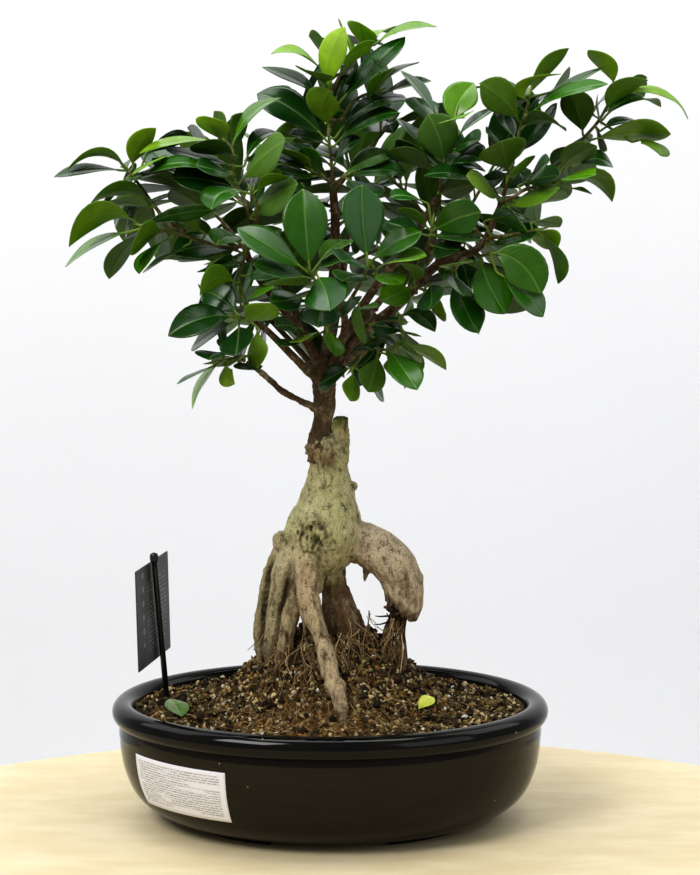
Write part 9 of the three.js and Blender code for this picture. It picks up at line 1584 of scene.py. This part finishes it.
# ------------------------------------------------------------------ leaves
TT = np.array([0.10, 0.13, 0.18, 0.25, 0.33, 0.42, 0.51, 0.60, 0.69, 0.77, 0.84, 0.90, 0.945, 0.975, 1.0])
WW = np.array([-1, -0.82, -0.56, -0.28, -0.08, 0, 0.08, 0.28, 0.56, 0.82, 1.0])
U = np.array([0, 0.05, 0.15, 0.3, 0.45, 0.58, 0.7, 0.8, 0.88, 0.94, 0.98, 1])
S = np.array([0.04, 0.16, 0.41, 0.74, 0.93, 1, 0.95, 0.8, 0.575, 0.33, 0.13, 0.012])
TONES = [0, 0.4, 0.8, 1.2, 1.6, 2.0]
UPPER = np.array([lin(16, 62, 10), lin(28, 80, 9), lin(52, 104, 6), lin(82, 134, 6), lin(112, 158, 12), lin(128, 172, 24)])
UNDER = np.array([lin(58, 92, 12), lin(66, 104, 12), lin(82, 120, 10), lin(102, 142, 10), lin(120, 160, 18), lin(136, 174, 30)])
LOOP = len(WW)


def shade(table, tone):
    return np.array([np.interp(tone, TONES, table[:, i]) for i in range(3)])


def leaf(row, rg, petiole=True):
    """Vertices, faces and per-vertex data of one leaf."""
    foot, B, M, T, b0 = (np.array(row[3 * i:3 * i + 3], float) for i in range(5))
    width, tone = row[15], row[16]
    Cc = 2 * M - (B + T) / 2
    L = np.linalg.norm(T - B)
    sh = np.interp((TT - 0.1) / 0.9, U, S)
    ph = rg.uniform(0, 6.28)
    wav, fold = rg.uniform(0.15, 0.5), rg.uniform(0.07, 0.15)
    twist = rg.normal(0, 0.05)
    top, bot, blade, edge = [], [], [], []
    for t, s in zip(TT, sh):
        p = (1 - t) ** 2 * B + 2 * t * (1 - t) * Cc + t * t * T
        d = unit(2 * (1 - t) * (Cc - B) + 2 * t * (T - Cc))
        b = unit(b0 - d * (b0 @ d))
        n = np.cross(b, d)
        tw = twist * (t - 0.3)
        b, n = b * math.cos(tw) + n * math.sin(tw), n * math.cos(tw) - b * math.sin(tw)
        hw = width / 2 * s
        for w in WW:
            lift = fold * hw * abs(w) ** 1.4 - (0.22 if abs(w) < 0.04 else 0.0) * min(1, s * 2)
            lift += wav * s * w * abs(w) * math.sin(7.0 * t + ph + (1.3 if w > 0 else 0))
            c = p + b * (w * hw) + n * lift
            th = 0.26 * (1 - 0.65 * abs(w) ** 4)
            top.append(c + n * th)
            bot.append(c - n * (th + (0.45 * s * (1 - t) if abs(w) < 0.04 else 0)))
            blade.append((t * L, w * hw, 0.0))
            edge.append(abs(w) ** 1.0 if s > 0.05 else 0.0)
    k, m = len(TT), LOOP
    V = np.array(top + bot)
    n0 = k * m
    F = []
    for i in range(k - 1):
        for j in range(m - 1):
            a = i * m + j
            F.append([a, a + 1, a + m + 1, a + m])
            F.append([n0 + a, n0 + a + m, n0 + a + m + 1, n0 + a + 1])
        for a, q in ((i * m, 1), (i * m + m - 1, 0)):
            f = [a, a + m, n0 + a + m, n0 + a]
            F.append(f if q else f[::-1])
    for j in range(m - 1):
        F.append([j + 1, j, n0 + j, n0 + j + 1])
        a = (k - 1) * m + j
        F.append([a, a + 1, n0 + a + 1, n0 + a])
    bl = np.array(blade)
    up, un = bl.copy(), bl.copy()
    up[:, 2] = 1.0
    var = rg.uniform(0.78, 1.2) * np.array([rg.uniform(0.9, 1.12), 1.0, rg.uniform(0.85, 1.1)])
    # tone sets the colour: young leaves are brighter, and low tones paint shade onto leaves in the crown's shadow
    cu, cb = shade(UPPER, tone) * var, shade(UNDER, tone) * var
    base = np.clip(1 - bl[:, 0] / (0.3 * L), 0, 1)[:, None] * 0.25
    ctop = cu * (1 - base) + shade(UPPER, min(2, tone + 0.7)) * base
    C = np.vstack([ctop, np.tile(cb, (n0, 1))])
    D, E = np.vstack([up, un]), np.array(edge + edge)
    if petiole:
        pts = [foot, (foot + B) / 2 if np.linalg.norm(foot - B) > 2 else foot * 0.4 + B * 0.6, B]
        for t in (0.07, 0.14):
            pts.append((1 - t) ** 2 * B + 2 * t * (1 - t) * Cc + t * t * T)
        keep = [pts[0]]
        for p in pts[1:]:
            if np.linalg.norm(p - keep[-1]) > 0.6:
                keep.append(p)
        rows = curve([list(p) for p in keep], 3) if len(keep) > 2 else np.array(keep)
        r = 0.62 + 0.012 * width
        pv, pf = tube(np.column_stack([rows[:, :3], np.linspace(r, r * 0.72, len(rows))]), 7)
        o = len(V)
        V = np.vstack([V, pv])
        F += [[i + o for i in f] for f in pf]
        C = np.vstack([C, np.tile(lin(112, 140, 52) * var, (len(pv), 1))])
        D = np.vstack([D, np.tile([0, 9.0, 0], (len(pv), 1))])
        E = np.concatenate([E, np.zeros(len(pv))])
    return V, F, C, D, E


def twig_pieces():
    k = 0
    for name, rows in LEAVES.items():
        rg = np.random.default_rng(1000 + k)
        k += 1
        V, F, C, D, E, o = [], [], [], [], [], 0
        for row in rows:
            v, f, c, d, e = leaf(row, rg)
            V.append(v); C.append(c); D.append(d); E.append(e)
            F += [[i + o for i in q] for q in f]
            o += len(v)
        build(name + "_leaves", np.vstack(V), F, LEAF, replaces=[name],
              attrs={"tint": ("color", np.vstack(C)), "blade": ("vector", np.vstack(D)), "edge": ("float", np.concatenate(E))})
        soup = Soup()
        for path in TWIGS[name]:
            P = np.array(path, float)
            d0 = unit(P[0] - P[1])
            P = np.vstack([P[0] + d0 * 1.2, P])
            rr = np.linspace(1.35, 0.85, len(P))
            W = curve(np.column_stack([P, rr]).tolist(), 4)
            t = np.linspace(0, 1, len(W))[:, None]
            v, f = tube(W, 9, lambda i, a: 1 + 0.1 * (i % 4 == 0))
            col = lin(98, 70, 44) * (1 - t) + lin(104, 110, 56) * t
            soup.add(v, f, np.vstack([np.repeat(col, 9, axis=0), col[:1], col[-1:]]))
            # the pointed sheath of the growing tip
            e, d = P[-1], unit(P[-1] - P[-2])
            tip = [[*(e - d * 0.5), 0.95], [*(e + d * 2.2), 1.0], [*(e + d * 5.5), 0.6], [*(e + d * 8.5), 0.12]]
            v, f = tube(curve(tip, 3), 8)
            soup.add(v, f, lin(120, 150, 50))
        v, f, c = soup.arrays()
        build(name + "_wood", v, f, TWIG_BARK, attrs={"tint": ("color", c)})


twig_pieces()


def fallen(name, node, ends, width, lift, curl, upper, roll=0.0):
    """A dropped leaf on the soil, curled, resting on the crumbs."""
    (x0, y0), (x1, y1) = ends
    z0, z1 = soil_height(x0, y0) + lift[0], soil_height(x1, y1) + lift[1]
    c = unit([*(unit([y1 - y0, x0 - x1, 0])[:2]), roll])
    row = [x0, y0, z0, x0, y0, z0, (x0 + x1) / 2, (y0 + y1) / 2, (z0 + z1) / 2 + curl, x1, y1, z1, *c, width, 1.0]
    v, f, _, d, e = leaf(row, np.random.default_rng(4), petiole=False)
    half = len(v) // 2
    s = np.clip(d[:, 0] / d[:, 0].max(), 0, 1)[:, None]
    n1 = fbm(v, 6.0, 2, 3.0)[:, None]
    C = upper[0] * (1 - s) + upper[1] * s
    C = C * (1 + 0.35 * n1)
    build(name, v, f, LEAF, replaces=[node], attrs={"tint": ("color", np.clip(C, 0, 1)), "blade": ("vector", d), "edge": ("float", e)})


fallen("dropped_green_leaf", "fallen_leaf_green", ((-103, -12), (-92, -42)), 15, (6.5, 1.8), 1.4, (lin(104, 140, 32), lin(62, 100, 24)))
fallen("dropped_yellow_leaf", "fallen_leaf_yellow", ((54.5, -43), (65, -29)), 9.6, (2.6, 5.6), 1.2, (lin(204, 212, 66), lin(220, 226, 96)), -0.4)


# ------------------------------------------------------------------ tag and label
def tag():
    w, t, h = 58.9, 0.8, 65.0
    r, V, F = 0.5, [], []
    out = []
    for cx, cz, a0 in ((w / 2 - r, h / 2 - r, 0), (-w / 2 + r, h / 2 - r, 90), (-w / 2 + r, -h / 2 + r, 180), (w / 2 - r, -h / 2 + r, 270)):
        for q in range(7):
            a = math.radians(a0 + 15 * q)
            out.append((cx + r * math.cos(a), cz + r * math.sin(a)))
    n = len(out)
    layers = [(t / 2, 0.2), (t / 2 - 0.12, 0.05), (t / 2 - 0.25, 0), (-t / 2 + 0.25, 0), (-t / 2 + 0.12, 0.05), (-t / 2, 0.2)]
    for y, inset in layers:
        for x, z in out:
            k = 1 - inset / 30
            V.append((x * k, y, z * k))
    for i in range(len(layers) - 1):
        for j in range(n):
            k = (j + 1) % n
            F.append([i * n + j, i * n + k, (i + 1) * n + k, (i + 1) * n + j])
    F.append(list(range(n))[::-1])
    F.append([(len(layers) - 1) * n + j for j in range(n)])
    V = np.array(V)
    local = V.copy()
    tz, ty = math.radians(75.3), math.radians(-3.4)
    Rz = np.array([[math.cos(tz), -math.sin(tz), 0], [math.sin(tz), math.cos(tz), 0], [0, 0, 1]])
    Ry = np.array([[math.cos(ty), 0, math.sin(ty)], [0, 1, 0], [-math.sin(ty), 0, math.cos(ty)]])
    P = V @ (Rz @ Ry).T + [-113, -3.5, 133.7]
    m, nt, b = material("tag_print", rough=0.42, spec=0.5)
    N_ = N(nt)
    x, y, z = N_.split(N_.attr("card", "Vector"))
    co = N_.attr("card", "Vector")
    rows = N_.ramp(N_.math("ABSOLUTE", N_.math("SINE", N_.math("MULTIPLY", z, 1.15))), 0.72, 0.84)
    words = N_.ramp(N_.noise(N_.scale_vec(co, (0.55, 0.0, 0.16)), 1.0, 2), 0.47, 0.53)
    left = N_.math("MULTIPLY", N_.ramp(x, -12, -11), N_.ramp(x, 24, 23))
    block = N_.math("MULTIPLY", left, N_.math("MULTIPLY", N_.ramp(z, -24, -23), N_.ramp(z, 22, 21)))
    ink = N_.math("MULTIPLY", N_.math("MULTIPLY", rows, words), block)
    marks = N_.math("MULTIPLY", N_.ramp(N_.voronoi(N_.scale_vec(co, (0.11, 0.0, 0.11)), 1.0, randomness=0.0), 0.24, 0.2), N_.math("MULTIPLY", N_.ramp(x, -20, -19), N_.ramp(x, -12, -13)))
    ink = N_.math("MAXIMUM", ink, N_.math("MULTIPLY", marks, N_.ramp(z, -20, -19)))
    # painted reflection: a soft gradient from dark to lighter grey across the card
    base = N_.mix(N_.ramp(N_.noise(co, 0.06, 2), 0.3, 0.7), tuple(lin(38, 39, 41)), tuple(lin(64, 65, 67)))
    N_.put(b.inputs["Base Color"], N_.mix(N_.math("MULTIPLY", ink, 0.6), base, tuple(lin(150, 150, 150))))
    N_.put(b.inputs["Normal"], N_.bump(N_.noise(co, 2.0, 2), 0.05, 0.1))
    build("plant_tag", P, F, m, smooth=False, replaces=["tag_card"], attrs={"card": ("vector", local)})
    foot, head = np.array([-104.2, 19.2, 36.0]), np.array([-111.6, -10, 171.7])
    d = unit(head - foot)
    S_ = [(0, 0.5), (0.06, 1.5), (0.12, 1.85), (0.5, 1.85), (0.93, 1.85)]
    L = np.linalg.norm(head - foot)
    rows = [[*(foot + d * L * s), r] for s, r in S_]
    rows += [[*(foot + d * (L + o)), r] for o, r in ((-6, 1.85), (-5.2, 2.5), (-4, 2.75), (-1.6, 2.75), (-0.3, 2.3), (0.4, 1.2))]
    v, f = tube(np.array(rows), 28)
    ob = build("tag_stake_rod", v, f, plastic("black_plastic", lin(17, 17, 18), 0.34), replaces=["tag_stake"])
    bpy.context.view_layer.objects.active = ob


tag()


def label():
    cols, rows, off, th = 36, 14, 0.25, 0.22
    A0, A1, Z0, Z1 = 207.4, 242.6, 20.2, 52.6
    V, L, F = [], [], []
    for skin in (1, 0):
        for i in range(cols + 1):
            for j in range(rows + 1):
                z = Z0 + (Z1 - Z0) * j / rows
                a = math.radians(A0 + (A1 - A0) * i / cols)
                wr = 0.12 * noise.noise(Vector((i * 0.21, j * 0.33, 2.0)))
                V.append(potwall(z, a, off + skin * th + max(0, wr)))
                L.append((66.0 * i / cols, 34.0 * j / rows, skin))
    per = (cols + 1) * (rows + 1)
    at = lambda s, i, j: (0 if s else per) + i * (rows + 1) + j
    for i in range(cols):
        for j in range(rows):
            F.append([at(1, i, j), at(1, i + 1, j), at(1, i + 1, j + 1), at(1, i, j + 1)])
            F.append([at(0, i, j), at(0, i, j + 1), at(0, i + 1, j + 1), at(0, i + 1, j)])
    for i in range(cols):
        F.append([at(0, i, 0), at(0, i + 1, 0), at(1, i + 1, 0), at(1, i, 0)])
        F.append([at(1, i, rows), at(1, i + 1, rows), at(0, i + 1, rows), at(0, i, rows)])
    for j in range(rows):
        F.append([at(1, 0, j), at(1, 0, j + 1), at(0, 0, j + 1), at(0, 0, j)])
        F.append([at(0, cols, j), at(0, cols, j + 1), at(1, cols, j + 1), at(1, cols, j)])
    m, nt, b = material("label_paper", rough=0.6, spec=0.3)
    n = N(nt)
    co = n.attr("paper", "Vector")
    x, y, _ = n.split(co)
    rowsm = n.ramp(n.math("ABSOLUTE", n.math("SINE", n.math("MULTIPLY", y, 1.9))), 0.5, 0.72)
    words = n.ramp(n.noise(n.scale_vec(co, (1.5, 0.6, 0)), 1.0, 3), 0.4, 0.5)
    gaps = n.ramp(n.noise(n.scale_vec(co, (0.03, 0.33, 0)), 1.0, 1), 0.38, 0.44)
    inside = n.math("MULTIPLY", n.math("MULTIPLY", n.ramp(x, 3, 3.6), n.ramp(x, 63, 62)), n.math("MULTIPLY", n.ramp(y, 3, 3.6), n.ramp(y, 31.5, 31)))
    ink = n.math("MULTIPLY", n.math("MULTIPLY", rowsm, words), n.math("MULTIPLY", inside, gaps))
    n.put(b.inputs["Base Color"], n.mix(n.math("MULTIPLY", ink, 0.75), tuple(lin(232, 231, 238)), tuple(lin(126, 125, 130))))
    n.put(b.inputs["Normal"], n.bump(n.noise(co, 1.2, 3), 0.15, 0.1))
    build("care_label_paper", V, F, m, replaces=["care_label"], attrs={"paper": ("vector", np.array(L))})


label()


def meshes():
    """Woven plastic screens over the drain holes."""
    mat = plastic("mesh_plastic", lin(26, 28, 27), 0.5)
    for side, node in ((-45, "drain_mesh_left"), (45, "drain_mesh_right")):
        soup = Soup()
        for k in range(13):
            q = -12.4 + 24.8 * k / 12
            for axis in (0, 1):
                pts = []
                for i in range(25):
                    p = -12.9 + 25.8 * i / 24
                    z = 9.25 + 0.12 * math.cos(math.pi * (i / 2 + k + axis))
                    pts.append([side + (p if axis == 0 else q), (q if axis == 0 else p), z, 0.24])
                v, f = tube(np.array(pts), 6)
                soup.add(v, f, (0, 0, 0))
        v, f, _ = soup.arrays()
        build(node + "_screen", v, f, mat, replaces=[node])


meshes()


# ------------------------------------------------------------------ stage, light, camera
def stage():
    m, nt, b = material("table_top", rough=0.55, spec=0.3)
    n = N(nt)
    co = n.coords()
    f = n.noise(n.scale_vec(co, (1, 3, 1)), 16, 5, 0.6)
    n.put(b.inputs["Base Color"], n.mix(n.ramp(f, 0.35, 0.7), tuple(lin(214, 198, 160)), tuple(lin(224, 211, 177))))
    n.put(b.inputs["Normal"], n.bump(n.noise(co, 240, 3), 0.2, 0.3))
    R, S_ = 445.0, 180
    V, F = [], []
    for r, z in ((R - 3, -0.02), (R - 0.8, -0.8), (R, -3), (R, -24), (R - 3, -27)):
        for j in range(S_):
            a = 2 * math.pi * j / S_
            V.append((12.7 + r * math.cos(a), -258 + r * math.sin(a), z))
    for i in range(4):
        for j in range(S_):
            k = (j + 1) % S_
            F.append([i * S_ + j, (i + 1) * S_ + j, (i + 1) * S_ + k, i * S_ + k])
    F.append(list(range(S_)))
    F.append([4 * S_ + j for j in range(S_)][::-1])
    build("stage_table", V, F, m, smooth=False, stage=True)
    w, nt, b = material("backdrop", rough=0.9, spec=0.1)
    n = N(nt)
    co = n.coords()
    n.put(b.inputs["Base Color"], n.mix(n.noise(co, 1.5, 2), tuple(lin(232, 232, 233)), tuple(lin(240, 240, 241))))
    X, Y0, Z0, Z1 = 3600.0, 1500.0, -900.0, 2600.0
    V = [(-X, -3000, Z0), (X, -3000, Z0)]
    F = []
    arc = [(Y0 - 700 + 700 * math.sin(math.radians(a)), Z0 + 700 - 700 * math.cos(math.radians(a))) for a in range(0, 91, 9)]
    for y, z in arc + [(Y0, Z1)]:
        V += [(-X, y, z), (X, y, z)]
    for i in range(len(V) // 2 - 1):
        F.append([2 * i, 2 * i + 1, 2 * i + 3, 2 * i + 2])
    build("stage_backdrop", V, F, w, stage=True)


stage()


def area(name, at, to, size, power, colour=(1, 1, 1), size_y=None):
    d = bpy.data.lights.new(name, "AREA")
    d.energy, d.size, d.color = power, size, colour
    if size_y:
        d.shape, d.size_y = "RECTANGLE", size_y
    o = bpy.data.objects.new(name, d)
    bpy.context.scene.collection.objects.link(o)
    o.location = at
    o.rotation_euler = (Vector(to) - Vector(at)).to_track_quat("-Z", "Y").to_euler()


area("key", (-1.0, -1.1, 1.55), (0, 0, 0.25), 0.8, 21, (1.0, 0.99, 0.97))
area("fill", (1.3, -1.2, 0.9), (0, 0, 0.25), 1.2, 5, (0.96, 0.98, 1.0))
area("top", (0.0, 0.05, 1.7), (0, 0, 0.2), 1.2, 15, (1.0, 1.0, 1.0), 0.8)
area("wall_left", (-1.4, 0.5, 1.6), (-0.3, 1.5, 0.3), 1.4, 9.5)
area("wall_right", (1.4, 0.5, 1.6), (0.3, 1.5, 0.3), 1.4, 9.5)
world = bpy.data.worlds.new("studio")
world.use_nodes = True
world.node_tree.nodes["Background"].inputs[0].default_value = (0.96, 0.98, 1.0, 1)
world.node_tree.nodes["Background"].inputs[1].default_value = 0.3
bpy.context.scene.world = world
bpy.context.scene.view_settings.view_transform = "Standard"
bpy.context.scene.view_settings.look = "Medium High Contrast"

cam = bpy.data.cameras.new("camera")
cam.sensor_width = 36
cam.sensor_fit = "AUTO"
cam.lens = 2065.06 * 36 / 875
cam.clip_start, cam.clip_end = 0.05, 30
camera = bpy.data.objects.new("camera", cam)
bpy.context.scene.collection.objects.link(camera)
camera.location = (np.array([12.698, -1300.0, 398.09]) + SHIFT) / 1000
camera.rotation_euler = (math.radians(90 - 6.7327), 0, 0)
bpy.context.scene.camera = camera
